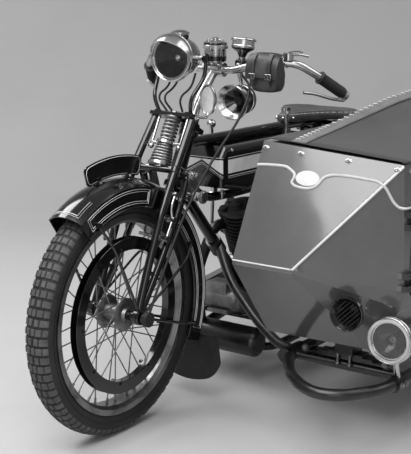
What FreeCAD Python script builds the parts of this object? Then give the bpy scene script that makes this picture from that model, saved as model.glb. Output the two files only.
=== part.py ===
"""Motorcycle of about 1920 with a passenger sidecar on its left, as a parametric document.

Machine axes: X forward from the rear wheel's axle, Y to the left, Z up from the floor.
The finished pieces are moved by one datum, so that the origin lies on the floor under the
middle of the whole outfit.  Lengths are millimetres and angles are degrees.
"""
import FreeCAD, Part
import math
import os
import re
import Sketcher

V = FreeCAD.Vector
X_AXIS = V(1, 0, 0)
Y_AXIS = V(0, 1, 0)
Z_AXIS = V(0, 0, 1)
ORIGIN = V(0, 0, 0)

doc = FreeCAD.newDocument("sidecar_motorcycle")
sheet = doc.addObject("Spreadsheet::Sheet", "Sizes")

SIZES = [
    ("wheelbase", 1420, "between the motorcycle's axles"),
    ("trail", 70, "steering axis on the floor ahead of the front contact"),
    ("head_rake", 27, "steering axis back from upright"),
    ("tyre_radius", 330, "26 inch beaded-edge tyre"),
    ("tyre_width", 76, "3 inch section"),
    ("tread_half", 26, "half of the tread's width"),
    ("crown_drop", 7, "tread shoulder below the crown"),
    ("rim_width", 66, "outside the rim's edges"),
    ("rim_edge_radius", 272, "rim's outer edge"),
    ("rim_well_radius", 248, "rim's inner face"),
    ("rim_wall", 4, "thickness of the rolled rim"),
    ("seat_gap", 0.3, "seat between two pieces"),
    ("axle_radius", 8, "wheel spindle"),
    ("bore_gap", 0.4, "running clearance round a spindle"),
    ("hub_radius", 21, "hub barrel"),
    ("flange_radius", 46, "spoke flange"),
    ("flange_offset", 30, "spoke flange from the wheel's middle"),
    ("hub_half", 42, "half of the hub's length"),
    ("spoke_radius", 1.8, "spoke wire"),
    ("spoke_count", 36, "spokes in a wheel"),
    ("belt_ring_radius", 212, "front brake ring outside"),
    ("belt_ring_depth", 34, "front brake ring from outside to inside"),
    ("belt_ring_offset", 21, "ring's inner face from the wheel's middle"),
    ("belt_ring_width", 22, "brake ring's width"),
    ("drum_radius", 100, "rear and sidecar brake drum"),
    ("drum_width", 24, "brake drum"),
    ("sprocket_radius", 92, "rear sprocket"),
    ("sprocket_offset", 52, "sprocket's inner face from the wheel's middle"),
    ("rear_hub_half", 62, "half of the rear hub's length"),
    ("head_low", 714, "foot of the steering head along its axis"),
    ("head_high", 880, "top of the steering head along its axis"),
    ("head_radius", 23, "steering head lug"),
    ("stem_radius", 13, "fork stem"),
    ("main_tube", 15, "radius of the main frame tubes"),
    ("down_tube", 17, "radius of the down tube"),
    ("stay_tube", 10, "radius of the rear stays"),
    ("tank_depth", 162, "from the lower tank rail up to the upper one"),
    ("top_tube_height", "=rail_low_height + tank_depth", "upper tank rail"),
    ("seat_lug_reach", 340, "seat lug ahead of the rear axle"),
    ("rail_clear", 30, "lower tank rail over the reach of the cylinders"),
    ("rail_low_height", "=crank_height + barrel_top + rail_clear", "lower tank rail at its lowest"),
    ("down_foot_reach", 812, "foot of the down tube"),
    ("down_foot_height", 292, "foot of the down tube"),
    ("seat_foot_reach", 478, "foot of the seat tube"),
    ("seat_foot_height", 356, "foot of the seat tube"),
    ("stay_half", 76, "rear stays from the middle at the axle"),
    ("tank_half", 74, "half of the tank's width"),
    ("tank_front", 1020, "tank's nose"),
    ("tank_tail", 560, "tank's rear end"),
    ("tank_round", 22, "rounding of the tank's long edges"),
    ("crank_reach", 690, "crankshaft ahead of the rear axle"),
    ("crank_height", 262, "crankshaft"),
    ("crankcase_radius", 104, "crankcase"),
    ("crankcase_half", 62, "half of the crankcase's width"),
    ("cylinder_lean", 25, "each cylinder from upright"),
    ("barrel_foot", 98, "cylinder base from the crankshaft"),
    ("barrel_top", 300, "cylinder top from the crankshaft"),
    ("fin_radius", 60, "cooling fins"),
    ("fin_count", 13, "fins on a cylinder"),
    ("fin_thick", 2.6, "a fin"),
    ("barrel_radius", 42, "cylinder wall outside"),
    ("magneto_reach", 905, "magneto ahead of the rear axle"),
    ("magneto_height", 262, "magneto"),
    ("silencer_reach", 868, "silencer ahead of the rear axle"),
    ("silencer_height", 128, "silencer's middle"),
    ("silencer_radius", 45, "silencer"),
    ("silencer_half", 118, "half of the silencer's length"),
    ("pipe_radius", 17, "exhaust pipe"),
    ("gearbox_reach", 452, "gearbox mainshaft"),
    ("gearbox_height", 318, "gearbox mainshaft"),
    ("gearbox_radius", 62, "gearbox shell"),
    ("chain_offset", 92, "chaincase's middle plane from the machine's"),
    ("chaincase_width", 34, "chaincase"),
    ("guard_radius", 366, "mudguard outside"),
    ("guard_half", 54, "half of a mudguard's width"),
    ("guard_wall", 2.5, "mudguard sheet"),
    ("front_guard_first", 54, "front guard's foremost edge, degrees upwards from ahead"),
    ("front_guard_last", 205, "front guard's rear edge, degrees upwards from ahead"),
    ("rear_guard_first", 17, "rear guard's foremost edge, degrees upwards from ahead"),
    ("rear_guard_last", 171, "rear guard's rear edge, degrees upwards from ahead"),
    ("side_guard_first", 6, "side guard's foremost edge, degrees upwards from ahead"),
    ("side_guard_last", 174, "side guard's rear edge, degrees upwards from ahead"),
    ("guard_lip", 8, "side lip of the rear and side guards"),
    ("valance_drop", 54, "side valance of the front guard"),
    ("plate_height", 54, "curved plate above the front guard"),
    ("plate_lift", 6, "plate above the guard's crown"),
    ("plate_corner", 13, "rounding of the plate's corners"),
    ("plate_thick", 4, "curved plate"),
    ("blade_half", 70, "fork blades from the middle"),
    ("blade_radius", 11, "fork blade tube"),
    ("fork_top", 893, "fork's top bridge along the steering axis"),
    ("spring_reach", 88, "fork spring ahead of the steering axis"),
    ("spring_length", 151, "lower spring seat below the fork's top bridge"),
    ("spring_foot", "=fork_top - spring_length", "lower spring seat along the steering axis"),
    ("spring_upper", 81, "waist bar below the fork's top bridge"),
    ("spring_waist", "=fork_top - spring_upper", "waist bar along the steering axis"),
    ("coil_pitch_low", 8.3, "spring's rise in a turn under the waist, at least"),
    ("coil_pitch_high", 10.3, "spring's rise in a turn above the waist, at least"),
    ("spring_foot_radius", 27, "coil at its foot, to the middle of the wire"),
    ("spring_waist_radius", 17, "coil at its waist, to the middle of the wire"),
    ("spring_wire", 3.6, "radius of the spring wire"),
    ("bar_radius", 11, "handlebar tube"),
    ("grip_radius", 16, "handle grip"),
    ("grip_cap", 4, "grip's closed end"),
    ("grip_length", 90, "handle grip"),
    ("bar_width", 335, "grip end from the middle"),
    ("bar_back", 110, "bar's clip behind the stem's nut"),
    ("bar_rise", 136, "bar's clip above the stem's nut"),
    ("bar_bend", 90, "radius of the bar's bends"),
    ("lamp_ahead", 116, "back of the headlamp ahead of the bar's clip"),
    ("lamp_rise", 45, "headlamp's middle above the bar's clip"),
    ("lamp_radius", 65, "headlamp rim"),
    ("lid_tilt", 46, "front edge of the headlamp's lid above level"),
    ("lamp_length", 104, "headlamp"),
    ("saddle_rise", 38, "saddle's top above the upper rail"),
    ("saddle_height", "=top_tube_height + saddle_rise", "saddle's top"),
    ("saddle_thick", 20, "saddle's hide and its frame"),
    ("saddle_length", 315, "saddle"),
    ("saddle_half", 142, "half of the saddle's width"),
    ("carrier_drop", 26, "carrier's top face below the upper rail"),
    ("carrier_height", "=top_tube_height - carrier_drop", "carrier's top face"),
    ("carrier_half", 108, "half of the carrier's width"),
    ("carrier_front", 205, "carrier's front end"),
    ("carrier_rear", -265, "carrier's rear end"),
    ("pillion_pitch_x", 220, "bolt holes along the carrier"),
    ("pillion_pitch_y", 120, "bolt holes across the carrier"),
    ("pillion_hole", 4.5, "radius of a bolt hole"),
    ("stand_reach", 357, "rear stand from its pivot to its foot"),
    ("stand_pivot_height", 292, "rear stand's pivot"),
    ("stand_half", 112, "rear stand's legs from the middle"),
    ("side_wheel_lead", 190, "sidecar wheel ahead of the rear axle"),
    ("side_wheel_track", 1095, "sidecar wheel from the machine's middle"),
    ("body_inner", 295, "sidecar's inner side"),
    ("scuttle_reach", 1165, "front edge of the sidecar's scuttle"),
    ("scuttle_rise", 41, "scuttle above the upper rail"),
    ("scuttle_height", "=top_tube_height + scuttle_rise", "scuttle at the inner side"),
    ("nose_reach", 1308, "ridge of the sidecar's nose"),
    ("nose_height", 493, "ridge of the sidecar's nose"),
    ("nose_width", 180, "ridge from side to side"),
    ("hinge_line", 702, "door's hinge line from the middle"),
    ("belly_height", 262, "sidecar's floor at the front"),
    ("body_width", 490, "sidecar at its widest"),
    ("body_mid", 620, "widest station"),
    ("body_back", 120, "station behind the passenger"),
    ("body_tail", -392, "tail of the sidecar"),
    ("body_wall", 9, "sidecar's panels on their ash frame"),
    ("door_front", 1112, "door's front seam"),
    ("door_back", 668, "door's rear seam"),
    ("door_foot", 424, "door's lower seam"),
    ("door_sill", 51, "door's top edge below the scuttle"),
    ("door_head", "=scuttle_height - door_sill", "door's top edge"),
    ("door_gap", 5, "gap round the door"),
    ("hinge_low", 45, "lower hinge above the door's foot"),
    ("hinge_high", 204, "upper hinge above the door's foot"),
    ("deck_margin", 30, "deck left round the cockpit's mouth"),
    ("scuttle_depth", 90, "scuttle's deck ahead of the cockpit's mouth"),
    ("cover_ridge", 85, "laced ridge of the cover from the body's inner side"),
    ("cover_rise", 93, "cover's highest point above the scuttle"),
    ("cover_peak", "=scuttle_height + cover_rise", "cover's highest point"),
    ("cover_peak_reach", 300, "cover's highest point ahead of the rear axle"),
    ("cover_thick", 9, "canvas cover"),
    ("chassis_height", 196, "sidecar chassis tubes"),
    ("chassis_tube", 16, "radius of the chassis tubes"),
    ("chassis_inner", 345, "inner chassis tube"),
    ("chassis_outer", 690, "outer chassis tube"),
    ("datum_x", 0, "machine to finished origin, set from the outline"),
    ("datum_y", 0, "machine to finished origin, set from the outline"),
]

for row, (alias, value, note) in enumerate(SIZES, start=1):
    sheet.set("A%d" % row, "0")
    sheet.setAlias("A%d" % row, alias)
    sheet.set("B%d" % row, note)
doc.recompute()
for row, (alias, value, note) in enumerate(SIZES, start=1):
    sheet.set("A%d" % row, str(value))
doc.recompute()

ALIASES = {alias for alias, value, note in SIZES}


def size(expression):
    """Value of an expression of named sizes."""
    return float(sheet.evalExpression(str(expression)))


def bound(expression):
    """The same expression as other objects of the document write it."""
    def named(match):
        """A word, with the sheet's name before it where it is a size."""
        word = match.group(0)
        return "Sizes." + word if word in ALIASES else word
    return re.sub(r"[A-Za-z_]\w*", named, str(expression))


def tie(obj, prop, expression):
    """Binds a property to named sizes."""
    obj.setExpression(prop, bound(expression))


rake = math.radians(size("head_rake"))
CR = math.cos(rake)
SR = math.sin(rake)
HEAD_FOOT = size("wheelbase + trail")
AXLE_U = size("tyre_radius") * SR - size("trail") * CR
AXLE_W = size("tyre_radius") * CR + size("trail") * SR

nodes = {}


# Placing
def register(obj, label):
    """Names a finished sub-part and stands it at the datum."""
    obj.Label = label
    nodes[label] = obj
    return obj


def stand(obj, x="0", y="0", z="0"):
    """Machine axes: offset by named sizes and by the datum."""
    tie(obj, "Placement.Base.x", "%s + datum_x" % x)
    tie(obj, "Placement.Base.y", "%s + datum_y" % y)
    tie(obj, "Placement.Base.z", "%s + 0" % z)


def stand_fork(obj):
    """Fork axes: u ahead of the steering axis, v left, w up along it."""
    turn = FreeCAD.Rotation(Y_AXIS, -size("head_rake"))
    obj.Placement = FreeCAD.Placement(V(HEAD_FOOT, 0, 0), turn)
    tie(obj, "Placement.Base.x", "wheelbase + trail + datum_x")
    tie(obj, "Placement.Base.y", "datum_y")


def feature(label, shape, fork=False):
    """A sub-part whose form comes from Part's own functions."""
    obj = doc.addObject("Part::Feature", label)
    obj.Shape = settled(shape)
    register(obj, label)
    if fork:
        stand_fork(obj)
    else:
        stand(obj)
    return obj


def fork_point(x, y, z):
    """Machine point in fork axes."""
    dx = x - HEAD_FOOT
    return V(dx * CR + z * SR, y, z * CR - dx * SR)


def head_point(w):
    """Point on the steering axis, in machine axes."""
    return V(HEAD_FOOT - w * SR, 0, w * CR)


# Sketches
def origin_plane(body, role):
    """One of the body's own base planes."""
    for item in body.Origin.OriginFeatures:
        if item.Role == role:
            return item
    raise ValueError(role)


def arc_middle(a, b, radius, side):
    """Middle of the lesser arc from a to b that bulges to the given side."""
    chord = b - a
    half = chord.Length / 2.0
    reach = math.sqrt(max(radius * radius - half * half, 0.0))
    normal = V(-chord.y, chord.x, 0)
    normal.normalize()
    return (a + b) * 0.5 + normal * side * (radius - reach)


def draw(body, role, outline, name):
    """Sketch of lines and arcs whose corners are tied to the sheet.

    A corner is (x, y) for a straight run to it, or (x, y, radius, side) for an arc.
    """
    sketch = body.newObject("Sketcher::SketchObject", name)
    sketch.AttachmentSupport = (origin_plane(body, role), [""])
    sketch.MapMode = "FlatFace"
    corners = [V(size(item[0]), size(item[1]), 0) for item in outline]
    count = len(outline)
    flipped = []
    for index in range(count):
        start = corners[index]
        end = corners[(index + 1) % count]
        item = outline[(index + 1) % count]
        if len(item) == 4:
            middle = arc_middle(start, end, size(item[2]), item[3])
            clockwise = (middle - start).cross(end - middle).z < 0
            arc = Part.Arc(end, middle, start) if clockwise else Part.Arc(start, middle, end)
            sketch.addGeometry(arc, False)
            flipped.append(clockwise)
        else:
            sketch.addGeometry(Part.LineSegment(start, end), False)
            flipped.append(False)
    for index in range(count):
        follow = (index + 1) % count
        tail = 1 if flipped[index] else 2
        nose = 2 if flipped[follow] else 1
        sketch.addConstraint(Sketcher.Constraint("Coincident", index, tail, follow, nose))
    for index in range(count):
        nose = 2 if flipped[index] else 1
        for kind, value, text in (("DistanceX", corners[index].x, outline[index][0]),
                                  ("DistanceY", corners[index].y, outline[index][1])):
            rule = sketch.addConstraint(Sketcher.Constraint(kind, -1, 1, index, nose, value))
            tie(sketch, "Constraints[%d]" % rule, text)
        follow = (index + 1) % count
        if len(outline[follow]) == 4:
            radius = outline[follow][2]
            rule = sketch.addConstraint(Sketcher.Constraint("Radius", index, size(radius)))
            tie(sketch, "Constraints[%d]" % rule, radius)
    return sketch


def turned(label, outline, role="YZ_Plane", axis="H_Axis", angle="360"):
    """Body of revolution; its outline is (along the axis, radius) pairs."""
    body = doc.addObject("PartDesign::Body", label)
    sketch = draw(body, role, outline, label + "_outline")
    spin = body.newObject("PartDesign::Revolution", label + "_turned")
    spin.Profile = sketch
    spin.ReferenceAxis = (sketch, [axis])
    spin.Angle = 360
    if angle != "360":
        tie(spin, "Angle", angle)
    body.Tip = spin
    return body


def padded(label, outline, depth, role="XZ_Plane"):
    """Body padded both ways from its sketch plane."""
    body = doc.addObject("PartDesign::Body", label)
    sketch = draw(body, role, outline, label + "_outline")
    pad = body.newObject("PartDesign::Pad", label + "_pad")
    pad.Profile = sketch
    pad.SideType = "Symmetric"
    tie(pad, "Length", depth)
    body.Tip = pad
    return body


# Solids
def rod(a, b, radius):
    """Round bar from one point to another."""
    return Part.makeCylinder(radius, (b - a).Length, a, b - a)


def taper(a, b, first, last):
    """Cone from one point and radius to another."""
    return Part.makeCone(first, last, (b - a).Length, a, b - a)


def block(x0, x1, y0, y1, z0, z1):
    """Box between three pairs of limits."""
    return Part.makeBox(x1 - x0, y1 - y0, z1 - z0, V(x0, y0, z0))


def joined(pieces):
    """One solid of pieces that run into each other."""
    whole = pieces[0]
    if len(pieces) > 1:
        whole = whole.multiFuse(pieces[1:])
    return single(whole)


def single(shape):
    """The solid itself where a compound holds one alone."""
    if len(shape.Solids) == 1:
        return shape.Solids[0]
    return shape


def minus(shape, cutters):
    """The shape without the cutters."""
    for cutter in cutters:
        shape = shape.cut(cutter)
    return single(shape)


def largest(shape):
    """The largest solid of a shape."""
    return sorted(shape.Solids, key=lambda item: item.Volume)[-1]


def route(points, bend=None):
    """Wire of straight runs joined by tangent arcs."""
    edges = []
    last = points[0]
    for index in range(1, len(points) - 1):
        here = points[index]
        back = points[index - 1] - here
        ahead = points[index + 1] - here
        turn = math.pi - back.getAngle(ahead)
        reach = 0.45 * min(back.Length, ahead.Length)
        radius = reach / math.tan(turn / 2.0)
        if bend and bend < radius:
            radius = bend
            reach = radius * math.tan(turn / 2.0)
        back.normalize()
        ahead.normalize()
        enter = here + back * reach
        leave = here + ahead * reach
        inward = back + ahead
        inward.normalize()
        centre = here + inward * (radius / math.cos(turn / 2.0))
        middle = centre - inward * radius
        edges.append(Part.LineSegment(last, enter).toShape())
        edges.append(Part.Arc(enter, middle, leave).toShape())
        last = leave
    edges.append(Part.LineSegment(last, points[-1]).toShape())
    return Part.Wire(edges)


def bent(points, radius, bend=None):
    """Round bar along a route."""
    if len(points) == 2:
        return rod(points[0], points[1], radius)
    path = route(points, bend)
    start = points[1] - points[0]
    circle = Part.Wire(Part.Circle(points[0], start, radius).toShape())
    return single(path.makePipeShell([circle], True, False))


def face_of(points):
    """Flat face inside a closed polygon."""
    return Part.Face(Part.makePolygon(list(points) + [points[0]]))


def slab(points, push):
    """Flat outline pushed along a vector."""
    return face_of(points).extrude(push)


def lathe(outline, centre, direction):
    """Turned solid; outline is (along, radius) pairs round an axis."""
    points = [V(radius, 0, along) for along, radius in outline]
    solid = face_of(points).revolve(ORIGIN, Z_AXIS, 360)
    place = FreeCAD.Placement(centre, FreeCAD.Rotation(Z_AXIS, direction))
    return moved(solid, place)


def moved(shape, place):
    """A copy of the shape at a placement."""
    twin = shape.copy()
    whole = place.multiply(twin.Placement)
    twin.Placement = FreeCAD.Placement()
    return twin.transformed(whole.toMatrix(), True)


def settled(shape):
    """The same shape with no placement of its own."""
    return moved(shape, FreeCAD.Placement())


def band(inner, outer, first, last, half, centre):
    """Part of a ring about a crosswise axis, between two angles from ahead, upwards."""
    ring = Part.makeCylinder(outer, 2 * half, centre + V(0, -half, 0), Y_AXIS)
    ring = ring.cut(Part.makeCylinder(inner, 2 * half + 2, centre + V(0, -half - 1, 0), Y_AXIS))
    return sector(ring, first, last, outer * 2.5, half + 5, centre)


def sector(shape, first, last, reach, half, centre):
    """Keeps the part of a shape between two angles about a crosswise axis."""
    steps = max(2, int((last - first) / 45.0) + 1)
    points = [centre + V(0, -half, 0)]
    for index in range(steps + 1):
        angle = math.radians(first + (last - first) * index / steps)
        points.append(centre + V(reach * math.cos(angle), -half, reach * math.sin(angle)))
    return single(shape.common(slab(points, V(0, 2 * half, 0))))


# Wheels
def wheel_centre(which):
    """Named offsets of a wheel's middle."""
    return {
        "front": ("wheelbase", "0", "tyre_radius"),
        "rear": ("0", "0", "tyre_radius"),
        "side": ("side_wheel_lead", "side_wheel_track", "tyre_radius"),
    }[which]


def make_tyre(which):
    """Beaded-edge tyre with a domed tread, seated in its rim."""
    crown = "(tread_half * tread_half / crown_drop + crown_drop) / 2"
    seat = "(rim_width / 2 - rim_wall - seat_gap)"
    base = "rim_well_radius + rim_wall + seat_gap"
    outline = [
        ("0 - %s + 9" % seat, base),
        ("%s - 9" % seat, base),
        (seat, base + " + 9"),
        (seat, "rim_edge_radius + 1"),
        ("tyre_width / 2", "rim_edge_radius + 24", "34", 1),
        ("tread_half", "tyre_radius - crown_drop", "40", 1),
        ("0 - tread_half", "tyre_radius - crown_drop", crown, 1),
        ("0 - tyre_width / 2", "rim_edge_radius + 24", "40", 1),
        ("0 - %s" % seat, "rim_edge_radius + 1", "34", 1),
        ("0 - %s" % seat, base + " + 9"),
    ]
    outline = [item if len(item) == 2 else (item[0], item[1], item[2], -1) for item in outline]
    body = turned("tyre_" + which, outline)
    register(body, "tyre_" + which)
    stand(body, *wheel_centre(which))


def make_rim(which):
    """Rolled rim with its well."""
    edge = "rim_width / 2"
    outline = [
        ("0 - %s" % edge, "rim_edge_radius"),
        ("0 - %s" % edge, "rim_well_radius + 9"),
        ("0 - %s + 10" % edge, "rim_well_radius"),
        ("%s - 10" % edge, "rim_well_radius"),
        (edge, "rim_well_radius + 9"),
        (edge, "rim_edge_radius"),
        ("%s - rim_wall" % edge, "rim_edge_radius"),
        ("%s - rim_wall" % edge, "rim_well_radius + 9 + rim_wall / 2"),
        ("%s - rim_wall - 9" % edge, "rim_well_radius + rim_wall"),
        ("0 - %s + rim_wall + 9" % edge, "rim_well_radius + rim_wall"),
        ("0 - %s + rim_wall" % edge, "rim_well_radius + 9 + rim_wall / 2"),
        ("0 - %s + rim_wall" % edge, "rim_edge_radius"),
    ]
    body = turned("rim_" + which, outline)
    register(body, "rim_" + which)
    stand(body, *wheel_centre(which))


def spoke_lines(count):
    """Ends of the spokes: flange hole and rim nipple, laced across each other."""
    flange = size("flange_radius - 5")
    rim = size("rim_well_radius - seat_gap")
    offset = size("flange_offset")
    lines = []
    for index in range(count):
        side = 1 if index % 2 == 0 else -1
        lean = 1 if (index // 2) % 2 == 0 else -1
        angle = 2 * math.pi * index / count
        hub = angle + lean * math.radians(62)
        a = V(flange * math.cos(hub), side * offset, flange * math.sin(hub))
        b = V(rim * math.cos(angle), side * 3, rim * math.sin(angle))
        lines.append((a, b))
    return lines


def spoke_at(a, b, radius):
    """Point of a spoke at a distance from the axle's line."""
    dx, dz = b.x - a.x, b.z - a.z
    square = dx * dx + dz * dz
    lean = a.x * dx + a.z * dz
    rest = a.x * a.x + a.z * a.z - radius * radius
    share = (math.sqrt(lean * lean - square * rest) - lean) / square
    return a + (b - a) * share


def make_spokes(which):
    """Hub with its flanges and the crossed spokes up to the rim."""
    radius = size("spoke_radius")
    bore = size("axle_radius + bore_gap")
    half = size("rear_hub_half" if which == "rear" else "hub_half")
    offset = size("flange_offset")
    hub = size("hub_radius")
    flange = size("flange_radius")
    outline = [
        (-half, bore), (half, bore), (half, hub - 3), (offset + 3, hub), (offset + 3, flange),
        (offset - 3, flange), (offset - 6, hub + 4), (0, hub), (-offset + 6, hub + 4),
        (-offset + 3, flange), (-offset - 3, flange), (-offset - 3, hub), (-half, hub - 3),
    ]
    pieces = [lathe(outline, ORIGIN, Y_AXIS)]
    lines = spoke_lines(int(size("spoke_count")))
    for a, b in lines:
        pieces.append(rod(a, b, radius))
    if which == "front":
        outer = size("belt_ring_radius")
        inner = outer - size("belt_ring_depth")
        near = size("belt_ring_offset")
        far = near + size("belt_ring_width")
        mid = (near + far) / 2.0
        ring = [(near, inner), (far, inner), (far, outer), (mid + 5, inner + 8),
                (mid - 5, inner + 8), (near, outer)]
        pieces.append(lathe(ring, ORIGIN, Y_AXIS))
        for a, b in lines[::6]:
            at = spoke_at(a, b, inner + 4)
            pieces.append(rod(V(at.x, at.y - 3, at.z), V(at.x, near + 2, at.z), 5))
    else:
        outer = size("drum_radius")
        near = offset + 1
        far = near + size("drum_width")
        drum = [(near, bore), (half, bore), (half, hub), (near + 4, hub), (near + 4, outer - 6),
                (far, outer - 6), (far, outer), (near, outer)]
        if which == "rear":
            pieces.append(lathe([(-p[0], p[1]) for p in drum], ORIGIN, Y_AXIS))
            disc = size("sprocket_radius")
            at = size("sprocket_offset")
            pieces.append(lathe([(at, bore), (at + 6, bore), (at + 6, disc), (at, disc)],
                                ORIGIN, Y_AXIS))
        else:
            pieces.append(lathe([(-p[0], p[1]) for p in drum], ORIGIN, Y_AXIS))
    obj = doc.addObject("Part::Feature", "spokes_" + which)
    obj.Shape = settled(joined(pieces))
    register(obj, "spokes_" + which)
    stand(obj, *wheel_centre(which))


# Frame
def head_lug():
    """Steering head tube with its two cups."""
    low = size("head_low")
    high = size("head_high")
    radius = size("head_radius")
    bore = size("stem_radius + bore_gap")
    outline = [(low, bore), (high, bore), (high, radius + 5), (high - 14, radius + 5),
               (high - 20, radius), (low + 20, radius), (low + 14, radius + 5), (low, radius + 5)]
    axis = V(-SR, 0, CR)
    return lathe(outline, V(HEAD_FOOT, 0, 0), axis)


def head_bore():
    """Room for the fork's stem."""
    a = head_point(size("head_low - 60"))
    b = head_point(size("head_high + 60"))
    return rod(a, b, size("stem_radius + bore_gap"))


def top_tube_axis():
    """Ends of the upper tank rail."""
    height = size("top_tube_height")
    return (V(HEAD_FOOT - height * SR / CR, 0, height), V(size("seat_lug_reach"), 0, height))


def down_tube_axis():
    """Ends of the front down tube."""
    return (head_point(size("head_low + 24")),
            V(size("down_foot_reach"), 0, size("down_foot_height")))


def seat_tube_axis():
    """Ends of the seat tube."""
    return (V(size("seat_lug_reach"), 0, size("top_tube_height")),
            V(size("seat_foot_reach"), 0, size("seat_foot_height")))


def lower_rail_points():
    """Route of the lower tank rail from the head to the seat tube."""
    low = size("rail_low_height - main_tube")
    start = head_point(size("head_low + 44"))
    seat_top, seat_foot = seat_tube_axis()
    share = (seat_top.z - low) / (seat_top.z - seat_foot.z)
    end = seat_top + (seat_foot - seat_top) * share
    return [start, V(1012, 0, low + 6), V(900, 0, low), end]


def make_frame_front():
    """Steering head and down tube with the engine's front lug."""
    tube = size("down_tube")
    a, b = down_tube_axis()
    lug = block(b.x - 24, b.x + 24, -26, 26, b.z - 30, b.z + 16)
    pieces = [head_lug(), rod(a, b, tube), lug]
    pieces.append(rod(head_point(size("head_low + 24")),
                      a + (b - a) * 0.16, tube + 4))
    shape = joined(pieces).cut(head_bore())
    crank = rod(V(size("crank_reach"), -90, size("crank_height")),
                V(size("crank_reach"), 90, size("crank_height")), size("crankcase_radius"))
    feature("frame_front", single(shape.cut(crank)))


def make_frame_rails():
    """Upper and lower tank rails, seat lug and seat tube."""
    tube = size("main_tube")
    a, b = top_tube_axis()
    top = rod(a, b - V(18, 0, 0), tube)
    seat_top, seat_foot = seat_tube_axis()
    seat = rod(seat_top, seat_foot, tube + 1)
    lug = rod(seat_top + (seat_top - seat_foot) * 0.02, seat_top + (seat_foot - seat_top) * 0.12,
              tube + 5)
    cross = rod(V(seat_top.x, -size("stay_half"), seat_top.z - 14),
                V(seat_top.x, size("stay_half"), seat_top.z - 14), 13)
    low = bent(lower_rail_points(), tube - 2)
    ear = block(seat_foot.x - 26, seat_foot.x + 26, -30, 30, seat_foot.z - 18, seat_foot.z + 14)
    shape = joined([top, seat, lug, cross, low, ear])
    shape = minus(shape, [nodes["frame_front"].Shape, head_bore()])
    feature("frame_rails", largest(shape))


def make_frame_rear():
    """Chain stays, seat stays, fork ends and the spindle."""
    pieces = []
    half = size("stay_half")
    radius = size("stay_tube")
    height = size("tyre_radius")
    seat_top, seat_foot = seat_tube_axis()
    for side in (-1, 1):
        end = V(0, side * (half + 12), height)
        pieces.append(block(-34, 26, side * (half + 12) - 5, side * (half + 12) + 5,
                            height - 56, height + 24))
        pieces.append(bent([V(seat_foot.x - 12, side * 40, seat_foot.z - 108),
                            V(seat_foot.x - 74, side * (half - 14), seat_foot.z - 118),
                            V(258, side * (half + 8), height - 64),
                            V(14, side * (half + 12), height - 12)], radius))
        pieces.append(rod(V(seat_top.x - 8, side * half, seat_top.z - 20), end + V(8, 0, 10), radius - 1))
    pieces.append(rod(V(seat_foot.x - 12, -46, seat_foot.z - 108),
                      V(seat_foot.x - 12, 46, seat_foot.z - 108), 13))
    pieces.append(rod(V(0, -half - 34, height), V(0, half + 34, height), size("axle_radius")))
    for side in (-1, 1):
        pieces.append(rod(V(0, side * (half + 17), height), V(0, side * (half + 27), height), 14))
        pieces.append(rod(V(0, side * (half + 8), height),
                          V(0, side * size("rear_hub_half + seat_gap"), height), 13))
    pieces += stand_pins()
    middle = V(0, 0, height)
    top = V(seat_top.x - 8, 0, seat_top.z - 20) - middle
    low = V(8, 0, 10)
    bridge = middle + spoke_at(low, top, size("guard_radius + seat_gap") + 8)
    pieces.append(rod(bridge + V(0, -half, 0), bridge + V(0, half, 0), 8))
    shape = minus(joined(pieces), [nodes["frame_rails"].Shape])
    feature("frame_rear", largest(shape))


# Tank and saddle
def make_tank():
    """Flat tank slung between the rails, with its bottom dipping ahead of the middle."""
    top = "top_tube_height - main_tube - seat_gap"
    foot = "rail_low_height + seat_gap"
    outline = [
        ("tank_tail", foot + " + 34"),
        ("tank_front - 142", foot),
        ("tank_front", foot + " + 27"),
        ("tank_front + 4", top + " - 30"),
        ("tank_front - 18", top),
        ("tank_tail", top),
    ]
    body = padded("tank", outline, "2 * tank_half")
    doc.recompute()
    base = body.Tip
    longs = []
    for index, edge in enumerate(base.Shape.Edges, start=1):
        a = edge.Vertexes[0].Point
        b = edge.Vertexes[-1].Point
        if abs(a.y - b.y) < 0.01:
            longs.append("Edge%d" % index)
    soft = body.newObject("PartDesign::Fillet", "tank_edges")
    soft.Base = (base, longs)
    tie(soft, "Radius", "tank_round")
    body.Tip = soft
    register(body, "tank")
    stand(body)


def make_tank_fittings():
    """Filler caps, oil pump and taps on the tank."""
    top = size("top_tube_height - main_tube - seat_gap")
    shapes = []
    for x, y, radius in ((930, -44, 24), (700, -44, 20)):
        cap = lathe([(0, 0), (0, radius - 2), (9, radius - 2), (9, radius), (17, radius - 1),
                     (19, radius - 8), (19, 0)], V(x, y, top), Z_AXIS)
        shapes.append(cap)
    pump = lathe([(0, 0), (0, 14), (12, 14), (12, 6), (60, 6), (60, 13), (70, 11), (70, 0)],
                 V(620, 42, top), Z_AXIS)
    shapes.append(pump)
    feature("tank_fittings", Part.makeCompound(shapes))


def saddle_outline(grow):
    """Plan of the saddle, nose forward, as (x, y) corners."""
    length = size("saddle_length")
    half = size("saddle_half") + grow
    nose = size("seat_lug_reach") + 238 + grow
    tail = nose - length - 2 * grow
    return [(nose, 22 + grow), (nose - 70, 40 + grow), (nose - 150, 74 + grow),
            (nose - 225, half), (tail + 26, half - 12), (tail, half - 64)]


def make_saddle():
    """Leather seat as a closed soft solid."""
    top = size("saddle_height")
    outline = saddle_outline(0)
    ring = [V(x, y, 0) for x, y in outline] + [V(x, -y, 0) for x, y in reversed(outline)]
    curve = Part.BSplineCurve()
    curve.interpolate(ring, True)
    wire = Part.Wire(curve.toShape())
    thick = size("saddle_thick")
    body = Part.Face(wire).extrude(V(0, 0, thick))
    body.translate(V(0, 0, top - thick))
    feature("saddle", single(body))


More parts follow.
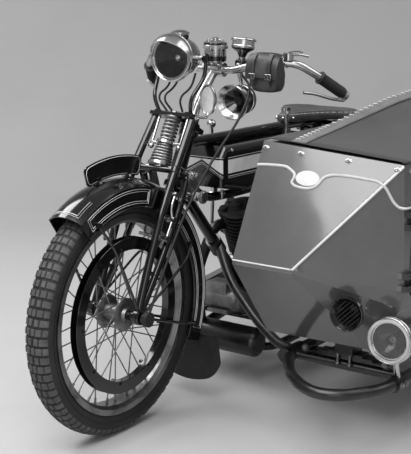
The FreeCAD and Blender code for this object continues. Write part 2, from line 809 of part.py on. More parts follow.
def make_saddle_frame():
    """Nose pin, cross springs and stem under the leather."""
    top = size("saddle_height - saddle_thick - seat_gap")
    seat = size("seat_lug_reach")
    rail = size("top_tube_height + main_tube")
    pieces = []
    nose = V(seat + 212, 0, top - 6)
    pieces.append(rod(V(seat + 212, 0, rail - 6), V(seat + 212, 0, top), 9))
    pieces.append(rod(V(seat - 30, -92, top - 6), V(seat - 30, 92, top - 6), 6))
    for side in (-1, 1):
        pieces.append(rod(nose, V(seat - 30, side * 86, top - 6), 5))
    shape = joined(pieces)
    coils = []
    for side in (-1, 1):
        outline = [(0, 0)]
        count = 5
        pitch = 8.0
        for index in range(count):
            low = index * pitch
            outline += [(low, 19), (low + pitch - 2, 21), (low + pitch - 1, 16)]
        outline += [(count * pitch, 16), (count * pitch, 0)]
        foot = V(seat - 30, side * 86, top - 12 - count * pitch)
        coils.append(lathe(outline, foot, Z_AXIS))
        coils.append(rod(foot, foot + V(0, 0, count * pitch + 8), 7))
    bar = rod(V(seat - 30, -96, top - 16 - 5 * pitch), V(seat - 30, 96, top - 16 - 5 * pitch), 8)
    link = bent([V(seat - 30, 0, top - 16 - 5 * pitch), V(seat - 12, 0, top - 30 - 5 * pitch),
                 V(seat + 2, 0, rail - 20)], 9)
    whole = joined([shape, bar, link] + coils)
    whole = minus(whole, [nodes["frame_rails"].Shape, nodes["frame_rear"].Shape])
    feature("saddle_frame", largest(whole))


# Engine
def crank_point(dx, y, dz):
    """Point from the crankshaft's middle."""
    return V(size("crank_reach") + dx, y, size("crank_height") + dz)


def cylinder_axis(side):
    """Direction of a cylinder: side 1 leans ahead, side -1 back."""
    lean = math.radians(size("cylinder_lean"))
    return V(side * math.sin(lean), 0, math.cos(lean))


def make_crankcase():
    """Crankcase halves with their lugs."""
    half = size("crankcase_half")
    radius = size("crankcase_radius")
    centre = crank_point(0, 0, 0)
    outline = [(-half, 0), (-half, radius - 26), (-half + 14, radius - 8), (-half + 30, radius),
               (half - 30, radius), (half - 14, radius - 8), (half, radius - 26), (half, 0)]
    case = lathe(outline, centre, Y_AXIS)
    pieces = [case]
    for side in (-1, 1):
        axis = cylinder_axis(side)
        mouth = centre + axis * size("barrel_foot")
        pieces.append(rod(centre + axis * 40, mouth, size("barrel_radius") + 14))
    rib = band(radius - 4, radius + 6, 205, 335, 6, centre)
    pieces.append(rib)
    for x in (-96, 78):
        pieces.append(block(centre.x + x, centre.x + x + 20, -half + 8, half - 8,
                            centre.z - 84, centre.z - 56))
    shape = minus(joined(pieces), [nodes["frame_front"].Shape])
    feature("crankcase", largest(shape))


def make_cylinder(side):
    """Finned iron barrel with its blind head, valve chest and caps on the right."""
    axis = cylinder_axis(side)
    foot = size("barrel_foot")
    top = size("barrel_top")
    wall = size("barrel_radius")
    fin = size("fin_radius")
    count = int(size("fin_count"))
    thick = size("fin_thick")
    centre = crank_point(0, 0, 0)
    outline = [(foot, 0), (foot, wall + 12), (foot + 8, wall + 12), (foot + 8, wall)]
    first = foot + 34
    pitch = (top - 12 - first) / (count - 1)
    for index in range(count):
        low = first + index * pitch
        reach = fin if index > 3 else fin - (4 - index) * 3
        outline += [(low, wall), (low, reach), (low + thick, reach), (low + thick, wall)]
    outline += [(top, wall - 6), (top, 0)]
    barrel = lathe(outline, centre, axis)
    pieces = [barrel]
    across = V(axis.z, 0, -axis.x)
    for offset in (-22, 22):
        low = centre + axis * (foot + 40) + V(0, -46, 0) + across * offset
        high = centre + axis * (top - 26) + V(0, -46, 0) + across * offset
        pieces.append(rod(low, high, 17))
        pieces.append(rod(high, high + axis * 16, 20))
        pieces.append(rod(high + axis * 16, high + axis * 26, 13))
        pieces.append(rod(low - axis * 34, low, 8))
    pieces.append(rod(centre + axis * top, centre + axis * (top + 14), 11))
    return joined(pieces)


def make_cylinders():
    """Both barrels, each kept to its own side of the vee and seated on the crankcase."""
    centre = crank_point(0, 0, 0)
    solids = []
    for side in (1, -1):
        far = centre.x + side * 400
        near = centre.x + side * size("seat_gap") / 2.0
        keep = block(min(near, far), max(near, far), -200, 200, centre.z, centre.z + 600)
        barrel = make_cylinder(side).common(keep)
        solids.append(largest(barrel.cut(nodes["crankcase"].Shape)))
    feature("cylinders", Part.makeCompound(solids))


def make_timing_case():
    """Timing chest on the right with its round covers."""
    half = size("crankcase_half")
    centre = crank_point(0, 0, 0)
    y = -half
    pieces = []
    pieces.append(Part.makeCylinder(66, 26, V(centre.x, y - 26, centre.z), Y_AXIS))
    pieces.append(slab([V(centre.x - 20, y - 26, centre.z + 30), V(centre.x + 20, y - 26, centre.z + 62),
                        V(size("magneto_reach") + 8, y - 26, size("magneto_height") + 40),
                        V(size("magneto_reach") + 30, y - 26, size("magneto_height") - 22),
                        V(centre.x + 40, y - 26, centre.z - 46)], V(0, 26, 0)))
    pieces.append(Part.makeCylinder(36, 30, V(size("magneto_reach"), y - 30, size("magneto_height")), Y_AXIS))
    pieces.append(Part.makeCylinder(44, 34, V(centre.x, y - 34, centre.z), Y_AXIS))
    for side in (-1, 1):
        axis = cylinder_axis(side)
        pieces.append(rod(centre + axis * 44 + V(0, y - 13, 0), centre + axis * 98 + V(0, y - 13, 0), 13))
    shape = joined(pieces)
    shape = minus(shape, [nodes["crankcase"].Shape, nodes["frame_front"].Shape,
                          nodes["cylinders"].Shape])
    feature("timing_case", largest(shape))


def make_magneto():
    """Horseshoe magneto on a platform ahead of the crankcase, with a domed end."""
    x = size("magneto_reach")
    z = size("magneto_height")
    half = size("crankcase_half")
    pieces = [Part.makeCylinder(34, 2 * half - 14, V(x, -half, z), Y_AXIS)]
    dome = lathe([(0, 0), (0, 36), (10, 36), (20, 32), (28, 23), (33, 10), (34, 0)],
                 V(x, half - 14, z), Y_AXIS)
    pieces.append(dome)
    pieces.append(block(x - 30, x + 30, -40, 34, z - 10, z + 50))
    pieces.append(block(x - 46, x + 34, -30, 40, z - 42, z - 30))
    pieces.append(bent([V(x - 46, 0, z - 36), V(x - 70, 0, z - 40), V(x - 110, 0, z - 44)], 9))
    shape = minus(joined(pieces), [nodes["timing_case"].Shape, nodes["crankcase"].Shape,
                                   nodes["frame_front"].Shape])
    feature("magneto", largest(shape))


def make_carburettor():
    """Branch pipe in the vee, mixing chamber and float bowl on the left."""
    centre = crank_point(0, 0, 0)
    front = cylinder_axis(1)
    rear = cylinder_axis(-1)
    reach = size("barrel_top") - 60
    pieces = []
    a = centre + front * reach + V(0, -30, 0)
    b = centre + rear * reach + V(0, -30, 0)
    pieces.append(rod(a, b, 14))
    mid = (a + b) * 0.5
    pieces.append(bent([mid, mid + V(0, 60, 0), mid + V(0, 96, -14)], 12.5))
    chamber = mid + V(0, 106, -60)
    pieces.append(rod(chamber, chamber + V(0, 0, 96), 19))
    pieces.append(rod(chamber + V(0, 0, 96), chamber + V(0, 0, 108), 14))
    bowl = chamber + V(46, 0, -4)
    pieces.append(rod(bowl, bowl + V(0, 0, 56), 24))
    pieces.append(taper(bowl + V(0, 0, 56), bowl + V(0, 0, 66), 22, 8))
    pieces.append(rod(chamber + V(0, 0, 8), bowl + V(0, 0, 8), 8))
    pieces.append(taper(chamber + V(0, 18, 30), chamber + V(0, 42, 30), 16, 22))
    shape = minus(joined(pieces), [nodes["cylinders"].Shape])
    feature("carburettor", largest(shape))


def make_exhaust():
    """Pipes from both cylinders and the crosswise silencer with its tail pipe."""
    centre = crank_point(0, 0, 0)
    radius = size("pipe_radius")
    sx = size("silencer_reach")
    sz = size("silencer_height")
    sr = size("silencer_radius")
    half = size("silencer_half")
    front = cylinder_axis(1)
    start = centre + front * size("barrel_top - 62") + V(22, -46, -8)
    pieces = [bent([start, start + V(58, -8, 2), V(sx + 52, -92, sz + 190),
                    V(sx + 4, -92, sz + 10)], radius)]
    rear = cylinder_axis(-1)
    port = centre + rear * size("barrel_top - 62") + V(-22, -50, -10)
    pieces.append(bent([port, port + V(-34, -34, -6), port + V(-36, -66, -70),
                        V(centre.x - 60, -124, sz + 34), V(sx - 64, -124, sz + 8),
                        V(sx, -100, sz)], radius - 1))
    drum = [(-half, 0), (-half, sr - 16), (-half + 5, sr - 5), (-half + 14, sr), (half - 14, sr),
            (half - 5, sr - 5), (half, sr - 16), (half, 0)]
    pieces.append(lathe(drum, V(sx, 0, sz), Y_AXIS))
    tail = [V(sx - 20, half - 30, sz - 20), V(sx - 90, half - 8, sz - 34),
            V(sx - 230, half - 4, sz - 30)]
    pieces.append(bent(tail, 13))
    shape = joined(pieces)
    cutters = [nodes[name].Shape for name in
               ("cylinders", "crankcase", "timing_case", "magneto",
                "frame_front")]
    feature("exhaust", largest(minus(shape, cutters)))


def make_gearbox():
    """Ribbed gearbox under the seat tube."""
    x = size("gearbox_reach")
    z = size("gearbox_height")
    radius = size("gearbox_radius")
    outline = [(-62, 0), (-62, radius - 22), (-50, radius - 6), (-38, radius), (30, radius),
               (38, radius - 10), (42, radius - 26), (42, 0)]
    shell = lathe(outline, V(x, 0, z), Y_AXIS)
    lay = Part.makeCylinder(radius - 20, 92, V(x + 30, -50, z - 48), Y_AXIS)
    bridge = block(x + 6, size("crank_reach") - 70, -30, 30, z - 72, z - 44)
    end = Part.makeCylinder(30, 14, V(x, -76, z), Y_AXIS)
    shape = minus(joined([shell, lay, bridge, end]),
                  [nodes["crankcase"].Shape, nodes["frame_rails"].Shape, nodes["frame_rear"].Shape])
    feature("gearbox", largest(shape))


def make_chaincase():
    """Primary and rear chaincases on the left, closed all round."""
    y = size("chain_offset")
    width = size("chaincase_width")
    crank = crank_point(0, y - width / 2.0, 0)
    gear = V(size("gearbox_reach"), y - width / 2.0, size("gearbox_height"))
    push = V(0, width, 0)
    pieces = [Part.makeCylinder(58, width, crank, Y_AXIS), Part.makeCylinder(86, width, gear, Y_AXIS)]
    along = gear - crank
    along.normalize()
    across = V(-along.z, 0, along.x)
    pieces.append(slab([crank + across * 57, gear + across * 84, gear - across * 84,
                        crank - across * 57], push))
    pieces.append(Part.makeCylinder(40, width + 8, crank, Y_AXIS))
    pieces.append(Part.makeCylinder(52, width + 8, gear, Y_AXIS))
    shape = joined(pieces)
    stubs = [Part.makeCylinder(24, y - width / 2.0 - size("crankcase_half"),
                               crank_point(0, size("crankcase_half"), 0), Y_AXIS),
             Part.makeCylinder(20, y - width / 2.0 - 42,
                               V(gear.x, 42, gear.z), Y_AXIS)]
    shape = joined([shape] + stubs)
    cutters = [nodes[name].Shape for name in
               ("frame_rear", "frame_rails", "gearbox", "crankcase")]
    primary = largest(minus(shape, cutters))
    feature("chaincases", Part.makeCompound([primary, make_rear_chaincase(primary)]))


def make_rear_chaincase(primary):
    """Shallow pan over the rear chain, open towards the wheel."""
    near = size("sprocket_offset") - 6
    depth = 22.0
    wall = 3.0
    rear = V(0, near, size("tyre_radius"))
    gear = V(size("gearbox_reach") - 8, near, size("gearbox_height"))

    def stadium(radius, small, start, length):
        """Straight-sided case round the wheel's sprocket and the gearbox's."""
        along = gear - rear
        along.normalize()
        across = V(-along.z, 0, along.x)
        push = V(0, length, 0)
        shift = V(0, start, 0)
        lean = math.asin((radius - small) / (gear - rear).Length)
        up = across * math.cos(lean) + along * math.sin(lean)
        down = across * -math.cos(lean) + along * math.sin(lean)
        run = slab([rear + up * radius + shift, gear + up * small + shift,
                    gear + down * small + shift, rear + down * radius + shift], push)
        return joined([run, Part.makeCylinder(radius, length, rear + shift, Y_AXIS),
                       Part.makeCylinder(small, length, gear + shift, Y_AXIS)])

    big = size("sprocket_radius") + 14
    shape = stadium(big, 44.0, 0.0, depth)
    shape = shape.cut(stadium(big - wall, 44.0 - wall, -1.0, depth - wall + 1.0))
    shape = minus(shape, [machine_node(name) for name in ("frame_rear", "frame_rails", "gearbox")])
    return largest(shape.cut(primary))


def make_footboards():
    """Two boards with raised toes on their cross bars."""
    pieces = []
    for side in (-1, 1):
        y0 = side * 150 - 55
        board = block(600, 860, y0, y0 + 110, 196, 204)
        lip = slab([V(860, y0, 196), V(900, y0, 236), V(896, y0, 241), V(858, y0, 204)],
                   V(0, 110, 0))
        pieces.append(joined([board, lip]))
    bars = [rod(V(640, -200, 188), V(640, 200, 188), 8), rod(V(822, -200, 188), V(822, 200, 188), 8)]
    shape = joined(pieces + bars)
    cutters = [nodes[name].Shape for name in nodes if name in
               ("crankcase", "exhaust", "timing_case", "gearbox", "chaincases", "magneto",
                "frame_front", "frame_rear")]
    feature("footboards", minus(shape, cutters))


def make_kickstarter():
    """Folding crank on the right of the gearbox and the gear lever beside the tank."""
    x = size("gearbox_reach")
    z = size("gearbox_height")
    shaft = rod(V(x, -76.3, z), V(x, -104, z), 11)
    arm = bent([V(x, -96, z), V(x - 6, -100, z + 60), V(x + 16, -112, z + 128)], 8)
    pedal = rod(V(x + 16, -106, z + 128), V(x + 16, -168, z + 132), 12)
    return joined([shaft, arm, pedal])


def make_gear_lever():
    """Hand change in its quadrant on the tank's right side."""
    y = -size("tank_half") - size("seat_gap")
    gate = slab([V(760, y, 640), V(900, y, 640), V(900, y, 668), V(760, y, 668)], V(0, -5, 0))
    lever = bent([V(842, y - 10, 470), V(838, y - 10, 600), V(850, y - 12, 770)], 6)
    knob = Part.makeSphere(14, V(850, y - 12, 778))
    pin = rod(V(839, y - 4, 560), V(839, y - 17, 560), 10)
    plate = block(828, 850, y - 5, y, 548, 641)
    shaft = bent([V(842, y - 10, 474), V(760, y - 10, 420), V(520, y - 22, 352)], 5)
    shape = joined([gate, plate, lever, knob, pin, shaft])
    cutters = [nodes[name].Shape for name in
               ("gearbox", "cylinders", "exhaust", "tank")]
    feature("hand_foot_levers", Part.makeCompound([make_kickstarter(), largest(minus(shape, cutters))]))


def guard_outline(drop):
    """Section of a mudguard: crown, sides and its sheet's inner face."""
    half = "guard_half"
    crown = "guard_radius - 20"
    foot = "guard_radius - 20 - %s" % drop
    outer = "(guard_half * guard_half / 20 + 20) / 2"
    inner = "((guard_half - guard_wall) * (guard_half - guard_wall) / 20 + 20) / 2"
    return [
        ("0 - " + half, foot),
        ("0 - " + half, crown),
        (half, crown, outer, 1),
        (half, foot),
        (half + " - guard_wall", foot),
        (half + " - guard_wall", crown + " - guard_wall"),
        ("0 - guard_half + guard_wall", crown + " - guard_wall", inner, -1),
        ("0 - guard_half + guard_wall", foot),
    ]


def make_guard(which, drop):
    """Domed mudguard between its two named angles."""
    label = "guard_" + which
    first = size(which + "_guard_first")
    last = size(which + "_guard_last")
    body = doc.addObject("PartDesign::Body", label)
    sketch = draw(body, "YZ_Plane", guard_outline(drop), label + "_section")
    spin = body.newObject("PartDesign::Revolution", label + "_sweep")
    spin.Profile = sketch
    spin.ReferenceAxis = (sketch, ["H_Axis"])
    spin.Midplane = True
    spin.Angle = last - first
    body.Tip = spin
    register(body, label)
    turn = FreeCAD.Rotation(Y_AXIS, 90 - (first + last) / 2.0)
    body.Placement = FreeCAD.Placement(ORIGIN, turn)
    stand(body, *wheel_centre(which))
    return body


def ring_point(which, radius, angle, y):
    """Point round a wheel's middle at an angle counted from ahead, upwards."""
    x0, y0, z0 = [size(item) for item in wheel_centre(which)]
    a = math.radians(angle)
    return V(x0 + radius * math.cos(a), y0 + y, z0 + radius * math.sin(a))


def make_plate():
    """Curved blank plate on two feet along the top of the front guard."""
    centre = V(size("wheelbase"), 0, size("tyre_radius"))
    crown = size("guard_radius + seat_gap")
    low = size("guard_radius + plate_lift")
    high = low + size("plate_height")
    half = size("plate_thick") / 2.0
    plate = band(low, high, 72, 105, half, centre)
    corners = [edge for edge in plate.Edges if edge.BoundBox.YLength > half and edge.Length < 3 * half]
    pieces = [plate.makeFillet(size("plate_corner"), corners)]
    for angle in (79, 98):
        pieces.append(band(crown, low + 12, angle - 1.2, angle + 1.2, half + 1.5, centre))
        pieces.append(band(crown, crown + 2.5, angle - 2, angle + 2, half + 8, centre))
    feature("front_plate", joined(pieces))


def make_flap():
    """Hanging flap behind the front guard's tail, with a round foot."""
    outline = [("100", "196"), ("0 - 100", "196"), ("0 - 112", "120"), ("0 - 74", "66", "90", -1),
               ("74", "66", "190", -1), ("112", "120", "90", -1)]
    body = padded("mud_flap", outline, "5", "YZ_Plane")
    register(body, "mud_flap")
    reach = "wheelbase - sqrt(guard_radius * guard_radius - (tyre_radius - 196) * (tyre_radius - 196))"
    reach += " - seat_gap - 2.5"
    stand(body, reach)


def make_guard_stays():
    """Rod stays from the fork ends to the front guard's edges."""
    shapes = []
    half = size("blade_half") + 16
    skirt = size("guard_radius - 20 - valance_drop") + 12
    edge = size("guard_half")
    for side in (-1, 1):
        lug = rod(ring_point("front", 0, 0, side * (half - 5)),
                  ring_point("front", 0, 0, side * (half + 1)), 19)
        pieces = [lug]
        for angle in (62, 150, 197):
            tip = ring_point("front", skirt, angle, side * (edge + 5.3))
            start = ring_point("front", 14, angle, side * (half - 2))
            bend = ring_point("front", skirt - 70, angle, side * (half - 2))
            pieces.append(bent([start, bend, tip], 4))
            pieces.append(rod(ring_point("front", skirt, angle, side * (edge + size("seat_gap"))),
                              ring_point("front", skirt, angle, side * (edge + 10)), 8))
        whole = minus(joined(pieces), [machine_shape("fork_girder")])
        shapes.append(largest(whole))
    return shapes


def machine_shape(label):
    """A fork sub-part's shape in machine axes, before the datum moves it."""
    obj = nodes[label]
    shape = obj.Shape.copy()
    place = FreeCAD.Placement(V(HEAD_FOOT, 0, 0), FreeCAD.Rotation(Y_AXIS, -size("head_rake")))
    shape.Placement = place
    return shape


def fork_shape(shape):
    """A machine shape in fork axes."""
    place = FreeCAD.Placement(V(HEAD_FOOT, 0, 0), FreeCAD.Rotation(Y_AXIS, -size("head_rake")))
    twin = shape.copy()
    twin.Placement = place.inverse().multiply(twin.Placement)
    return twin


# Rear of the machine
def make_carrier():
    """Flat carrier with strips, its stays, and two bolt rows for a pillion seat."""
    top = size("carrier_height")
    half = size("carrier_half")
    front = size("carrier_front")
    rear = size("carrier_rear")
    pieces = []
    for side in (-1, 1):
        pieces.append(block(rear, front, side * half - 8, side * half + 8, top - 8, top))
        for x, foot in ((rear + 46, -6), (front - 46, 14)):
            pieces.append(rod(V(x, side * half, top - 4),
                              V(foot, side * (size("stay_half") + 30), size("tyre_radius") + 12), 6.5))
    for x in (rear + 8, rear + 80, front - 80, front - 8):
        pieces.append(block(x - 8, x + 8, -half, half, top - 8, top))
    for y in (-60, 0, 60):
        pieces.append(block(rear, front, y - 11, y + 11, top - 6, top))
    mid = (front + rear) / 2.0
    for dx in (-0.5, 0.5):
        x = mid + dx * size("pillion_pitch_x")
        pieces.append(block(x - 14, x + 14, -half, half, top - 8, top))
    seat_top, seat_foot = seat_tube_axis()
    share = (seat_top.z - top + 60) / (seat_top.z - seat_foot.z)
    pieces.append(rod(V(front - 8, 0, top - 4), seat_top + (seat_foot - seat_top) * share, 7))
    for side in (-1, 1):
        pieces.append(rod(V(0, side * (size("stay_half") + 18), size("tyre_radius")),
                          V(0, side * (size("stay_half") + 34), size("tyre_radius")), 15))
    shape = joined(pieces)
    holes = []
    for sx in (-0.5, 0.5):
        for sy in (-0.5, 0.5):
            at = V(mid + sx * size("pillion_pitch_x"), sy * size("pillion_pitch_y"), top - 20)
            holes.append(rod(at, at + V(0, 0, 40), size("pillion_hole")))
    shape = minus(shape, holes + [nodes["frame_rear"].Shape, nodes["frame_rails"].Shape,
                                  nodes["saddle_frame"].Shape])
    feature("carrier", largest(shape))


def make_tool_boxes():
    """A pair of sheet boxes hung from the carrier's sides."""
    top = size("carrier_height") - 26
    half = size("carrier_half")
    shapes = []
    for side in (-1, 1):
        near = side * (half + 12)
        far = side * (half + 74)
        y0, y1 = min(near, far), max(near, far)
        box = block(-96, 108, y0, y1, top - 128, top)
        longs = [edge for edge in box.Edges if edge.Length > 60]
        box = box.makeFillet(11, longs)
        lid = block(-100, 112, y0 - 1, y1 + 2 * max(side, 0), top - 34, top - 30)
        hook = block(-60, -44, min(near, side * (half + 8.3)), max(near, side * (half + 8.3)),
                     top - 40, top + 22)
        hook2 = block(52, 68, min(near, side * (half + 8.3)), max(near, side * (half + 8.3)),
                      top - 40, top + 22)
        shapes.append(joined([box, lid, hook, hook2]))
    feature("tool_boxes", Part.makeCompound(shapes))


def make_rear_stand():
    """U-shaped stand, swung up behind the tyre."""
    pivot = V(-20, 0, size("stand_pivot_height"))
    half = size("stand_half")
    reach = size("stand_reach")
    lift = math.radians(6)
    foot = V(pivot.x - reach * math.cos(lift), 0, pivot.z + reach * math.sin(lift))
    pieces = []
    leg = [V(pivot.x, -half, pivot.z), V(pivot.x - (pivot.x - foot.x) * 0.55, -half, pivot.z + 22),
           V(foot.x, -58, foot.z), V(foot.x, 58, foot.z),
           V(pivot.x - (pivot.x - foot.x) * 0.55, half, pivot.z + 22), V(pivot.x, half, pivot.z)]
    pieces.append(bent(leg, 8.5, 38))
    for side in (-1, 1):
        pieces.append(rod(V(pivot.x, side * (half - 9), pivot.z), V(pivot.x, side * (half + 9), pivot.z), 15))
    shape = joined(pieces)
    pins = [rod(V(pivot.x, side * (half - 30), pivot.z), V(pivot.x, side * (half + 30), pivot.z),
                size("axle_radius") + size("bore_gap") - 1) for side in (-1, 1)]
    feature("rear_stand", minus(shape, pins))


def stand_pins():
    """Pins on the fork ends for the rear stand."""
    half = size("stand_half")
    near = size("stay_half") + 12
    pieces = []
    for side in (-1, 1):
        x, z = -20, size("stand_pivot_height")
        pieces.append(rod(V(x, side * near, z), V(x, side * (half + 12), z), size("axle_radius") - 1))
        pieces.append(rod(V(x, side * (near + 4), z), V(x, side * (half - 9.6), z), 12))
        pieces.append(rod(V(x, side * (half + 9.6), z), V(x, side * (half + 14), z), 12))
    return pieces


# Fork
def make_fork_girder():
    """Girder blades of two tubes each, their bridge, crown, stem and wheel spindle."""
    half = size("blade_half")
    radius = size("blade_radius")
    top = size("fork_top")
    low = size("spring_foot")
    pieces = []
    for side in (-1, 1):
        pieces.append(bent([V(AXLE_U + 4, side * (half + 4), AXLE_W),
                            V(AXLE_U + 16, side * half, AXLE_W + 150),
                            V(112, side * half, 620), V(106, side * half, low),
                            V(size("spring_reach") - 2, side * (half - 8), top)], radius))
        pieces.append(bent([V(AXLE_U - 6, side * (half + 4), AXLE_W + 6),
                            V(AXLE_U - 34, side * half, AXLE_W + 170),
                            V(38, side * half, 650), V(46, side * half, low + 4)], radius - 1))
        pieces.append(rod(V(46, side * half, low), V(106, side * half, low), 10))
        pieces.append(rod(V(46, side * (half - 14), low), V(46, side * (half + 14), low), 14))
        for w in (AXLE_W + 120, 600):
            pieces.append(rod(V(50, side * half, w), V(100, side * half, w + 6), 6))
        pieces.append(Part.makeCylinder(20, 12, V(AXLE_U, side * (half + 4) - 6, AXLE_W), Y_AXIS))
    pieces.append(rod(V(106, -half, low - 10), V(106, half, low - 10), 8))
    pieces.append(block(size("spring_reach") - 18, size("spring_reach") + 16, -half - 3, half + 3,
                        top - 4, top + 6))
    pieces.append(block(-26, size("spring_reach") - 18, -30, 30, size("head_high + 4"), top + 4))
    pieces.append(rod(V(0, 0, size("head_low - 24")), V(0, 0, top + 20), size("stem_radius")))
    pieces.append(rod(V(0, 0, size("head_low - 28")), V(0, 0, size("head_low - 6")), 20))
    crown = size("head_low - 16")
    for side in (-1, 1):
        pieces.append(rod(V(0, 0, crown), V(0, side * (half - 22), crown), 11))
    pieces.append(rod(V(0, 0, top + 6), V(0, 0, top + 22), 19))
    pieces.append(rod(V(AXLE_U, -half - 30, AXLE_W), V(AXLE_U, half + 30, AXLE_W), size("axle_radius")))
    for side in (-1, 1):
        pieces.append(rod(V(AXLE_U, side * size("hub_half + seat_gap"), AXLE_W),
                          V(AXLE_U, side * half, AXLE_W), 13))
        pieces.append(rod(V(AXLE_U, side * (half + 20), AXLE_W), V(AXLE_U, side * (half + 28), AXLE_W), 13))
    feature("fork_girder", largest(joined(pieces)), fork=True)


def make_fork_links():
    """Bright lower links, waist bar with ball ends, guide rods and spring seats."""
    half = size("blade_half")
    low = size("spring_foot")
    u = size("spring_reach")
    pieces = []
    crown = size("head_low - 16")
    for side in (-1, 1):
        y = side * (half - 20)
        link = slab([V(-13, y, crown - 13), V(13, y, crown - 14), V(60, y, low - 12), V(60, y, low + 12),
                     V(36, y, low + 14), V(-13, y, crown + 13)], V(0, side * 5, 0))
        pieces.append(link)
        pieces.append(rod(V(46, side * (half - 22), low), V(46, side * (half + 34), low), 7))
        pieces.append(rod(V(46, side * (half + 15), low), V(46, side * (half + 23), low), 12))
        pieces.append(rod(V(0, side * (half - 24), crown), V(0, side * (half + 26), crown), 7))
        pieces.append(rod(V(0, side * (half + 16), crown), V(0, side * (half + 23), crown), 12))
        y = side * (half + 12)
        pieces.append(slab([V(-12, y, crown - 12), V(12, y, crown - 14), V(60, y, low - 13),
                            V(60, y, low + 12), V(38, y, low + 14), V(-12, y, crown + 12)],
                           V(0, side * 5, 0)))
    cup = size("spring_foot_radius + spring_wire") + 1
    seat = lathe([(0, 0), (0, cup + 3), (7, cup + 3), (7, cup), (3, cup), (3, 0)], V(u, 0, low + 4), Z_AXIS)
    pieces.append(seat)
    pieces.append(rod(V(u, 0, low - 2), V(u, 0, low + 6), 15))
    pieces.append(rod(V(u, -half + 24, low), V(u, half - 24, low), 7))
    for side in (-1, 1):
        pieces.append(rod(V(46, side * (half - 18), low), V(u + 2, side * (half - 26), low), 6))
    whole = joined(pieces)
    girder = nodes["fork_girder"].Shape.copy()
    girder.Placement = FreeCAD.Placement()
    links = minus(whole, [girder])
    waist = make_waist().cut(girder)
    feature("fork_links", Part.makeCompound([links, waist]), fork=True)


def spring_path():
    """Points of one coil that narrows to the waist and stays narrow above it."""
    low = size("spring_foot") + 4 + 3 + size("spring_wire") + size("seat_gap")
    waist = size("spring_waist")
    top = size("fork_top") - 4 - size("seat_gap") - size("spring_wire")
    points = []
    turns_low = int((waist - low) / size("coil_pitch_low"))
    turns_high = int((top - waist) / size("coil_pitch_high"))
    wide = size("spring_foot_radius")
    narrow = size("spring_waist_radius")
    steps = 12
    for index in range(turns_low * steps):
        share = index / float(turns_low * steps)
        radius = wide + (narrow - wide) * share * share
        points.append((radius, 2 * math.pi * index / steps, low + (waist - low) * share))
    for index in range(turns_high * steps + 1):
        share = index / float(turns_high * steps)
        radius = narrow + 2.5 * math.sin(math.pi * share)
        points.append((radius, 2 * math.pi * index / steps, waist + (top - waist) * share))
    u = size("spring_reach")
    return [V(u + r * math.cos(a), r * math.sin(a), w) for r, a, w in points]


def make_fork_spring():
    """Open coil, wide at its foot and narrow above the waist."""
    points = spring_path()
    curve = Part.BSplineCurve()
    curve.interpolate(points)
    wire = Part.Wire(curve.toShape())
    sweep = Part.BRepOffsetAPI.MakePipeShell(wire)
    sweep.setFrenetMode(True)
    start = curve.tangent(curve.FirstParameter)[0]
    sweep.add(Part.Wire(Part.Circle(points[0], start, size("spring_wire")).toShape()))
    sweep.build()
    sweep.makeSolid()
    feature("fork_spring", single(sweep.shape()), fork=True)


def make_waist():
    """Bar with ball ends round the coil's waist, and its two rods from the bridge."""
    half = size("blade_half")
    u = size("spring_reach")
    waist = size("spring_waist")
    top = size("fork_top")
    pieces = []
    bore = size("spring_waist_radius + spring_wire") + 2.4
    ring = lathe([(-4, bore), (4, bore), (4, bore + 5), (-4, bore + 5)], V(u, 0, waist), Z_AXIS)
    pieces.append(ring)
    for side in (-1, 1):
        y = side * (half - 22)
        pieces.append(rod(V(u, side * (bore + 2), waist), V(u, y, waist), 5))
        pieces.append(rod(V(u, y, waist - 14), V(u, y, top - 4 - size("seat_gap")), 4))
        pieces.append(Part.makeSphere(8.5, V(u, y, waist - 10)))
    return joined(pieces)


def bar_clip():
    """Middle of the handlebar's clip, behind and above the stem's nut."""
    return stem_nut() + V(-size("bar_back"), 0, size("bar_rise"))


def stem_nut():
    """Top of the fork's stem."""
    return head_point(size("fork_top + seat_gap") + 22)


def bar_points():
    """The bar's route from the right grip's end to the left one's."""
    clip = bar_clip()
    wide = size("bar_width")
    left = [clip + V(8, 72, 4), clip + V(0, 185, 33), clip + V(-38, 252, 29), clip + V(-72, wide - 45, 0),
            clip + V(-152, wide, -55)]
    right = [V(p.x, -p.y, p.z) for p in reversed(left)]
    return right + [clip] + left


def make_handlebar():
    """Bent bar in its clip on the stem's riser."""
    clip = bar_clip()
    foot = stem_nut()
    mid = foot + V(-SR * 60, 0, CR * 60)
    pieces = [bent(bar_points(), size("bar_radius"), size("bar_bend")), bent([foot, mid, clip], 13),
              rod(clip + V(0, -34, 0), clip + V(0, 34, 0), 18)]
    feature("handlebar", joined(pieces))


def make_grips():
    """Handle grips over the bar's ends."""
    points = bar_points()
    shapes = []
    for a, b in ((points[-2], points[-1]), (points[1], points[0])):
        way = b - a
        way.normalize()
        start = b - way * size("grip_length")
        length = size("grip_length + grip_cap")
        radius = size("grip_radius")
        bore = size("bar_radius + seat_gap")
        outline = [(0, bore), (size("grip_length + seat_gap"), bore), (size("grip_length + seat_gap"), 0),
                   (length, 0), (length, radius - 4), (length - 4, radius), (8, radius - 1.5),
                   (4, radius + 3), (0, radius + 3)]
        shapes.append(lathe(outline, start, way))
    feature("grips", Part.makeCompound(shapes))


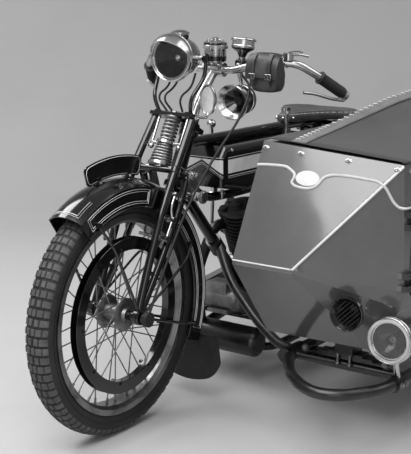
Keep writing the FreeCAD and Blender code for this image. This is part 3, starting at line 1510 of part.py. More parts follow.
def make_levers():
    """Inverted levers from the bar's ends and the small control levers."""
    shapes = []
    points = bar_points()
    for side, end, before in ((1, points[-1], points[-2]), (-1, points[0], points[1])):
        way = end - before
        way.normalize()
        tip = end + way * size("grip_cap + seat_gap")
        pivot = tip + way * 9
        pieces = [rod(tip, tip + way * 14, 12)]
        pieces.append(bent([pivot, pivot + V(2, -3 * side, -15), pivot + V(44, -24 * side, -8),
                            pivot + V(92, -50 * side, 8), pivot + V(122, -68 * side, 12)], 4.5))
        shapes.append(joined(pieces))
        seat = points[-3] if side > 0 else points[2]
        seat = seat + V(19, -20 * side, 4)
        pieces = [rod(seat + V(0, 0, 6), seat + V(0, 0, 22), 15)]
        pieces.append(bent([seat + V(0, 0, 18), seat + V(-22, side * 22, 22),
                            seat + V(-46, side * 38, 16)], 3.5))
        shapes.append(joined(pieces))
    whole = [minus(item, [nodes["handlebar"].Shape, nodes["grips"].Shape]) for item in shapes]
    feature("levers", Part.makeCompound([largest(item) for item in whole]))


# Lamps and fittings
def lamp_back():
    """Back of the headlamp on its own middle line."""
    return bar_clip() + V(size("lamp_ahead"), 0, size("lamp_rise"))


def make_headlamp():
    """Drum with a dished reflector, rim, round lid and vent."""
    length = size("lamp_length")
    radius = size("lamp_radius")
    centre = lamp_back()
    dish = [(length - 5, radius - 11), (70, radius - 18), (44, radius - 34), (26, 20), (22, 0)]
    outline = [(0, 0), (0, 20), (9, radius - 34), (26, radius - 18), (50, radius - 10), (84, radius - 8),
               (88, radius - 2), (92, radius), (length - 3, radius), (length, radius - 3),
               (length, radius - 6), (length - 5, radius - 6)] + dish
    pieces = [lathe(outline, centre, X_AXIS)]
    hinge = centre + V(length - 6, 0, 0)
    lid = Part.makeSphere(radius + 1.5, hinge).cut(Part.makeSphere(radius - 1.5, hinge))
    tilt = math.radians(size("lid_tilt"))
    wide = V(0, 2 * radius, 0)
    keep = slab([hinge - wide, hinge - wide + Z_AXIS * 2 * radius,
                 hinge - wide + V(math.cos(tilt), 0, math.sin(tilt)) * 3 * radius], wide * 2)
    pieces.append(largest(lid.common(keep)))
    vent = lathe([(radius - 22, 0), (radius - 22, 22), (radius - 2, 22), (radius - 2, 26), (radius + 3, 26),
                  (radius + 8, 15), (radius + 10, 0)], centre + V(58, 0, 0), Z_AXIS)
    hollow = lathe([(10, 0), (10, radius - 16), (74, radius - 16), (74, 0)], centre, X_AXIS)
    pieces.append(vent.cut(hollow))
    inner = lathe([(length - 5, 0)] + dish, centre, X_AXIS)
    shape = minus(joined(pieces), [inner])
    lugs = [rod(centre + V(48, side * (radius - 16), 0), centre + V(48, side * (radius + 8), 0), 8)
            for side in (-1, 1)]
    burner = rod(centre + V(20, 0, 0), centre + V(58, 0, 0), 7)
    bulb = Part.makeSphere(12, centre + V(62, 0, 0))
    feature("headlamp", joined([shape, burner, bulb] + lugs))


def make_lamp_glass():
    """Plate glass inside the headlamp's rim."""
    length = size("lamp_length")
    radius = size("lamp_radius - seat_gap") - 6
    outline = [(length - 5 + size("seat_gap"), 0), (length - 5 + size("seat_gap"), radius),
               (length - 2, radius), (length - 1, 0)]
    feature("headlamp_glass", lathe(outline, lamp_back(), X_AXIS))


def make_lamp_bracket():
    """Forked arms that carry the headlamp from the fork's bridge."""
    top = size("fork_top + seat_gap") + 6
    u = size("spring_reach") - 2
    centre = lamp_back() + V(48, 0, 0)
    wide = size("lamp_radius") + 14
    pieces = []
    for side in (-1, 1):
        foot = fork_to_machine(V(u, side * 52, top))
        high = centre + V(0, side * wide, 0)
        pieces.append(bent([foot, foot + V(16, side * 10, 46), high + V(0, 0, -50), high + V(0, 0, 10)], 5.5))
        pieces.append(Part.makeCylinder(13, 8, high + V(0, -4, 0), Y_AXIS))
        foot_plate = [fork_to_machine(V(u + du, side * dy, top))
                      for du, dy in ((-15, 42), (15, 42), (15, 62), (-15, 62))]
        pieces.append(slab(foot_plate, V(-SR * 5, 0, CR * 5)))
    pieces.append(rod(fork_to_machine(V(u, -52, top + 4)), fork_to_machine(V(u, 52, top + 4)), 4))
    shape = largest(minus(joined(pieces), [nodes["headlamp"].Shape, machine_shape("fork_girder")]))
    feature("fork_brackets", Part.makeCompound([shape] + make_guard_stays()))


def fork_to_machine(point):
    """A point of the fork's axes in machine axes."""
    return V(HEAD_FOOT + point.x * CR - point.z * SR, point.y, point.x * SR + point.z * CR)


def make_speedometer():
    """Round instrument that faces up, on its stalk from the bar."""
    clip = bar_clip()
    centre = clip + V(-36, 70, 50)
    axis = V(-0.14, 0, 0.99)
    drum = lathe([(-12, 0), (-12, 9), (0, 12), (8, 26), (13, 32), (34, 33), (34, 36), (40, 36), (42, 33),
                  (42, 29), (39, 29), (39, 0)], centre, axis)
    cup = lathe([(-40, 0), (-40, 14), (-36, 19), (-22, 18), (-12, 8), (-12, 0)], centre, axis)
    stalk = bent([centre + V(4, 0, -28), centre + V(24, 0, -38), clip + V(9, 76, 4)], 6)
    shape = joined([drum, cup, stalk])
    feature("speedometer", largest(minus(shape, [nodes["handlebar"].Shape])))


def make_drum():
    """Ribbed switch drum on the handlebar's clip."""
    foot = bar_clip() + V(-6, -4, 18 + size("seat_gap"))
    outline = [(-8, 0), (-8, 15), (3, 22), (5, 31)]
    for index in range(4):
        low = 8 + index * 8
        outline += [(low, 31), (low + 1, 32.5), (low + 5, 32.5), (low + 6, 31)]
    outline += [(41, 31), (42, 35), (52, 35), (54, 33), (60, 33), (64, 27), (66, 12), (66, 0)]
    drum = lathe(outline, foot, Z_AXIS)
    feature("switch_drum", largest(minus(drum, [nodes["handlebar"].Shape, nodes["speedometer"].Shape])))


def make_horn():
    """Round horn under the left bar: flared mouth, barrel and domed back."""
    clip = bar_clip()
    mouth = clip + V(41, 92, -83)
    bell = lathe([(5, 46), (8, 50), (3, 51), (-2, 45), (-14, 34), (-26, 27), (-30, 27), (-31, 38), (-58, 40),
                  (-64, 36), (-66, 24), (-84, 22), (-88, 16), (-88, 0), (-30, 0), (-24, 14), (-12, 28),
                  (-2, 38)], mouth, V(0.99, 0, -0.1))
    strap = bent([mouth + V(-45, 0, 30), mouth + V(-43, -4, 58), clip + V(7, 84, 6)], 6)
    feature("horn", largest(minus(joined([bell, strap]), [nodes["handlebar"].Shape])))


def make_mirror():
    """Oval mirror on a stalk from the fork's bridge."""
    centre = bar_clip() + V(100, 50, -75)
    plate = Part.Ellipse(centre, 42, 25).toShape()
    face = Part.Face(Part.Wire(plate))
    face.rotate(centre, Y_AXIS, 90)
    oval = face.extrude(V(8, 0, 0))
    stalk = bent([centre + V(4, 0, -34), centre + V(10, 0, -48),
                  fork_to_machine(V(size("spring_reach") - 16, 56, size("fork_top") + 8))], 4.5)
    shape = joined([oval, stalk])
    feature("mirror", largest(minus(shape, [machine_shape("fork_girder"), nodes["fork_brackets"].Shape])))


def make_pouch():
    """Leather bag hung in front of the left bar."""
    clip = bar_clip()
    box = block(clip.x + 2, clip.x + 66, 146, 252, clip.z - 50, clip.z + 58)
    box = box.makeFillet(12, box.Edges)
    feature("pouch", largest(minus(box, [nodes["handlebar"].Shape, nodes["speedometer"].Shape])))


def make_front_brake():
    """Bell crank and shoe of the ring brake, on the left blade."""
    half = size("blade_half")
    y = half + 18
    shoe = size("belt_ring_radius") + 6
    pivot = V(80, y, 603)
    low = fork_point(*ring_point("front", shoe + 5, 118, 0))
    pieces = [rod(V(80, half, 603), V(80, y + 8, 603), 6), rod(V(80, y + 3, 603), V(80, y + 9, 603), 9)]
    pieces.append(rod(pivot, V(low.x, y, low.z), 4))
    pieces.append(bent([pivot, pivot + V(22, 0, 26), pivot + V(20, 0, 66)], 4))
    pieces.append(rod(V(pivot.x + 20, y - 6, 669), V(pivot.x + 20, y + 6, 669), 7))
    pieces.append(rod(V(low.x, y - 6, low.z), V(low.x, y + 6, low.z), 8))
    pieces.append(rod(V(low.x, size("belt_ring_offset") + 2, low.z), V(low.x, y, low.z), 4.5))
    centre = V(size("wheelbase"), size("belt_ring_offset + belt_ring_width / 2"), size("tyre_radius"))
    pieces.append(fork_shape(band(shoe, shoe + 9, 108, 128, size("belt_ring_width") / 2 - 2, centre)))
    girder = nodes["fork_girder"].Shape.copy()
    girder.Placement = FreeCAD.Placement()
    feature("front_brake", largest(minus(joined(pieces), [girder])), fork=True)


def make_cables():
    """Speedometer drive and the looping control cables, held along their routes."""
    half = size("blade_half")
    clip = bar_clip()
    wheel = V(size("wheelbase"), 0, size("tyre_radius"))
    start = clip + V(-32, 70, 5)
    drive = bent([start, start + V(4, 4, -16), clip + V(30, 146, -40), clip + V(90, 148, -118),
                  V(1170, 124, 712), V(1268, 112, 590), V(1352, 108, 450), wheel + V(-6, 107, 14)], 3.5)
    head = rod(wheel + V(0, half + 30.3, 0), wheel + V(0, half + 44, 0), 20)
    lamp = lamp_back()
    bridge = fork_to_machine(V(size("spring_reach"), 0, size("fork_top") + 6))
    loops = []
    for y, out in ((-46, 8), (-14, 26), (34, 14)):
        loops.append(bent([lamp + V(30, y, -44), lamp + V(30 + out, y - 4, -84),
                           bridge + V(-12 + out, y - 20, 46), bridge + V(-14, y * 0.6, -4)], 3))
    girder = machine_shape("fork_girder")
    cutters = [nodes[name].Shape for name in ("speedometer", "handlebar", "headlamp", "fork_brackets",
                                              "mirror", "horn", "pouch")] + [girder]
    cutters.append(machine_shape("front_brake"))
    cutters.append(machine_shape("fork_links"))
    shapes = [largest(minus(joined([drive, head]), cutters))]
    shapes += [largest(minus(item, cutters)) for item in loops]
    feature("cables", Part.makeCompound(shapes))


# Sidecar body
def station(kind, inset):
    """Closed section of the sidecar body, as corners from the inner foot round to the top."""
    inner = size("body_inner") + inset
    wall = inset
    if kind == "nose":
        x = size("nose_reach") - inset * 1.6
        y1 = size("body_inner + nose_width") - inset
        z = size("nose_height")
        lift = 6
        rows = [(x, inner, z - lift), (x, y1 - 6, z - lift), (x, y1, z - lift / 2.0), (x, y1, z + lift / 2.0),
                (x, y1 - 6, z + lift), (x, inner, z + lift)]
        if inset:
            x = size("nose_reach") - 40
            rows = [(x, inner, z - 30), (x, y1 - 10, z - 30), (x, y1, z - 16), (x, y1, z + 30),
                    (x, y1 - 10, z + 44), (x, inner, z + 46)]
        return [V(*row) for row in rows]
    if kind == "scuttle":
        low = size("belly_height") + wall
        high = size("scuttle_height") - wall
        out = size("hinge_line") - wall
        lean = (size("scuttle_reach") - 45)
        slope = 45.0 / (size("scuttle_height") - size("belly_height"))
        rows = [(inner, low), (out - 96, low + 6), (out - 8, low + 134), (out, low + 180),
                (out - 4, high - 26), (inner, high)]
        return [V(lean + (z - size("belly_height")) * slope - wall, y, z) for y, z in rows]
    if kind == "mid":
        x = size("body_mid")
        low = size("belly_height") - 26 + wall
        high = size("scuttle_height") - wall
        out = size("body_inner + body_width") - wall
    elif kind == "back":
        x = size("body_back")
        low = size("belly_height") - 16 + wall
        high = size("scuttle_height") - wall
        out = size("body_inner + body_width") - 30 - wall
    else:
        x = size("body_tail") + wall * 2
        mid = size("body_inner") + size("body_width") * 0.46
        low = size("belly_height") + 130 + wall
        high = size("scuttle_height") - 150 - wall
        half = 44 - wall
        return [V(x, mid - half, low), V(x, mid + half * 0.6, low), V(x, mid + half, low + 24),
                V(x, mid + half, low + 60), V(x, mid + half * 0.9, high), V(x, mid - half, high)]
    return [V(x, inner, low), V(x, out - 110, low), V(x, out - 12, low + 104), V(x, out, low + 160),
            V(x, out - 6, high - 20), V(x, inner, high)]


def hull(inset):
    """Faceted boat of flat and lightly twisted panels through its stations."""
    wires = [Part.makePolygon(points + [points[0]]) for points in
             [station(kind, inset) for kind in ("nose", "scuttle", "mid", "back", "tail")]]
    pieces = []
    for first, last in zip(wires[:-1], wires[1:]):
        pieces.append(Part.makeLoft([first, last], True, True))
    return joined(pieces)


def door_prism(grow):
    """Space of the door, with its lower front corner rounded."""
    front = size("door_front") + grow
    back = size("door_back") - grow
    low = size("door_foot") - grow
    high = size("door_head") + grow
    y0 = size("hinge_line") - 40
    box = block(back, front, y0, y0 + 220, low, high)
    edges = [e for e in box.Edges if abs(e.Vertexes[0].Point.z - low) < 0.01
             and abs(e.Vertexes[-1].Point.z - low) < 0.01
             and abs(e.Vertexes[0].Point.y - e.Vertexes[-1].Point.y) > 1]
    return box.makeFillet(34 + grow, edges)


def deck_edge(x):
    """The deck's outer edge at a distance along the body."""
    rows = [station(kind, 0)[4] for kind in ("scuttle", "mid", "back")]
    for ahead, behind in zip(rows[:-1], rows[1:]):
        if x >= behind.x:
            break
    return ahead + (behind - ahead) * ((x - ahead.x) / (behind.x - ahead.x))


def cockpit_space():
    """What the cockpit's mouth takes out of the deck."""
    inner = size("body_inner + deck_margin")
    margin = size("deck_margin")
    front = size("scuttle_reach - scuttle_depth")
    back = size("body_back + 40")
    low = size("scuttle_height") - 60
    plan = [V(back, inner, low), V(front, inner, low)]
    for x in (front, size("body_mid"), back):
        plan.append(V(x, deck_edge(x).y - margin, low))
    return slab(plan, V(0, 0, 200))


def make_sidecar():
    """Skin of the tub without its door, and the door."""
    wall = size("body_wall")
    outer = hull(0)
    inner = hull(wall)
    skin = outer.cut(inner)
    gap = size("door_gap")
    shell = skin.cut(cockpit_space())
    door = shell.common(door_prism(0))
    tub = minus(shell, [door_prism(gap)])
    tub = largest(tub)
    return tub, largest(door)


def hinge_parts():
    """Knuckles and pins outside the skin at the door's front edge."""
    x = size("door_front") + size("door_gap") / 2.0
    y = size("hinge_line") + 13
    body_side = []
    door_side = []
    for z in (size("door_foot + hinge_low"), size("door_foot + hinge_high")):
        body_side.append(rod(V(x, y, z - 24), V(x, y, z + 24), 3.2))
        for low, high in ((-24, -9), (9, 24)):
            body_side.append(rod(V(x, y, z + low), V(x, y, z + high), 7))
            body_side.append(block(x - 2, x + 34, y - 34, y + 1, z + low, z + high))
        door_side.append(rod(V(x, y, z - 8.5), V(x, y, z + 8.5), 7))
        door_side.append(block(x - 40, x + 2, y - 30, y + 3, z - 8.5, z + 8.5))
    return body_side, door_side


def make_sidecar_shell():
    """Hollow tub and its hinged door, cut from one skin, with their hinges."""
    tub, door = make_sidecar()
    body_side, door_side = hinge_parts()
    inside = hull(size("body_wall"))
    x = size("door_front + door_gap / 2")
    y = size("hinge_line") + 13
    clear = rod(V(x, y, size("door_foot")), V(x, y, size("door_head")), 7.8)
    fixed = [item.cut(inside) for item in body_side[1:]]
    swing = [item.cut(inside) for item in door_side]
    tub = joined([tub.cut(clear)] + body_side[:1] + fixed)
    bore = size("bore_gap")
    door = joined([door.cut(clear)] + swing)
    pins = [rod(V(item.BoundBox.Center.x, item.BoundBox.Center.y, item.BoundBox.ZMin - 1),
                V(item.BoundBox.Center.x, item.BoundBox.Center.y, item.BoundBox.ZMax + 1), 3.2 + bore)
            for item in door_side if item.BoundBox.XLength < 16]
    door = minus(door, pins)
    feature("sidecar_body", largest(tub))
    feature("sidecar_door", largest(door))


def make_seat():
    """Cushion and squab inside the tub, standing on its floor."""
    room = hull(size("body_wall + seat_gap"))
    inner = size("body_inner")
    out = size("body_inner + body_width - body_wall") - 70
    low = size("belly_height")
    cushion = block(210, 620, inner, out, low - 60, low + 150)
    rims = [edge for edge in cushion.Edges if edge.BoundBox.ZMin > low + 100 and edge.Length > 300]
    cushion = cushion.makeFillet(26, rims)
    squab = slab([V(209, inner, low - 60), V(209, inner, low + 150), V(178, inner, low + 470),
                  V(130, inner, low + 470), V(130, inner, low - 60)], V(0, out - inner, 0))
    feature("sidecar_seat", Part.makeCompound([single(cushion.common(room)), single(squab.common(room))]))


def make_cover():
    """Canvas cover on the cockpit's rim, raised along its laced ridge towards the seat's back."""
    thick = size("cover_thick")
    ridge = size("body_inner + cover_ridge")
    peak = size("cover_peak")
    top = size("scuttle_height")
    near = [station(kind, 0)[5] for kind in ("scuttle", "mid", "back")]
    front = near[0].x
    rows = [(front, 0.0), (size("body_mid"), (peak - top) * 0.72), (size("cover_peak_reach"), peak - top),
            (size("body_back + 8"), 0.0)]
    wires = []
    for x, rise in rows:
        q = deck_edge(x)
        slope = (q.z - top) / (q.y - size("body_inner"))
        lift = size("seat_gap")
        a = V(x, size("body_inner") + 4, top + slope * 4 + lift)
        c = V(x, q.y - 4, q.z - slope * 4 + lift)
        b = V(x, ridge, top + slope * (ridge - size("body_inner")) + lift + rise)
        up = V(0, 0, thick)
        wires.append(Part.makePolygon([a, b, c, c + up, b + up, a + up, a]))
    pieces = [Part.makeLoft([first, last], True, True) for first, last in zip(wires[:-1], wires[1:])]
    feature("sidecar_cover", single(minus(joined(pieces), [nodes["sidecar_body"].Shape])))


def make_side_lamp():
    """Nickel sidelamp at the body's outer front corner and the horn beside it."""
    centre = V(1196, 700, 330)
    shell = lathe([(-70, 0), (-70, 14), (-62, 30), (-40, 44), (-8, 50), (0, 58), (8, 60), (12, 56), (12, 50),
                   (6, 50), (6, 46), (-20, 38), (-44, 20), (-50, 0)], centre, X_AXIS)
    glass = lathe([(6.3, 0), (6.3, 49.7), (9, 49.7), (9.8, 0)], centre, X_AXIS)
    post = bent([centre + V(-36, 0, -38), centre + V(-40, 0, -80), centre + V(-60, -4, -112)], 8)
    feature("side_lamp", minus(joined([shell, post]), [nodes["sidecar_chassis"].Shape]))
    feature("side_lamp_glass", glass)


def make_side_horn():
    """Black trumpet low on the nose, bell ahead."""
    mouth = V(1246, 600, 392)
    bell = lathe([(2, 40), (6, 43), (0, 45), (-10, 38), (-30, 26), (-60, 17), (-92, 13), (-128, 13),
                  (-128, 0), (-92, 0), (-60, 8), (-30, 18), (-10, 30)], mouth, V(0.94, 0.1, 0.02))
    shape = minus(bell, [hull(0)])
    feature("side_horn", largest(shape))


# Sidecar chassis
def make_chassis():
    """Tubular chassis with its looped front, cross tubes and the wheel's axle."""
    z = size("chassis_height")
    radius = size("chassis_tube")
    inner = size("chassis_inner")
    outer = size("chassis_outer")
    wx = size("side_wheel_lead")
    wy = size("side_wheel_track")
    hub = size("tyre_radius")
    loop = [V(-250, inner, z), V(1090, inner, z), V(1226, inner + 82, z), V(1296, 504, z),
            V(1322, 566, z), V(1296, 626, z), V(1190, outer, z), V(-250, outer, z)]
    pieces = [bent(loop, radius)]
    for x in (1076, wx, -228):
        pieces.append(rod(V(x, inner, z), V(x, outer, z), radius - 2))
    half = size("hub_half")
    pieces.append(bent([V(wx, outer - 20, z), V(wx, outer + 120, z + 2), V(wx, wy - half - 70, hub - 30),
                        V(wx, wy - half - 24, hub)], radius - 1, 60))
    pieces.append(rod(V(wx, wy - half - 30, hub), V(wx, wy + half + 30, hub), size("axle_radius")))
    pieces.append(rod(V(wx, wy - half - 46, hub), V(wx, wy - half - 0.3, hub), 15))
    pieces.append(rod(V(wx, wy + half + 0.3, hub), V(wx, wy + half + 16, hub), 13))
    for x, y in ((1090, inner), (1128, outer), (wx, inner), (wx, outer), (-228, inner), (-228, outer)):
        pieces.append(rod(V(x - 20, y, z), V(x + 20, y, z), radius + 5))
    feature("sidecar_chassis", largest(joined(pieces)))


def make_connections():
    """Swan neck, lower stay and seat strut that clamp the sidecar to the frame."""
    z = size("chassis_height")
    inner = size("chassis_inner")
    a, b = down_tube_axis()
    way = b - a
    way.normalize()
    clamp = a + (b - a) * 0.62
    neck = bent([clamp + V(0, 12, 0), clamp + V(34, 74, -92), V(1012, 200, z + 44), V(1040, 286, z + 4),
                 V(1046, inner, z)], 14)
    pieces = [neck, rod(clamp - way * 26, clamp + way * 26, size("down_tube") + 6)]
    pieces.append(rod(V(1022, inner, z), V(1070, inner, z), size("chassis_tube") + 6))
    cutters = [machine_node("frame_front"), machine_node("sidecar_chassis"), machine_node("magneto")]
    neck = largest(minus(joined(pieces), cutters))
    seat_top, seat_foot = seat_tube_axis()
    at = seat_top + (seat_foot - seat_top) * 0.16
    way = seat_foot - seat_top
    way.normalize()
    strut = bent([at + V(0, 8, 0), at + V(-30, 150, -130), V(300, 262, z + 120), V(292, inner, z)], 12)
    pieces = [strut, rod(at - way * 22, at + way * 22, size("main_tube") + 7),
              rod(V(268, inner, z), V(316, inner, z), size("chassis_tube") + 6)]
    low = [V(8, size("stay_half") + 30, size("tyre_radius") + 4), V(36, 204, 262), V(-20, inner - 30, z + 8),
           V(-60, inner, z)]
    cutters = [machine_node(name) for name in
               ("frame_rails", "frame_rear", "sidecar_chassis", "carrier", "tool_boxes", "tank", "saddle",
                "saddle_frame", "sidecar_body", "rear_stand")]
    strut = largest(minus(joined(pieces), cutters))
    foot = rod(V(-84, inner, z), V(-36, inner, z), size("chassis_tube") + 6)
    rear = joined([bent(low, 12), foot])
    rear = largest(minus(rear, [machine_node("frame_rear"), machine_node("carrier"),
                                machine_node("sidecar_chassis"), machine_node("rear_stand")]))
    feature("connections", Part.makeCompound([neck, strut, rear] + make_side_guard_stays()))


def machine_node(label):
    """A root sub-part's shape before the datum moves it."""
    shape = nodes[label].Shape.copy()
    shape.Placement = FreeCAD.Placement(nodes[label].Placement)
    return shape


def make_body_mounts():
    """Leaf spring across the front and scroll springs at the back, under the body."""
    z = size("chassis_height")
    inner = size("chassis_inner")
    outer = size("chassis_outer")
    tube = size("chassis_tube")
    x = 1066.0
    pieces = []
    scrolls = []
    bars = [rod(V(bx, inner, z), V(bx, outer, z), 12) for bx in (-60, 40)]
    mid = (inner + outer) / 2.0
    for index in range(3):
        half = 112 - index * 30
        low = z + tube + 3 + index * 6
        pieces.append(block(x - 22, x + 22, mid - half, mid + half, low, low + 6.1))
    for side in (-1, 1):
        y = mid + side * 120
        pieces.append(Part.makeCylinder(12, 44, V(x - 22, y, z + tube + 12), X_AXIS))
        pieces.append(block(x - 16, x + 16, y - 7, y + 7, z + 4, z + tube + 8))
    pieces.append(block(x - 30, x + 30, mid - 26, mid + 26, z + tube + 16, size("belly_height") + 6))
    for side in (inner + 30, outer - 60):
        for bx in (-60, 40):
            scrolls.append(Part.makeCylinder(24, 40, V(bx, side - 20, z + 26), Y_AXIS))
            scrolls.append(block(bx - 9, bx + 9, side - 18, side + 18, z - 4, z + 30))
            scrolls.append(block(bx - 26, bx + 26, side - 20, side + 20, z + 44, z + 70))
    cutters = [machine_node(name) for name in ("sidecar_body", "sidecar_chassis", "connections")]
    front = minus(joined(pieces + scrolls[:2]), cutters)
    back = minus(joined(scrolls[2:] + bars), cutters)
    feature("body_springs", Part.makeCompound(front.Solids + back.Solids))


def make_side_guard_stays():
    """Stays from the sidecar chassis to its wheel's guard."""
    pieces = []
    cx = size(wheel_centre("side")[0])
    edge = -size("guard_half") - size("seat_gap")
    inner = size("guard_radius") - 28
    for angle in (42, 92, 140):
        tip = ring_point("side", inner, angle, edge)
        out = ring_point("side", inner, angle, edge - 8)
        pieces.append(rod(tip, out, 9))
        foot = V(cx + (angle < 80) * 60 - (angle > 100) * 60, size("chassis_outer"), size("chassis_height"))
        pieces.append(bent([out + V(0, 2, 0), out + V(0, -16, -30), foot + V(0, 60, 60), foot], 6.5))
    cutters = [machine_node("sidecar_chassis"), machine_node("sidecar_body")]
    return minus(joined(pieces), cutters).Solids


def finish():
    """Stands everything at the datum, checks each object and writes the STEP files."""
    doc.recompute()
    box = FreeCAD.BoundBox()
    for obj in nodes.values():
        box.add(obj.Shape.optimalBoundingBox(False))
    row = {item[0]: index for index, item in enumerate(SIZES, start=1)}
    sheet.set("A%d" % row["datum_x"], "%.3f" % (-(box.XMin + box.XMax) / 2.0))
    sheet.set("A%d" % row["datum_y"], "%.3f" % (-(box.YMin + box.YMax) / 2.0))
    doc.recompute()
    for obj in doc.Objects:
        if "Invalid" in obj.State or "Error" in obj.State:
            raise RuntimeError("%s did not recompute: %s" % (obj.Name, obj.State))
    os.makedirs("parts", exist_ok=True)
    for label, obj in nodes.items():
        shape = obj.Shape
        if shape.isNull() or not shape.isValid():
            raise RuntimeError("%s has no valid shape" % label)
        shape.exportStep("parts/%s.step" % label)
        print("%-20s solids %d volume %.0f faces %d" % (label, len(shape.Solids), shape.Volume,
                                                        len(shape.Faces)))
    print("datum", size("datum_x"), size("datum_y"))


def main():
    """Builds every sub-part in order, then writes them."""
    for which in ("front", "rear", "side"):
        make_tyre(which)
        make_rim(which)
        make_spokes(which)
    make_frame_front()
    make_frame_rails()
    make_frame_rear()
    make_tank()
    make_tank_fittings()
    make_saddle()
    make_saddle_frame()
    make_crankcase()
    make_cylinders()
    make_timing_case()
    make_magneto()
    make_carburettor()
    make_exhaust()
    make_gearbox()
    make_chaincase()
    make_footboards()
    make_gear_lever()
    make_guard("front", "valance_drop")
    make_guard("rear", "guard_lip")
    make_guard("side", "guard_lip")
    make_plate()
    make_flap()
    make_carrier()
    make_tool_boxes()
    make_rear_stand()
    make_fork_girder()
    make_fork_links()
    make_fork_spring()
    make_handlebar()
    make_grips()
    make_headlamp()
    make_lamp_glass()
    make_lamp_bracket()
    make_speedometer()
    make_drum()
    make_horn()
    make_levers()
    make_mirror()
    make_pouch()
    make_front_brake()
    make_cables()
    make_chassis()
    make_sidecar_shell()
    make_seat()
    make_cover()
    make_side_lamp()
    make_side_horn()
    make_connections()
    make_body_mounts()
    finish()


main()
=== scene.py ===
"""Veteran V-twin motorcycle with a faceted passenger sidecar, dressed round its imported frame.

The outfit's frame is +X ahead, +Y to the rider's left and +Z up, in metres.  The builders below
place things in machine millimetres, counted from the rear axle's foot on the floor, and one
function turns those into the frame.
"""
import logging
import math
from dataclasses import dataclass
from enum import Enum
from typing import Optional, Sequence

import bmesh
import bpy
from mathutils import Matrix, Vector
from mathutils.bvhtree import BVHTree


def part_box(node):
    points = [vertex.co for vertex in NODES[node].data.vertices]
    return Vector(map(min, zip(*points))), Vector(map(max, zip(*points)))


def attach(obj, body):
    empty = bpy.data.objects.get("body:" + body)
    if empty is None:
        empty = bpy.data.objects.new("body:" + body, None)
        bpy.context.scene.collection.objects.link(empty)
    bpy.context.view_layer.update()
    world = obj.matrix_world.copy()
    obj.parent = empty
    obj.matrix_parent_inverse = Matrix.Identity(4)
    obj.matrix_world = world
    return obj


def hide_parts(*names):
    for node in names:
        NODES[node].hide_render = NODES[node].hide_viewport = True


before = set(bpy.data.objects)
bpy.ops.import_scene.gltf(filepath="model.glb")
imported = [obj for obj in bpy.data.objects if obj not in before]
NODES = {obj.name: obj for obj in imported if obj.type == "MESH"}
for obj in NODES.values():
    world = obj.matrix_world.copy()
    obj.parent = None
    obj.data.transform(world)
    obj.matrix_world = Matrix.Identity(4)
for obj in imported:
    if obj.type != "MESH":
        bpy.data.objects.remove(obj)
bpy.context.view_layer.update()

Spot = tuple[float, float, float]
Line = tuple[Spot, Spot]
log = logging.getLogger("sidecar_outfit")


def axle_of(tyre: str) -> Vector:
    """Middle of a wheel in the frame, from its tyre's box."""
    low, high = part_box(tyre)
    return (Vector(low) + Vector(high)) / 2.0


REAR_AXLE = axle_of("tyre_rear")
FRONT_AXLE = axle_of("tyre_front")
SIDE_AXLE = axle_of("tyre_side")
DATUM = Vector((REAR_AXLE.x, REAR_AXLE.y, 0.0))
AHEAD = Vector((1, 0, 0))
LEFT = Vector((0, 1, 0))
UP = Vector((0, 0, 1))
SIDES = (-1.0, 1.0)
# The steering axis: its rake and where it meets the floor, ahead of the rear axle.
RAKE = math.radians(27.0)
HEAD_FOOT = 1490.0
# Middle of the handlebar's clip, and the hinge line of the sidecar's door.
CLIP = Vector((964.5, 0.0, 951.5))
DOOR_HINGE = (1114.5, 715.0)


def at(x: float, y: float, z: float) -> Vector:
    """Machine millimetres as a point of the frame."""
    return DATUM + Vector((x, y, z)) / 1000.0


def clip_at(x: float, y: float, z: float) -> Vector:
    """Point counted from the middle of the handlebar's clip, in millimetres."""
    return at(CLIP.x + x, CLIP.y + y, CLIP.z + z)


def fork(u: float, v: float, w: float) -> Vector:
    """Fork millimetres (ahead of the steering axis, left, up along it) as a point of the frame."""
    return at(HEAD_FOOT + u * math.cos(RAKE) - w * math.sin(RAKE), v,
              u * math.sin(RAKE) + w * math.cos(RAKE))


FORK_UP = fork(0, 0, 1000) - fork(0, 0, 0)


def turns(count: int) -> list[float]:
    """Angles that share a full turn."""
    return [2.0 * math.pi * index / count for index in range(count)]


def loop_of(centre: Vector, first: Vector, second: Vector, count: int) -> list[Vector]:
    """Points of a circle or an ellipse, from its middle and the half axis that it starts on."""
    return [centre + first * math.cos(turn) + second * math.sin(turn) for turn in turns(count)]


def round_axle(centre: Vector, radius: float, angle: float, across: float) -> Vector:
    """Point round an axle: angle in radians upwards from ahead, across to the left, sizes in mm."""
    return centre + Vector((radius * math.cos(angle), across, radius * math.sin(angle))) / 1000.0


def linear(code: str) -> tuple[float, float, float, float]:
    """Turns an sRGB hex code to linear light.

    Args:
        code: six hex digits after a hash.

    Returns:
        Red, green, blue and a full alpha.
    """
    parts = [int(code[place:place + 2], 16) / 255.0 for place in (1, 3, 5)]
    light = [part / 12.92 if part <= 0.04045 else ((part + 0.055) / 1.055) ** 2.4 for part in parts]
    return (light[0], light[1], light[2], 1.0)


def per(size_mm: float) -> float:
    """Texture scale that repeats once in a real size, on coordinates in metres."""
    return 1000.0 / size_mm


def add(tree: bpy.types.NodeTree, kind: str, settings: Optional[dict] = None,
        links: Optional[dict] = None) -> bpy.types.Node:
    """Adds one shader node.

    Args:
        tree: node tree it goes in.
        kind: Blender's name of the node's type.
        settings: properties by name, and input values by name or place.
        links: sockets that feed its inputs, by name or place.

    Returns:
        The node.
    """
    node = tree.nodes.new(kind)
    for key, value in (settings or {}).items():
        if isinstance(key, int) or key in node.inputs:
            node.inputs[key].default_value = value
        else:
            setattr(node, key, value)
    for key, socket in (links or {}).items():
        tree.links.new(socket, node.inputs[key])
    return node


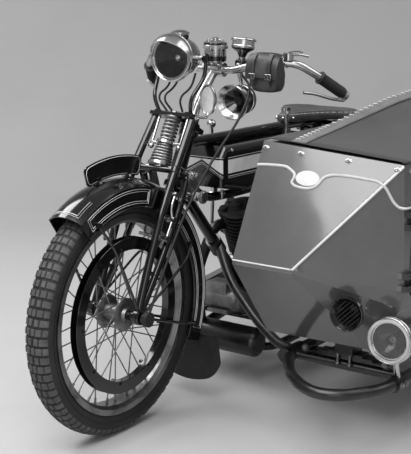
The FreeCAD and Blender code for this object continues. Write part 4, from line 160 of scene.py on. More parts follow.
def blank_material(name: str) -> tuple[bpy.types.Material, bpy.types.NodeTree, bpy.types.NodeSocket]:
    """Starts a material.

    Args:
        name: its name.

    Returns:
        The material, its emptied node tree, and a socket with coordinates in metres.
    """
    material = bpy.data.materials.new(name)
    material.use_nodes = True
    tree = material.node_tree
    tree.nodes.clear()
    return material, tree, add(tree, "ShaderNodeTexCoord").outputs["Object"]


class Body(Enum):
    """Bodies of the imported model."""

    OUTFIT = "outfit"
    STEERING = "steering"
    FRONT_WHEEL = "front_wheel"
    REAR_WHEEL = "rear_wheel"
    SIDE_WHEEL = "side_wheel"
    DOOR = "door"
    STAND = "stand"


class Grain(Enum):
    """How a surface was made, which sets its bump."""

    SPRAYED = "sprayed"
    POLISHED = "polished"
    SAND_CAST = "sand cast"
    HIDE = "hide"
    WOVEN = "woven"
    MOULDED = "moulded"
    DRAWN = "drawn"


@dataclass(frozen=True)
class Finish:
    """One real material with the marks that its making and its age leave.

    The base colour drifts towards the second colour in soft clouds, roughness drifts with it,
    and the grain gives the bump.  Long waves, as of hand-beaten sheet, also tilt the coat.
    """

    # Places of the colour sockets on Blender's mix node.
    MIX_FIRST = 6
    MIX_SECOND = 7
    MIX_COLOUR = 2

    name: str
    colour: str
    second: str
    grain: Grain
    grain_mm: float
    cloud_mm: float = 90.0
    cloud: tuple[float, float] = (0.45, 0.75)
    rough: tuple[float, float] = (0.2, 0.4)
    metallic: float = 0.0
    depth_mm: float = 0.05
    coat: float = 0.0
    coat_rough: float = 0.06
    sheen: float = 0.0
    ior: float = 1.5
    wave_mm: float = 0.0
    wave_long_mm: float = 170.0

    def height(self, tree: bpy.types.NodeTree, where: bpy.types.NodeSocket) -> bpy.types.NodeSocket:
        """Height pattern of the grain.

        Args:
            tree: material's nodes.
            where: coordinates in metres.

        Returns:
            A value socket from 0 to 1.
        """
        scale = per(self.grain_mm)
        if self.grain is Grain.HIDE:
            cells = add(tree, "ShaderNodeTexVoronoi", {"feature": "DISTANCE_TO_EDGE", "Scale": scale},
                        {"Vector": where})
            pores = add(tree, "ShaderNodeMapRange", {"From Max": 0.25}, {"Value": cells.outputs["Distance"]})
            return pores.outputs["Result"]
        if self.grain is Grain.WOVEN:
            warp = add(tree, "ShaderNodeTexWave", {"bands_direction": "X", "Scale": scale / 3.2},
                       {"Vector": where})
            weft = add(tree, "ShaderNodeTexWave", {"bands_direction": "DIAGONAL", "Scale": scale / 4.4},
                       {"Vector": where})
            both = add(tree, "ShaderNodeMath", {"operation": "MULTIPLY"},
                       {0: warp.outputs["Fac"], 1: weft.outputs["Fac"]})
            return both.outputs["Value"]
        if self.grain in (Grain.POLISHED, Grain.DRAWN):
            drag = add(tree, "ShaderNodeMapping", {"Scale": (1.0, 9.0, 9.0)}, {"Vector": where})
            marks = add(tree, "ShaderNodeTexNoise", {"Scale": scale, "Detail": 3.0},
                        {"Vector": drag.outputs["Vector"]})
            return marks.outputs["Fac"]
        detail = 5.0 if self.grain is Grain.SAND_CAST else 2.0
        grit = add(tree, "ShaderNodeTexNoise", {"Scale": scale, "Detail": detail, "Roughness": 0.6},
                   {"Vector": where})
        return grit.outputs["Fac"]

    def build(self) -> bpy.types.Material:
        """Makes the material once and returns it after that."""
        if self.name in bpy.data.materials:
            return bpy.data.materials[self.name]
        material, tree, where = blank_material(self.name)
        cloud = add(tree, "ShaderNodeTexNoise",
                    {"Scale": per(self.cloud_mm), "Detail": 6.0, "Roughness": 0.62}, {"Vector": where})
        drift = add(tree, "ShaderNodeMapRange", {"From Min": self.cloud[0], "From Max": self.cloud[1]},
                    {"Value": cloud.outputs["Fac"]})
        height = self.height(tree, where)
        colour = add(tree, "ShaderNodeMix",
                     {"data_type": "RGBA", self.MIX_FIRST: linear(self.colour),
                      self.MIX_SECOND: linear(self.second)}, {0: drift.outputs["Result"]})
        rough = add(tree, "ShaderNodeMapRange", {"To Min": self.rough[0], "To Max": self.rough[1]},
                    {"Value": cloud.outputs["Fac"]})
        beaten = add(tree, "ShaderNodeTexNoise", {"Scale": per(self.wave_long_mm), "Detail": 1.0},
                     {"Vector": where})
        waves = add(tree, "ShaderNodeBump", {"Strength": 1.0, "Distance": self.wave_mm / 1000.0},
                    {"Height": beaten.outputs["Fac"]})
        bump = add(tree, "ShaderNodeBump", {"Strength": 1.0, "Distance": self.depth_mm / 1000.0},
                   {"Height": height, "Normal": waves.outputs["Normal"]})
        shader = add(tree, "ShaderNodeBsdfPrincipled",
                     {"Metallic": self.metallic, "IOR": self.ior, "Coat Weight": self.coat,
                      "Coat Roughness": self.coat_rough, "Sheen Weight": self.sheen},
                     {"Base Color": colour.outputs[self.MIX_COLOUR], "Roughness": rough.outputs["Result"],
                      "Normal": bump.outputs["Normal"], "Coat Normal": waves.outputs["Normal"]})
        add(tree, "ShaderNodeOutputMaterial", None, {"Surface": shader.outputs["BSDF"]})
        return material


@dataclass(frozen=True)
class LampGlass:
    """Ground plate glass: clear, with a faint ripple that bends what lies behind it."""

    name: str = "lamp_plate_glass"

    def build(self) -> bpy.types.Material:
        """Makes the material once and returns it after that."""
        if self.name in bpy.data.materials:
            return bpy.data.materials[self.name]
        material, tree, where = blank_material(self.name)
        ripple = add(tree, "ShaderNodeTexNoise", {"Scale": per(14.0)}, {"Vector": where})
        bump = add(tree, "ShaderNodeBump", {"Strength": 1.0, "Distance": 0.00015},
                   {"Height": ripple.outputs["Fac"]})
        shader = add(tree, "ShaderNodeBsdfPrincipled",
                     {"Base Color": linear("#f4f4f4"), "Roughness": 0.03, "IOR": 1.52,
                      "Transmission Weight": 1.0},
                     {"Normal": bump.outputs["Normal"]})
        add(tree, "ShaderNodeOutputMaterial", None, {"Surface": shader.outputs["BSDF"]})
        return material


# The photograph is monochrome, so every finish is a neutral grey at the tone that it has there.
# Nickel over brass, buffed: softer than chromium, with faint buffing drags.
NICKEL = Finish("buffed_nickel_plate", "#c7c7c7", "#8c8c8c", Grain.POLISHED, 2.5, 70.0, rough=(0.1, 0.34),
                metallic=1.0, depth_mm=0.012)
# Nickel on spokes and small rods that dulled in the wet.
DULL_NICKEL = Finish("dulled_nickel_plate", "#8c8c8c", "#4c4c4c", Grain.DRAWN, 1.2, 30.0,
                     rough=(0.3, 0.55), metallic=1.0, depth_mm=0.02)
# Rolled rims in nickel, drawn dark grey with darker clouds.
RIM = Finish("dark_grey_rim_nickel", "#898989", "#3e3e3e", Grain.DRAWN, 2.0, 60.0, rough=(0.22, 0.5),
             metallic=1.0, depth_mm=0.03)
# Stoved black enamel: deep gloss with a skin of fine dust that greys it in soft clouds.
BLACK = Finish("stoved_black_enamel", "#070707", "#121212", Grain.SPRAYED, 6.0, 120.0, rough=(0.07, 0.24),
               depth_mm=0.03, coat=0.5)
# The same enamel on chassis and engine plates, chipped and oily, with less gloss.
WORN_BLACK = Finish("worn_black_enamel", "#0b0b0b", "#1f1f1f", Grain.SPRAYED, 4.0, 45.0, rough=(0.2, 0.5),
                    depth_mm=0.08, coat=0.25, coat_rough=0.15)
# Coach enamel of the sidecar's panels: mid grey, brushed on and flatted, so it mirrors softly.
COACH = Finish("coach_enamel_grey", "#4e4e4e", "#434343", Grain.SPRAYED, 14.0, 240.0, rough=(0.12, 0.26),
               depth_mm=0.04, coat=1.0, coat_rough=0.09, wave_mm=2.6)
# Pale lining enamel, hand painted.
CREAM = Finish("cream_lining_enamel", "#e1e1e1", "#cccccc", Grain.SPRAYED, 5.0, 60.0, rough=(0.2, 0.36),
               depth_mm=0.03, coat=0.3)
# Sand-cast aluminium, grey with oil stains in its pores.
ALLOY = Finish("sand_cast_aluminium", "#8b8b8b", "#555555", Grain.SAND_CAST, 1.6, 55.0, rough=(0.38, 0.62),
               metallic=0.9, depth_mm=0.12)
# Polished aluminium covers, turned and buffed.
BRIGHT_ALLOY = Finish("buffed_aluminium", "#b4b4b4", "#8c8c8c", Grain.POLISHED, 1.5, 60.0,
                      rough=(0.2, 0.42), metallic=1.0, depth_mm=0.02)
# Cylinder iron with heat-proof black burnt thin on the fins.
IRON = Finish("heat_dulled_iron", "#2b2b2b", "#444444", Grain.SAND_CAST, 1.8, 38.0, rough=(0.5, 0.75),
              metallic=0.55, depth_mm=0.12)
# Drawn spring steel, greasy between the turns.
SPRING = Finish("drawn_spring_steel", "#999999", "#5b5b5b", Grain.DRAWN, 1.5, 26.0, rough=(0.24, 0.46),
                metallic=1.0, depth_mm=0.03)
# Brass castings, dulled by oil and heat.
BRASS = Finish("dulled_brass", "#898989", "#595959", Grain.SAND_CAST, 1.2, 40.0, rough=(0.3, 0.5),
               metallic=1.0, depth_mm=0.05)
# Vulcanised tyre rubber, dark with road dust in its bloom.
TYRE = Finish("vulcanised_tyre_rubber", "#151515", "#262626", Grain.MOULDED, 2.2, 75.0, rough=(0.6, 0.82),
              depth_mm=0.12)
# Tread blocks, scuffed grey by the road.
TREAD = Finish("scuffed_tread_rubber", "#424242", "#5d5d5d", Grain.MOULDED, 2.2, 40.0, rough=(0.7, 0.9),
               depth_mm=0.12)
# Moulded grip and flap rubber.
RUBBER = Finish("moulded_soft_rubber", "#131313", "#252525", Grain.MOULDED, 1.6, 40.0, rough=(0.5, 0.72),
                depth_mm=0.08)
# Waxed saddle hide, worn shiny, its grain drawn a little large so that it shows.
LEATHER = Finish("waxed_saddle_hide", "#292929", "#515151", Grain.HIDE, 2.6, 85.0, rough=(0.3, 0.52),
                 depth_mm=0.14, coat=0.15, coat_rough=0.3)
# Leathercloth of the sidecar's trim, drawn a little coarser than its 1 mm grain so that it shows.
TRIM = Finish("buttoned_leathercloth", "#232323", "#383838", Grain.HIDE, 2.2, 120.0, rough=(0.4, 0.6),
              depth_mm=0.12)
# Proofed duck with a 0.8 mm thread, drawn at 2.4 mm so that the weave shows in the render.
CANVAS = Finish("proofed_cotton_duck", "#2e2e2e", "#3c3c3c", Grain.WOVEN, 2.4, 160.0, rough=(0.74, 0.92),
                depth_mm=0.25, sheen=0.15)
# Mirror glass drawn as a flat near-white surface, not a mirror: painted reflection of the bright light that
# it shows.
MIRROR_PAINTED_REFLECTION = Finish("mirror_glass_painted_reflection", "#f0f0f0", "#cfcfcf", Grain.POLISHED, 3.0, 18.0, rough=(0.06, 0.2),
               metallic=0.0, depth_mm=0.01)
# Vitreous dial face.
DIAL = Finish("vitreous_dial_white", "#e6e6e6", "#d3d3d3", Grain.SPRAYED, 3.0, 20.0, rough=(0.2, 0.3),
              depth_mm=0.01)
# Waxed linen: the lacing cord and the saddle's thread.
LACE = Finish("waxed_linen_lace", "#cccccc", "#a6a6a6", Grain.WOVEN, 1.6, 30.0, rough=(0.6, 0.8),
              depth_mm=0.1)
# Reflector silver drawn dark grey: painted shade standing for the dark surroundings that it mirrors.
REFLECTOR_PAINTED_SHADE = Finish("reflector_painted_shade", "#4c4c4c", "#2a2a2a", Grain.POLISHED, 3.0, 45.0,
                 rough=(0.08, 0.22), metallic=1.0, depth_mm=0.02)
# Half-round bead along the panels, painted in the lining colour.
BEAD = Finish("lined_half_round_bead", "#cfcfcf", "#b9b9b9", Grain.SPRAYED, 4.0, 80.0, rough=(0.2, 0.34),
              depth_mm=0.015, coat=0.5)
# Doubled hem of the canvas, drawn paler than the field: painted highlight where the cover's rounded ridge
# catches the light from above.
HEM_PAINTED_HIGHLIGHT = Finish("canvas_hem_painted_highlight", "#696969", "#535353", Grain.WOVEN, 2.4, 70.0, rough=(0.76, 0.92),
             depth_mm=0.25, sheen=0.15)
GLASS = LampGlass()


class Form:
    """Gathers the faces of one piece before it becomes a mesh."""

    def __init__(self) -> None:
        """Starts empty, on the first finish."""
        self.points: list[Vector] = []
        self.faces: list[tuple[int, ...]] = []
        self.parts: list[int] = []
        self.part = 0

    def face(self, corners: Sequence[int]) -> None:
        """Adds one face in the finish that is set."""
        self.faces.append(tuple(corners))
        self.parts.append(self.part)

    def grid(self, rows: Sequence[Sequence[Vector]], around: bool = False, along: bool = False,
             caps: bool = False) -> "Form":
        """Skin through rows of points.

        Args:
            rows: rows of equal length.
            around: joins each row's end to its start.
            along: joins the last row to the first.
            caps: closes the first and last rows with a face.

        Returns:
            The form, for chaining.
        """
        base = len(self.points)
        wide = len(rows[0])
        for row in rows:
            self.points += [Vector(point) for point in row]
        steps = wide if around else wide - 1
        count = len(rows) if along else len(rows) - 1
        for i in range(count):
            here = base + i * wide
            there = base + ((i + 1) % len(rows)) * wide
            for j in range(steps):
                k = (j + 1) % wide
                self.face((here + j, here + k, there + k, there + j))
        if caps:
            self.face([base + j for j in reversed(range(wide))])
            self.face([base + (len(rows) - 1) * wide + j for j in range(wide)])
        return self

    def tube(self, path: Sequence[Vector], radius: float, sides: int = 10, closed: bool = False,
             flat: float = 1.0) -> "Form":
        """Round or flattened bar along a path, in metres.

        Args:
            path: points along its middle.
            radius: half of its width.
            sides: faces round it.
            closed: joins its end to its start.
            flat: its height as a share of its width.

        Returns:
            The form, for chaining.
        """
        path = [Vector(point) for point in path]
        count = len(path)
        ways = []
        for i in range(count):
            before = path[(i - 1) % count] if closed or i else path[i]
            after = path[(i + 1) % count] if closed or i < count - 1 else path[i]
            ways.append((after - before).normalized())
        side = ways[0].orthogonal().normalized()
        rows = []
        for i, way in enumerate(ways):
            side = (side - way * side.dot(way)).normalized()
            up = way.cross(side)
            rows.append(loop_of(path[i], side * radius, up * (radius * flat), sides))
        return self.grid(rows, around=True, along=closed, caps=not closed)

    def hoop(self, centre: Vector, first: Vector, second: Vector, radius: float, count: int = 60,
             sides: int = 8) -> "Form":
        """Closed ring of wire round a circle or an ellipse, with its half axes in metres."""
        return self.tube(loop_of(centre, first, second, count), radius, sides, closed=True)

    def lathe(self, profile: Sequence[tuple[float, float]], centre: Vector, axis: Vector, sides: int = 40,
              closed: bool = False) -> "Form":
        """Turned skin.

        Args:
            profile: (along, radius) pairs in millimetres.
            centre: where along is nought.
            axis: direction of the axis.
            sides: faces round it.
            closed: joins the profile's end to its start, as for a ring.

        Returns:
            The form, for chaining.
        """
        axis = Vector(axis).normalized()
        side = axis.orthogonal().normalized()
        up = axis.cross(side)
        rows = [loop_of(centre + axis * (along / 1000.0), side * (radius / 1000.0),
                        up * (radius / 1000.0), sides) for along, radius in profile]
        return self.grid(rows, around=True, along=closed, caps=not closed)

    def sleeve(self, low: float, high: float, bore: float, radius: float, centre: Vector, axis: Vector,
               sides: int = 24) -> "Form":
        """Plain ring from low to high along an axis, sizes in millimetres."""
        return self.lathe([(low, bore), (low, radius), (high, radius), (high, bore)], centre, axis, sides)

    def box(self, centre: Vector, half: tuple[float, float, float], turn: Optional[Matrix] = None) -> "Form":
        """Block, in metres.

        Args:
            centre: its middle.
            half: its half sizes.
            turn: how it is turned, if at all.

        Returns:
            The form, for chaining.
        """
        turn = turn or Matrix.Identity(3)
        corners = [(-1, -1), (1, -1), (1, 1), (-1, 1)]
        rows = [[centre + turn @ Vector((x * half[0], y * half[1], z * half[2])) for x, y in corners]
                for z in (-1, 1)]
        return self.grid(rows, around=True, caps=True)

    def bolt(self, seat: Vector, axis: Vector, across: float = 13.0, tall: float = 7.0) -> "Form":
        """Washer, hexagon head and domed stud end.

        Args:
            seat: where the washer sits.
            axis: the way it points.
            across: size of the hexagon, in millimetres.
            tall: how far the head stands up, in millimetres.

        Returns:
            The form, for chaining.
        """
        axis = Vector(axis).normalized()
        wide, washer = across / 2.0, 1.4
        self.lathe([(0, wide + 2.2), (washer, wide + 2.2)], seat, axis, 18)
        self.lathe([(washer, wide * 1.12), (tall - 0.8, wide * 1.12), (tall, wide * 0.98)], seat, axis, 6)
        stud = [(tall, wide * 0.5), (tall + 1.6, wide * 0.45), (tall + 2.2, wide * 0.2)]
        return self.lathe(stud, seat, axis, 10)


def span_of(a: Vector, b: Vector, c: Vector, d: Vector, steps: int) -> list[Vector]:
    """Points of one smooth span.

    Args:
        a: point before the span.
        b: where it starts.
        c: where it ends.
        d: point after it.
        steps: points in it.

    Returns:
        The points, without the span's end.
    """
    line = []
    for step in range(steps):
        t = step / steps
        line.append(0.5 * (2 * b + (c - a) * t + (2 * a - 5 * b + 4 * c - d) * t * t
                           + (3 * b - a - 3 * c + d) * t ** 3))
    return line


def smooth_path(points: Sequence[Vector], steps: int = 6, closed: bool = False) -> list[Vector]:
    """Points on a smooth line through others.

    Args:
        points: points that the line passes through.
        steps: points to a span.
        closed: joins the line's end to its start.

    Returns:
        The line's points.
    """
    if closed:
        ends = [points[-1], *points, points[0], points[1]]
    else:
        ends = [points[0] * 2 - points[1], *points, points[-1] * 2 - points[-2]]
    line = [spot for i in range(1, len(ends) - 2) for spot in span_of(*ends[i - 1:i + 3], steps)]
    return line if closed else line + [Vector(points[-1])]


def link(thing: bpy.types.Object) -> bpy.types.Object:
    """Puts an object in the scene and returns it."""
    bpy.context.scene.collection.objects.link(thing)
    return thing


def modify(thing: bpy.types.Object, name: str, kind: str, **settings: object) -> bpy.types.Modifier:
    """Adds a modifier.

    Args:
        thing: object that it goes on.
        name: its name.
        kind: Blender's name of its type.
        settings: its properties.

    Returns:
        The modifier.
    """
    change = thing.modifiers.new(name, kind)
    for key, value in settings.items():
        setattr(change, key, value)
    return change


def mesh_of(name: str, form: Form, materials: Sequence[bpy.types.Material]) -> bpy.types.Mesh:
    """Makes a smooth-shaded mesh.

    Args:
        name: its name.
        form: its faces.
        materials: its materials in order.

    Returns:
        The mesh.
    """
    mesh = bpy.data.meshes.new(name)
    mesh.from_pydata([tuple(point) for point in form.points], [], form.faces)
    for item in materials:
        mesh.materials.append(item)
    mesh.polygons.foreach_set("use_smooth", [True] * len(mesh.polygons))
    return mesh


def piece(name: str, form: Form, finish: Finish | LampGlass | Sequence[Finish], body: Body,
          replaces: Sequence[str] = (), bevel: float = 0.0, sharp: float = 38.0) -> bpy.types.Object:
    """Makes a mesh object of a form, dresses it and sets it on its body.

    Args:
        name: piece's name.
        form: its faces.
        finish: its finish, or one for each part number of the form.
        body: what it moves with.
        replaces: nodes that it stands for.
        bevel: width of a bevel on its edges, in millimetres.
        sharp: edges over this angle stay sharp, in degrees.

    Returns:
        The object.
    """
    finishes = finish if isinstance(finish, (list, tuple)) else [finish]
    mesh = mesh_of(name, form, [item.build() for item in finishes])
    mesh.polygons.foreach_set("material_index", form.parts)
    work = bmesh.new()
    work.from_mesh(mesh)
    bmesh.ops.recalc_face_normals(work, faces=work.faces)
    work.to_mesh(mesh)
    work.free()
    mesh.set_sharp_from_angle(angle=math.radians(sharp))
    thing = link(bpy.data.objects.new(name, mesh))
    if bevel:
        modify(thing, "edge", "BEVEL", width=bevel / 1000.0, segments=2, limit_method="ANGLE",
               harden_normals=True)
    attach(thing, body.value)
    if replaces:
        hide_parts(*replaces)
    return thing


def dress(finish: Finish | LampGlass, *names: str) -> None:
    """Gives CAD nodes a finish.

    Args:
        finish: what they are dressed in.
        names: the nodes.
    """
    for name in names:
        thing = NODES[name]
        for place in thing.material_slots:
            place.link = "OBJECT"
            place.material = finish.build()


def tree_of(name: str) -> BVHTree:
    """Makes a search tree of a node's faces.

    Args:
        name: the node.

    Returns:
        The tree, in the frame.
    """
    mesh = NODES[name].data
    world = NODES[name].matrix_world
    points = [world @ corner.co for corner in mesh.vertices]
    return BVHTree.FromPolygons(points, [tuple(face.vertices) for face in mesh.polygons])


@dataclass
class Studio:
    """Camera, seamless backdrop and soft lights.

    The camera stands ahead and to the left of the outfit, as the photographer's did.
    """

    place: Spot = (3825.0, 1920.0, 1221.0)
    yaw: float = -145.8
    pitch: float = -12.0
    roll: float = 0.91
    focal_px: float = 1190.0
    tall_px: float = 454.0
    sensor_mm: float = 36.0
    room_light: float = 0.34
    middle: Spot = (800.0, 300.0, 500.0)
    # Name, place, target, side in metres and watts of each softbox.
    lamps: tuple[tuple[str, Spot, Spot, float, float], ...] = (
        ("key", (3300.0, 250.0, 3000.0), (3300.0, 251.0, 0.0), 2.9, 150.0),
        ("top", (1300.0, -2300.0, 3300.0), (1300.0, -1200.0, 600.0), 1.6, 60.0),
        ("fill", (-300.0, 2600.0, 3800.0), middle, 3.0, 60.0),
        ("front", (4300.0, 2300.0, 1500.0), middle, 1.8, 16.0),
    )

    def camera(self) -> None:
        """Makes the camera from the angles that were read off the photograph."""
        yaw, pitch, roll = (math.radians(value) for value in (self.yaw, self.pitch, self.roll))
        look = Vector((math.cos(pitch) * math.cos(yaw), math.cos(pitch) * math.sin(yaw), math.sin(pitch)))
        right = look.cross(UP).normalized()
        up = right.cross(look)
        right, up = (right * math.cos(roll) + up * math.sin(roll),
                     up * math.cos(roll) - right * math.sin(roll))
        data = bpy.data.cameras.new("camera")
        data.sensor_width = self.sensor_mm
        data.lens = self.focal_px / self.tall_px * data.sensor_width
        camera = link(bpy.data.objects.new("camera", data))
        facing = Matrix((right, up, -look)).transposed().to_4x4()
        camera.matrix_world = Matrix.Translation(at(*self.place)) @ facing
        bpy.context.scene.camera = camera

    def backdrop(self) -> None:
        """Paper sweep: a floor that curves up into a wall behind the outfit, clear from behind."""
        form = Form()
        back = Vector((math.cos(math.radians(self.yaw)), math.sin(math.radians(self.yaw)), 0.0))
        side = back.cross(UP)
        centre = at(900.0, 200.0, 0.0) - UP * 0.0005
        sweep = ((-9.0, 0.0), (-2.0, 0.0), (2.3, 0.0), (2.8, 0.04), (3.2, 0.18), (3.5, 0.5), (3.6, 1.2),
                 (3.6, 7.0))
        form.grid([[centre + back * reach + side * across + UP * height
                    for across in (-12.0, -4.0, 0.0, 4.0, 12.0)] for reach, height in sweep])
        paper = Finish("backdrop_paper", "#b9b9b9", "#b3b3b3", Grain.MOULDED, 3.0, 900.0,
                       rough=(0.8, 0.9), depth_mm=0.02)
        material = paper.build()
        tree = material.node_tree
        out = next(node for node in tree.nodes if node.type == "OUTPUT_MATERIAL")
        front = out.inputs["Surface"].links[0].from_socket
        behind = add(tree, "ShaderNodeNewGeometry").outputs["Backfacing"]
        clear = add(tree, "ShaderNodeBsdfTransparent").outputs["BSDF"]
        both = add(tree, "ShaderNodeMixShader", None, {0: behind, 1: front, 2: clear})
        tree.links.new(both.outputs["Shader"], out.inputs["Surface"])
        link(bpy.data.objects.new("backdrop", mesh_of("backdrop", form, [material])))

    def lamp(self, name: str, place: Vector, target: Vector, size: float, watts: float) -> None:
        """Soft square lamp.

        Args:
            name: lamp's name.
            place: where it hangs.
            target: what it faces.
            size: its side in metres.
            watts: its power.
        """
        data = bpy.data.lights.new(name, "AREA")
        data.shape = "SQUARE"
        data.size = size
        data.energy = watts
        lamp = link(bpy.data.objects.new(name, data))
        lamp.location = place
        lamp.rotation_euler = (target - place).to_track_quat("-Z", "Y").to_euler()

    def light(self) -> None:
        """Softbox straight above the front, softer lamps from right, behind and ahead, and an even room."""
        for name, place, target, size, watts in self.lamps:
            self.lamp(name, at(*place), at(*target), size, watts)
        world = bpy.data.worlds.new("room")
        bpy.context.scene.world = world
        world.use_nodes = True
        tree = world.node_tree
        tree.nodes.clear()
        back = add(tree, "ShaderNodeBackground", {"Color": linear("#ffffff"), "Strength": self.room_light})
        add(tree, "ShaderNodeOutputWorld", None, {"Surface": back.outputs["Background"]})

    def build(self) -> None:
        """Sets up the camera, the backdrop and the lights."""
        self.camera()
        self.backdrop()
        self.light()
        bpy.context.scene.view_settings.view_transform = "Standard"


@dataclass
class Wheel:
    """Laced wheel with its block-tread cover.

    The brake ring or drum and the sprocket go with the hub.
    """

    which: str
    body: Body
    centre: Vector
    tyre_radius: float = 330.0
    tyre_half: float = 38.0
    wall: float = 27.0
    tread_half: float = 26.0
    tread_drop: float = 7.0
    block_deep: float = 4.0
    blocks_round: int = 84
    spoke_count: int = 36
    spoke_lean: float = 62.0
    spoke_radius: float = 0.0018
    nipple_radius: float = 0.0033
    flange_radius: float = 41.0
    flange_offset: float = 30.0
    well_radius: float = 247.7

    def point(self, radius: float, angle: float, across: float) -> Vector:
        """Point round the axle: radius and across in millimetres, angle in radians from ahead."""
        return round_axle(self.centre, radius, angle, across)

    def crown(self, across: float) -> float:
        """Section of the tyre.

        Args:
            across: distance from its middle line, in millimetres.

        Returns:
            Its outer radius there.
        """
        share = min(abs(across) / self.tread_half, 1.0)
        if abs(across) <= self.tread_half:
            return self.tyre_radius - self.tread_drop * share * share
        out = (abs(across) - self.tread_half) / (self.tyre_half - self.tread_half)
        return self.tyre_radius - self.tread_drop - self.wall * (1.0 - math.sqrt(max(0.0, 1.0 - out * out)))

    def cover(self) -> None:
        """Beaded-edge tyre: round carcass with rows of moulded blocks and rings on its walls."""
        form = Form()
        profile = [(-29.0, 253.0), (-29.0, 273.0), (-31.5, 278.0), (-36.0, 287.0), (-37.8, 296.0),
                   (-36.6, 306.0)]
        profile += [(across, self.crown(across) - self.block_deep) for across in
                    (-33.0, -29.0, -24.0, -18.0, -9.0, 0.0)]
        profile += [(-across, radius) for across, radius in reversed(profile[:-1])]
        rows = [[self.point(radius, turn, across) for turn in turns(120)] for across, radius in profile]
        form.grid(rows, around=True)
        form.grid([rows[-1], rows[0]], around=True)
        form.part = 1
        for index in range(self.blocks_round):
            self.blocks(form, 2.0 * math.pi * index / self.blocks_round, index % 2)
        form.part = 0
        for side in (-1, 1):
            ring = self.centre + LEFT * (side * 0.0374)
            form.hoop(ring, AHEAD * 0.29, UP * 0.29, 0.0012, 96, 4)
        piece("cover_" + self.which, form, [TYRE, TREAD], self.body,
              ["tyre_" + self.which], sharp=30.0)

    def blocks(self, form: Form, angle: float, odd: int) -> None:
        """One row of tread blocks across the tyre.

        Args:
            form: tyre's form.
            angle: row's place round the tyre.
            odd: 1 on every other row, which sits half a block over.
        """
        step = 2.0 * math.pi / self.blocks_round
        middle = [(-5.5, 5.5)] if odd else [(-15.0, -3.6), (3.6, 15.0)]
        sides = [(-24.0, -8.6), (8.6, 24.0)] if odd else []
        spans = middle + sides + [(-35.0, -26.5 if odd else -18.5), (26.5 if odd else 18.5, 35.0)]
        for near, far in spans:
            rows = []
            for deep, trim, share in ((self.block_deep + 0.4, 0.0, 0.36), (0.1, 0.8, 0.324)):
                cuts = [near + trim, (near + far) / 2.0, far - trim]
                first, last = ([self.point(self.crown(across) - deep, angle + turn, across)
                                for across in cuts] for turn in (-step * share, step * share))
                rows.append(first + last[::-1])
            form.grid(rows, around=True)
            base = len(form.points) - 6
            form.face((base, base + 1, base + 4, base + 5))
            form.face((base + 1, base + 2, base + 3, base + 4))

    def hub_half(self) -> float:
        """Half of the hub's length; the rear one is longer, for its chain."""
        return 62.0 if self.which == "rear" else 42.0

    def spoke_ends(self) -> list[tuple[Vector, Vector]]:
        """Flange and rim end of each spoke, laced across each other."""
        ends = []
        for index in range(self.spoke_count):
            side = 1 if index % 2 == 0 else -1
            lean = 1 if (index // 2) % 2 == 0 else -1
            angle = 2.0 * math.pi * index / self.spoke_count
            hub = angle + lean * math.radians(self.spoke_lean)
            ends.append((self.point(self.flange_radius, hub, side * self.flange_offset),
                         self.point(self.well_radius, angle, side * 3.0)))
        return ends

    def lacing(self) -> None:
        """Spokes with their nipples, and the hub with its flanges."""
        form = Form()
        for hub, rim in self.spoke_ends():
            form.tube([hub, rim], self.spoke_radius, 8)
            way = (hub - rim).normalized()
            form.tube([rim + way * 0.0002, rim + way * 0.016], self.nipple_radius, 8)
        half, bore, hub, flange, offset = self.hub_half(), 8.6, 21.0, 46.0, self.flange_offset
        profile = [(-half, bore), (-half, hub - 4), (-half + 2, hub - 2.5), (-offset - 4, hub),
                   (-offset - 2.6, flange - 2), (-offset - 1, flange), (-offset + 1, flange),
                   (-offset + 2.6, flange - 2), (-offset + 6, hub + 4)]
        profile += [(0.0, hub)] + [(-along, radius) for along, radius in reversed(profile)]
        form.lathe(profile, self.centre, LEFT, 48, closed=True)
        piece("lacing_" + self.which, form, DULL_NICKEL, self.body, ["spokes_" + self.which])

    def brake_ring(self) -> None:
        """Dummy belt rim: black V-shaped ring clipped to the front spokes."""
        form = Form()
        near, far, inner, outer = 21.0, 43.0, 178.0, 212.0
        middle = (near + far) / 2.0
        profile = [(near, inner + 1), (near + 1, inner), (far - 1, inner), (far, inner + 1), (far, outer - 1),
                   (far - 1, outer), (middle + 5, inner + 8), (middle - 5, inner + 8), (near + 1, outer),
                   (near, outer - 1)]
        form.lathe(profile, self.centre, LEFT, 96, closed=True)
        for turn in turns(9):
            form.tube([self.point(inner + 3, turn, 12.0), self.point(inner + 3, turn, near + 1)], 0.005, 10)
            form.bolt(self.point(inner + 7, turn, far), LEFT, 8.0, 3.0)
        piece("brake_ring", form, BLACK, self.body)

    def drum(self) -> None:
        """Drum on the hub's right, and on the rear wheel the chain sprocket on its left."""
        form = Form()
        half = self.hub_half()
        form.lathe([(-31, 9), (-31, 99), (-32.5, 100), (-53, 100), (-55, 98), (-55, 94), (-35, 94), (-35, 21),
                    (-half, 20), (-half, 9)], self.centre, LEFT, 72, closed=True)
        if self.which == "rear":
            form.lathe([(52, 9), (58, 9), (58, 86), (52, 86)], self.centre, LEFT, 60, closed=True)
            for turn in turns(42):
                form.lathe([(52.6, 4.0), (57.4, 4.0)], self.point(88.0, turn, 0.0), LEFT, 6)
        piece("drum_" + self.which, form, WORN_BLACK, self.body)

    def valve(self) -> None:
        """Valve stem with its cap, and the shorter stem of the security bolt."""
        form = Form()
        for angle, long in ((1.35, 34.0), (4.4, 22.0)):
            foot = self.point(self.well_radius - 0.1, angle, 0.0)
            way = (self.centre - foot).normalized()
            form.lathe([(0, 5), (3, 5), (3, 3), (long - 8, 3), (long - 8, 4.2), (long, 4.0)], foot, way, 14)
        piece("valve_" + self.which, form, NICKEL, self.body)

    def build(self) -> None:
        """Builds the wheel's pieces and dresses its rim."""
        dress(RIM, "rim_" + self.which)
        self.cover()
        self.lacing()
        if self.which == "front":
            self.brake_ring()
        else:
            self.drum()
        self.valve()


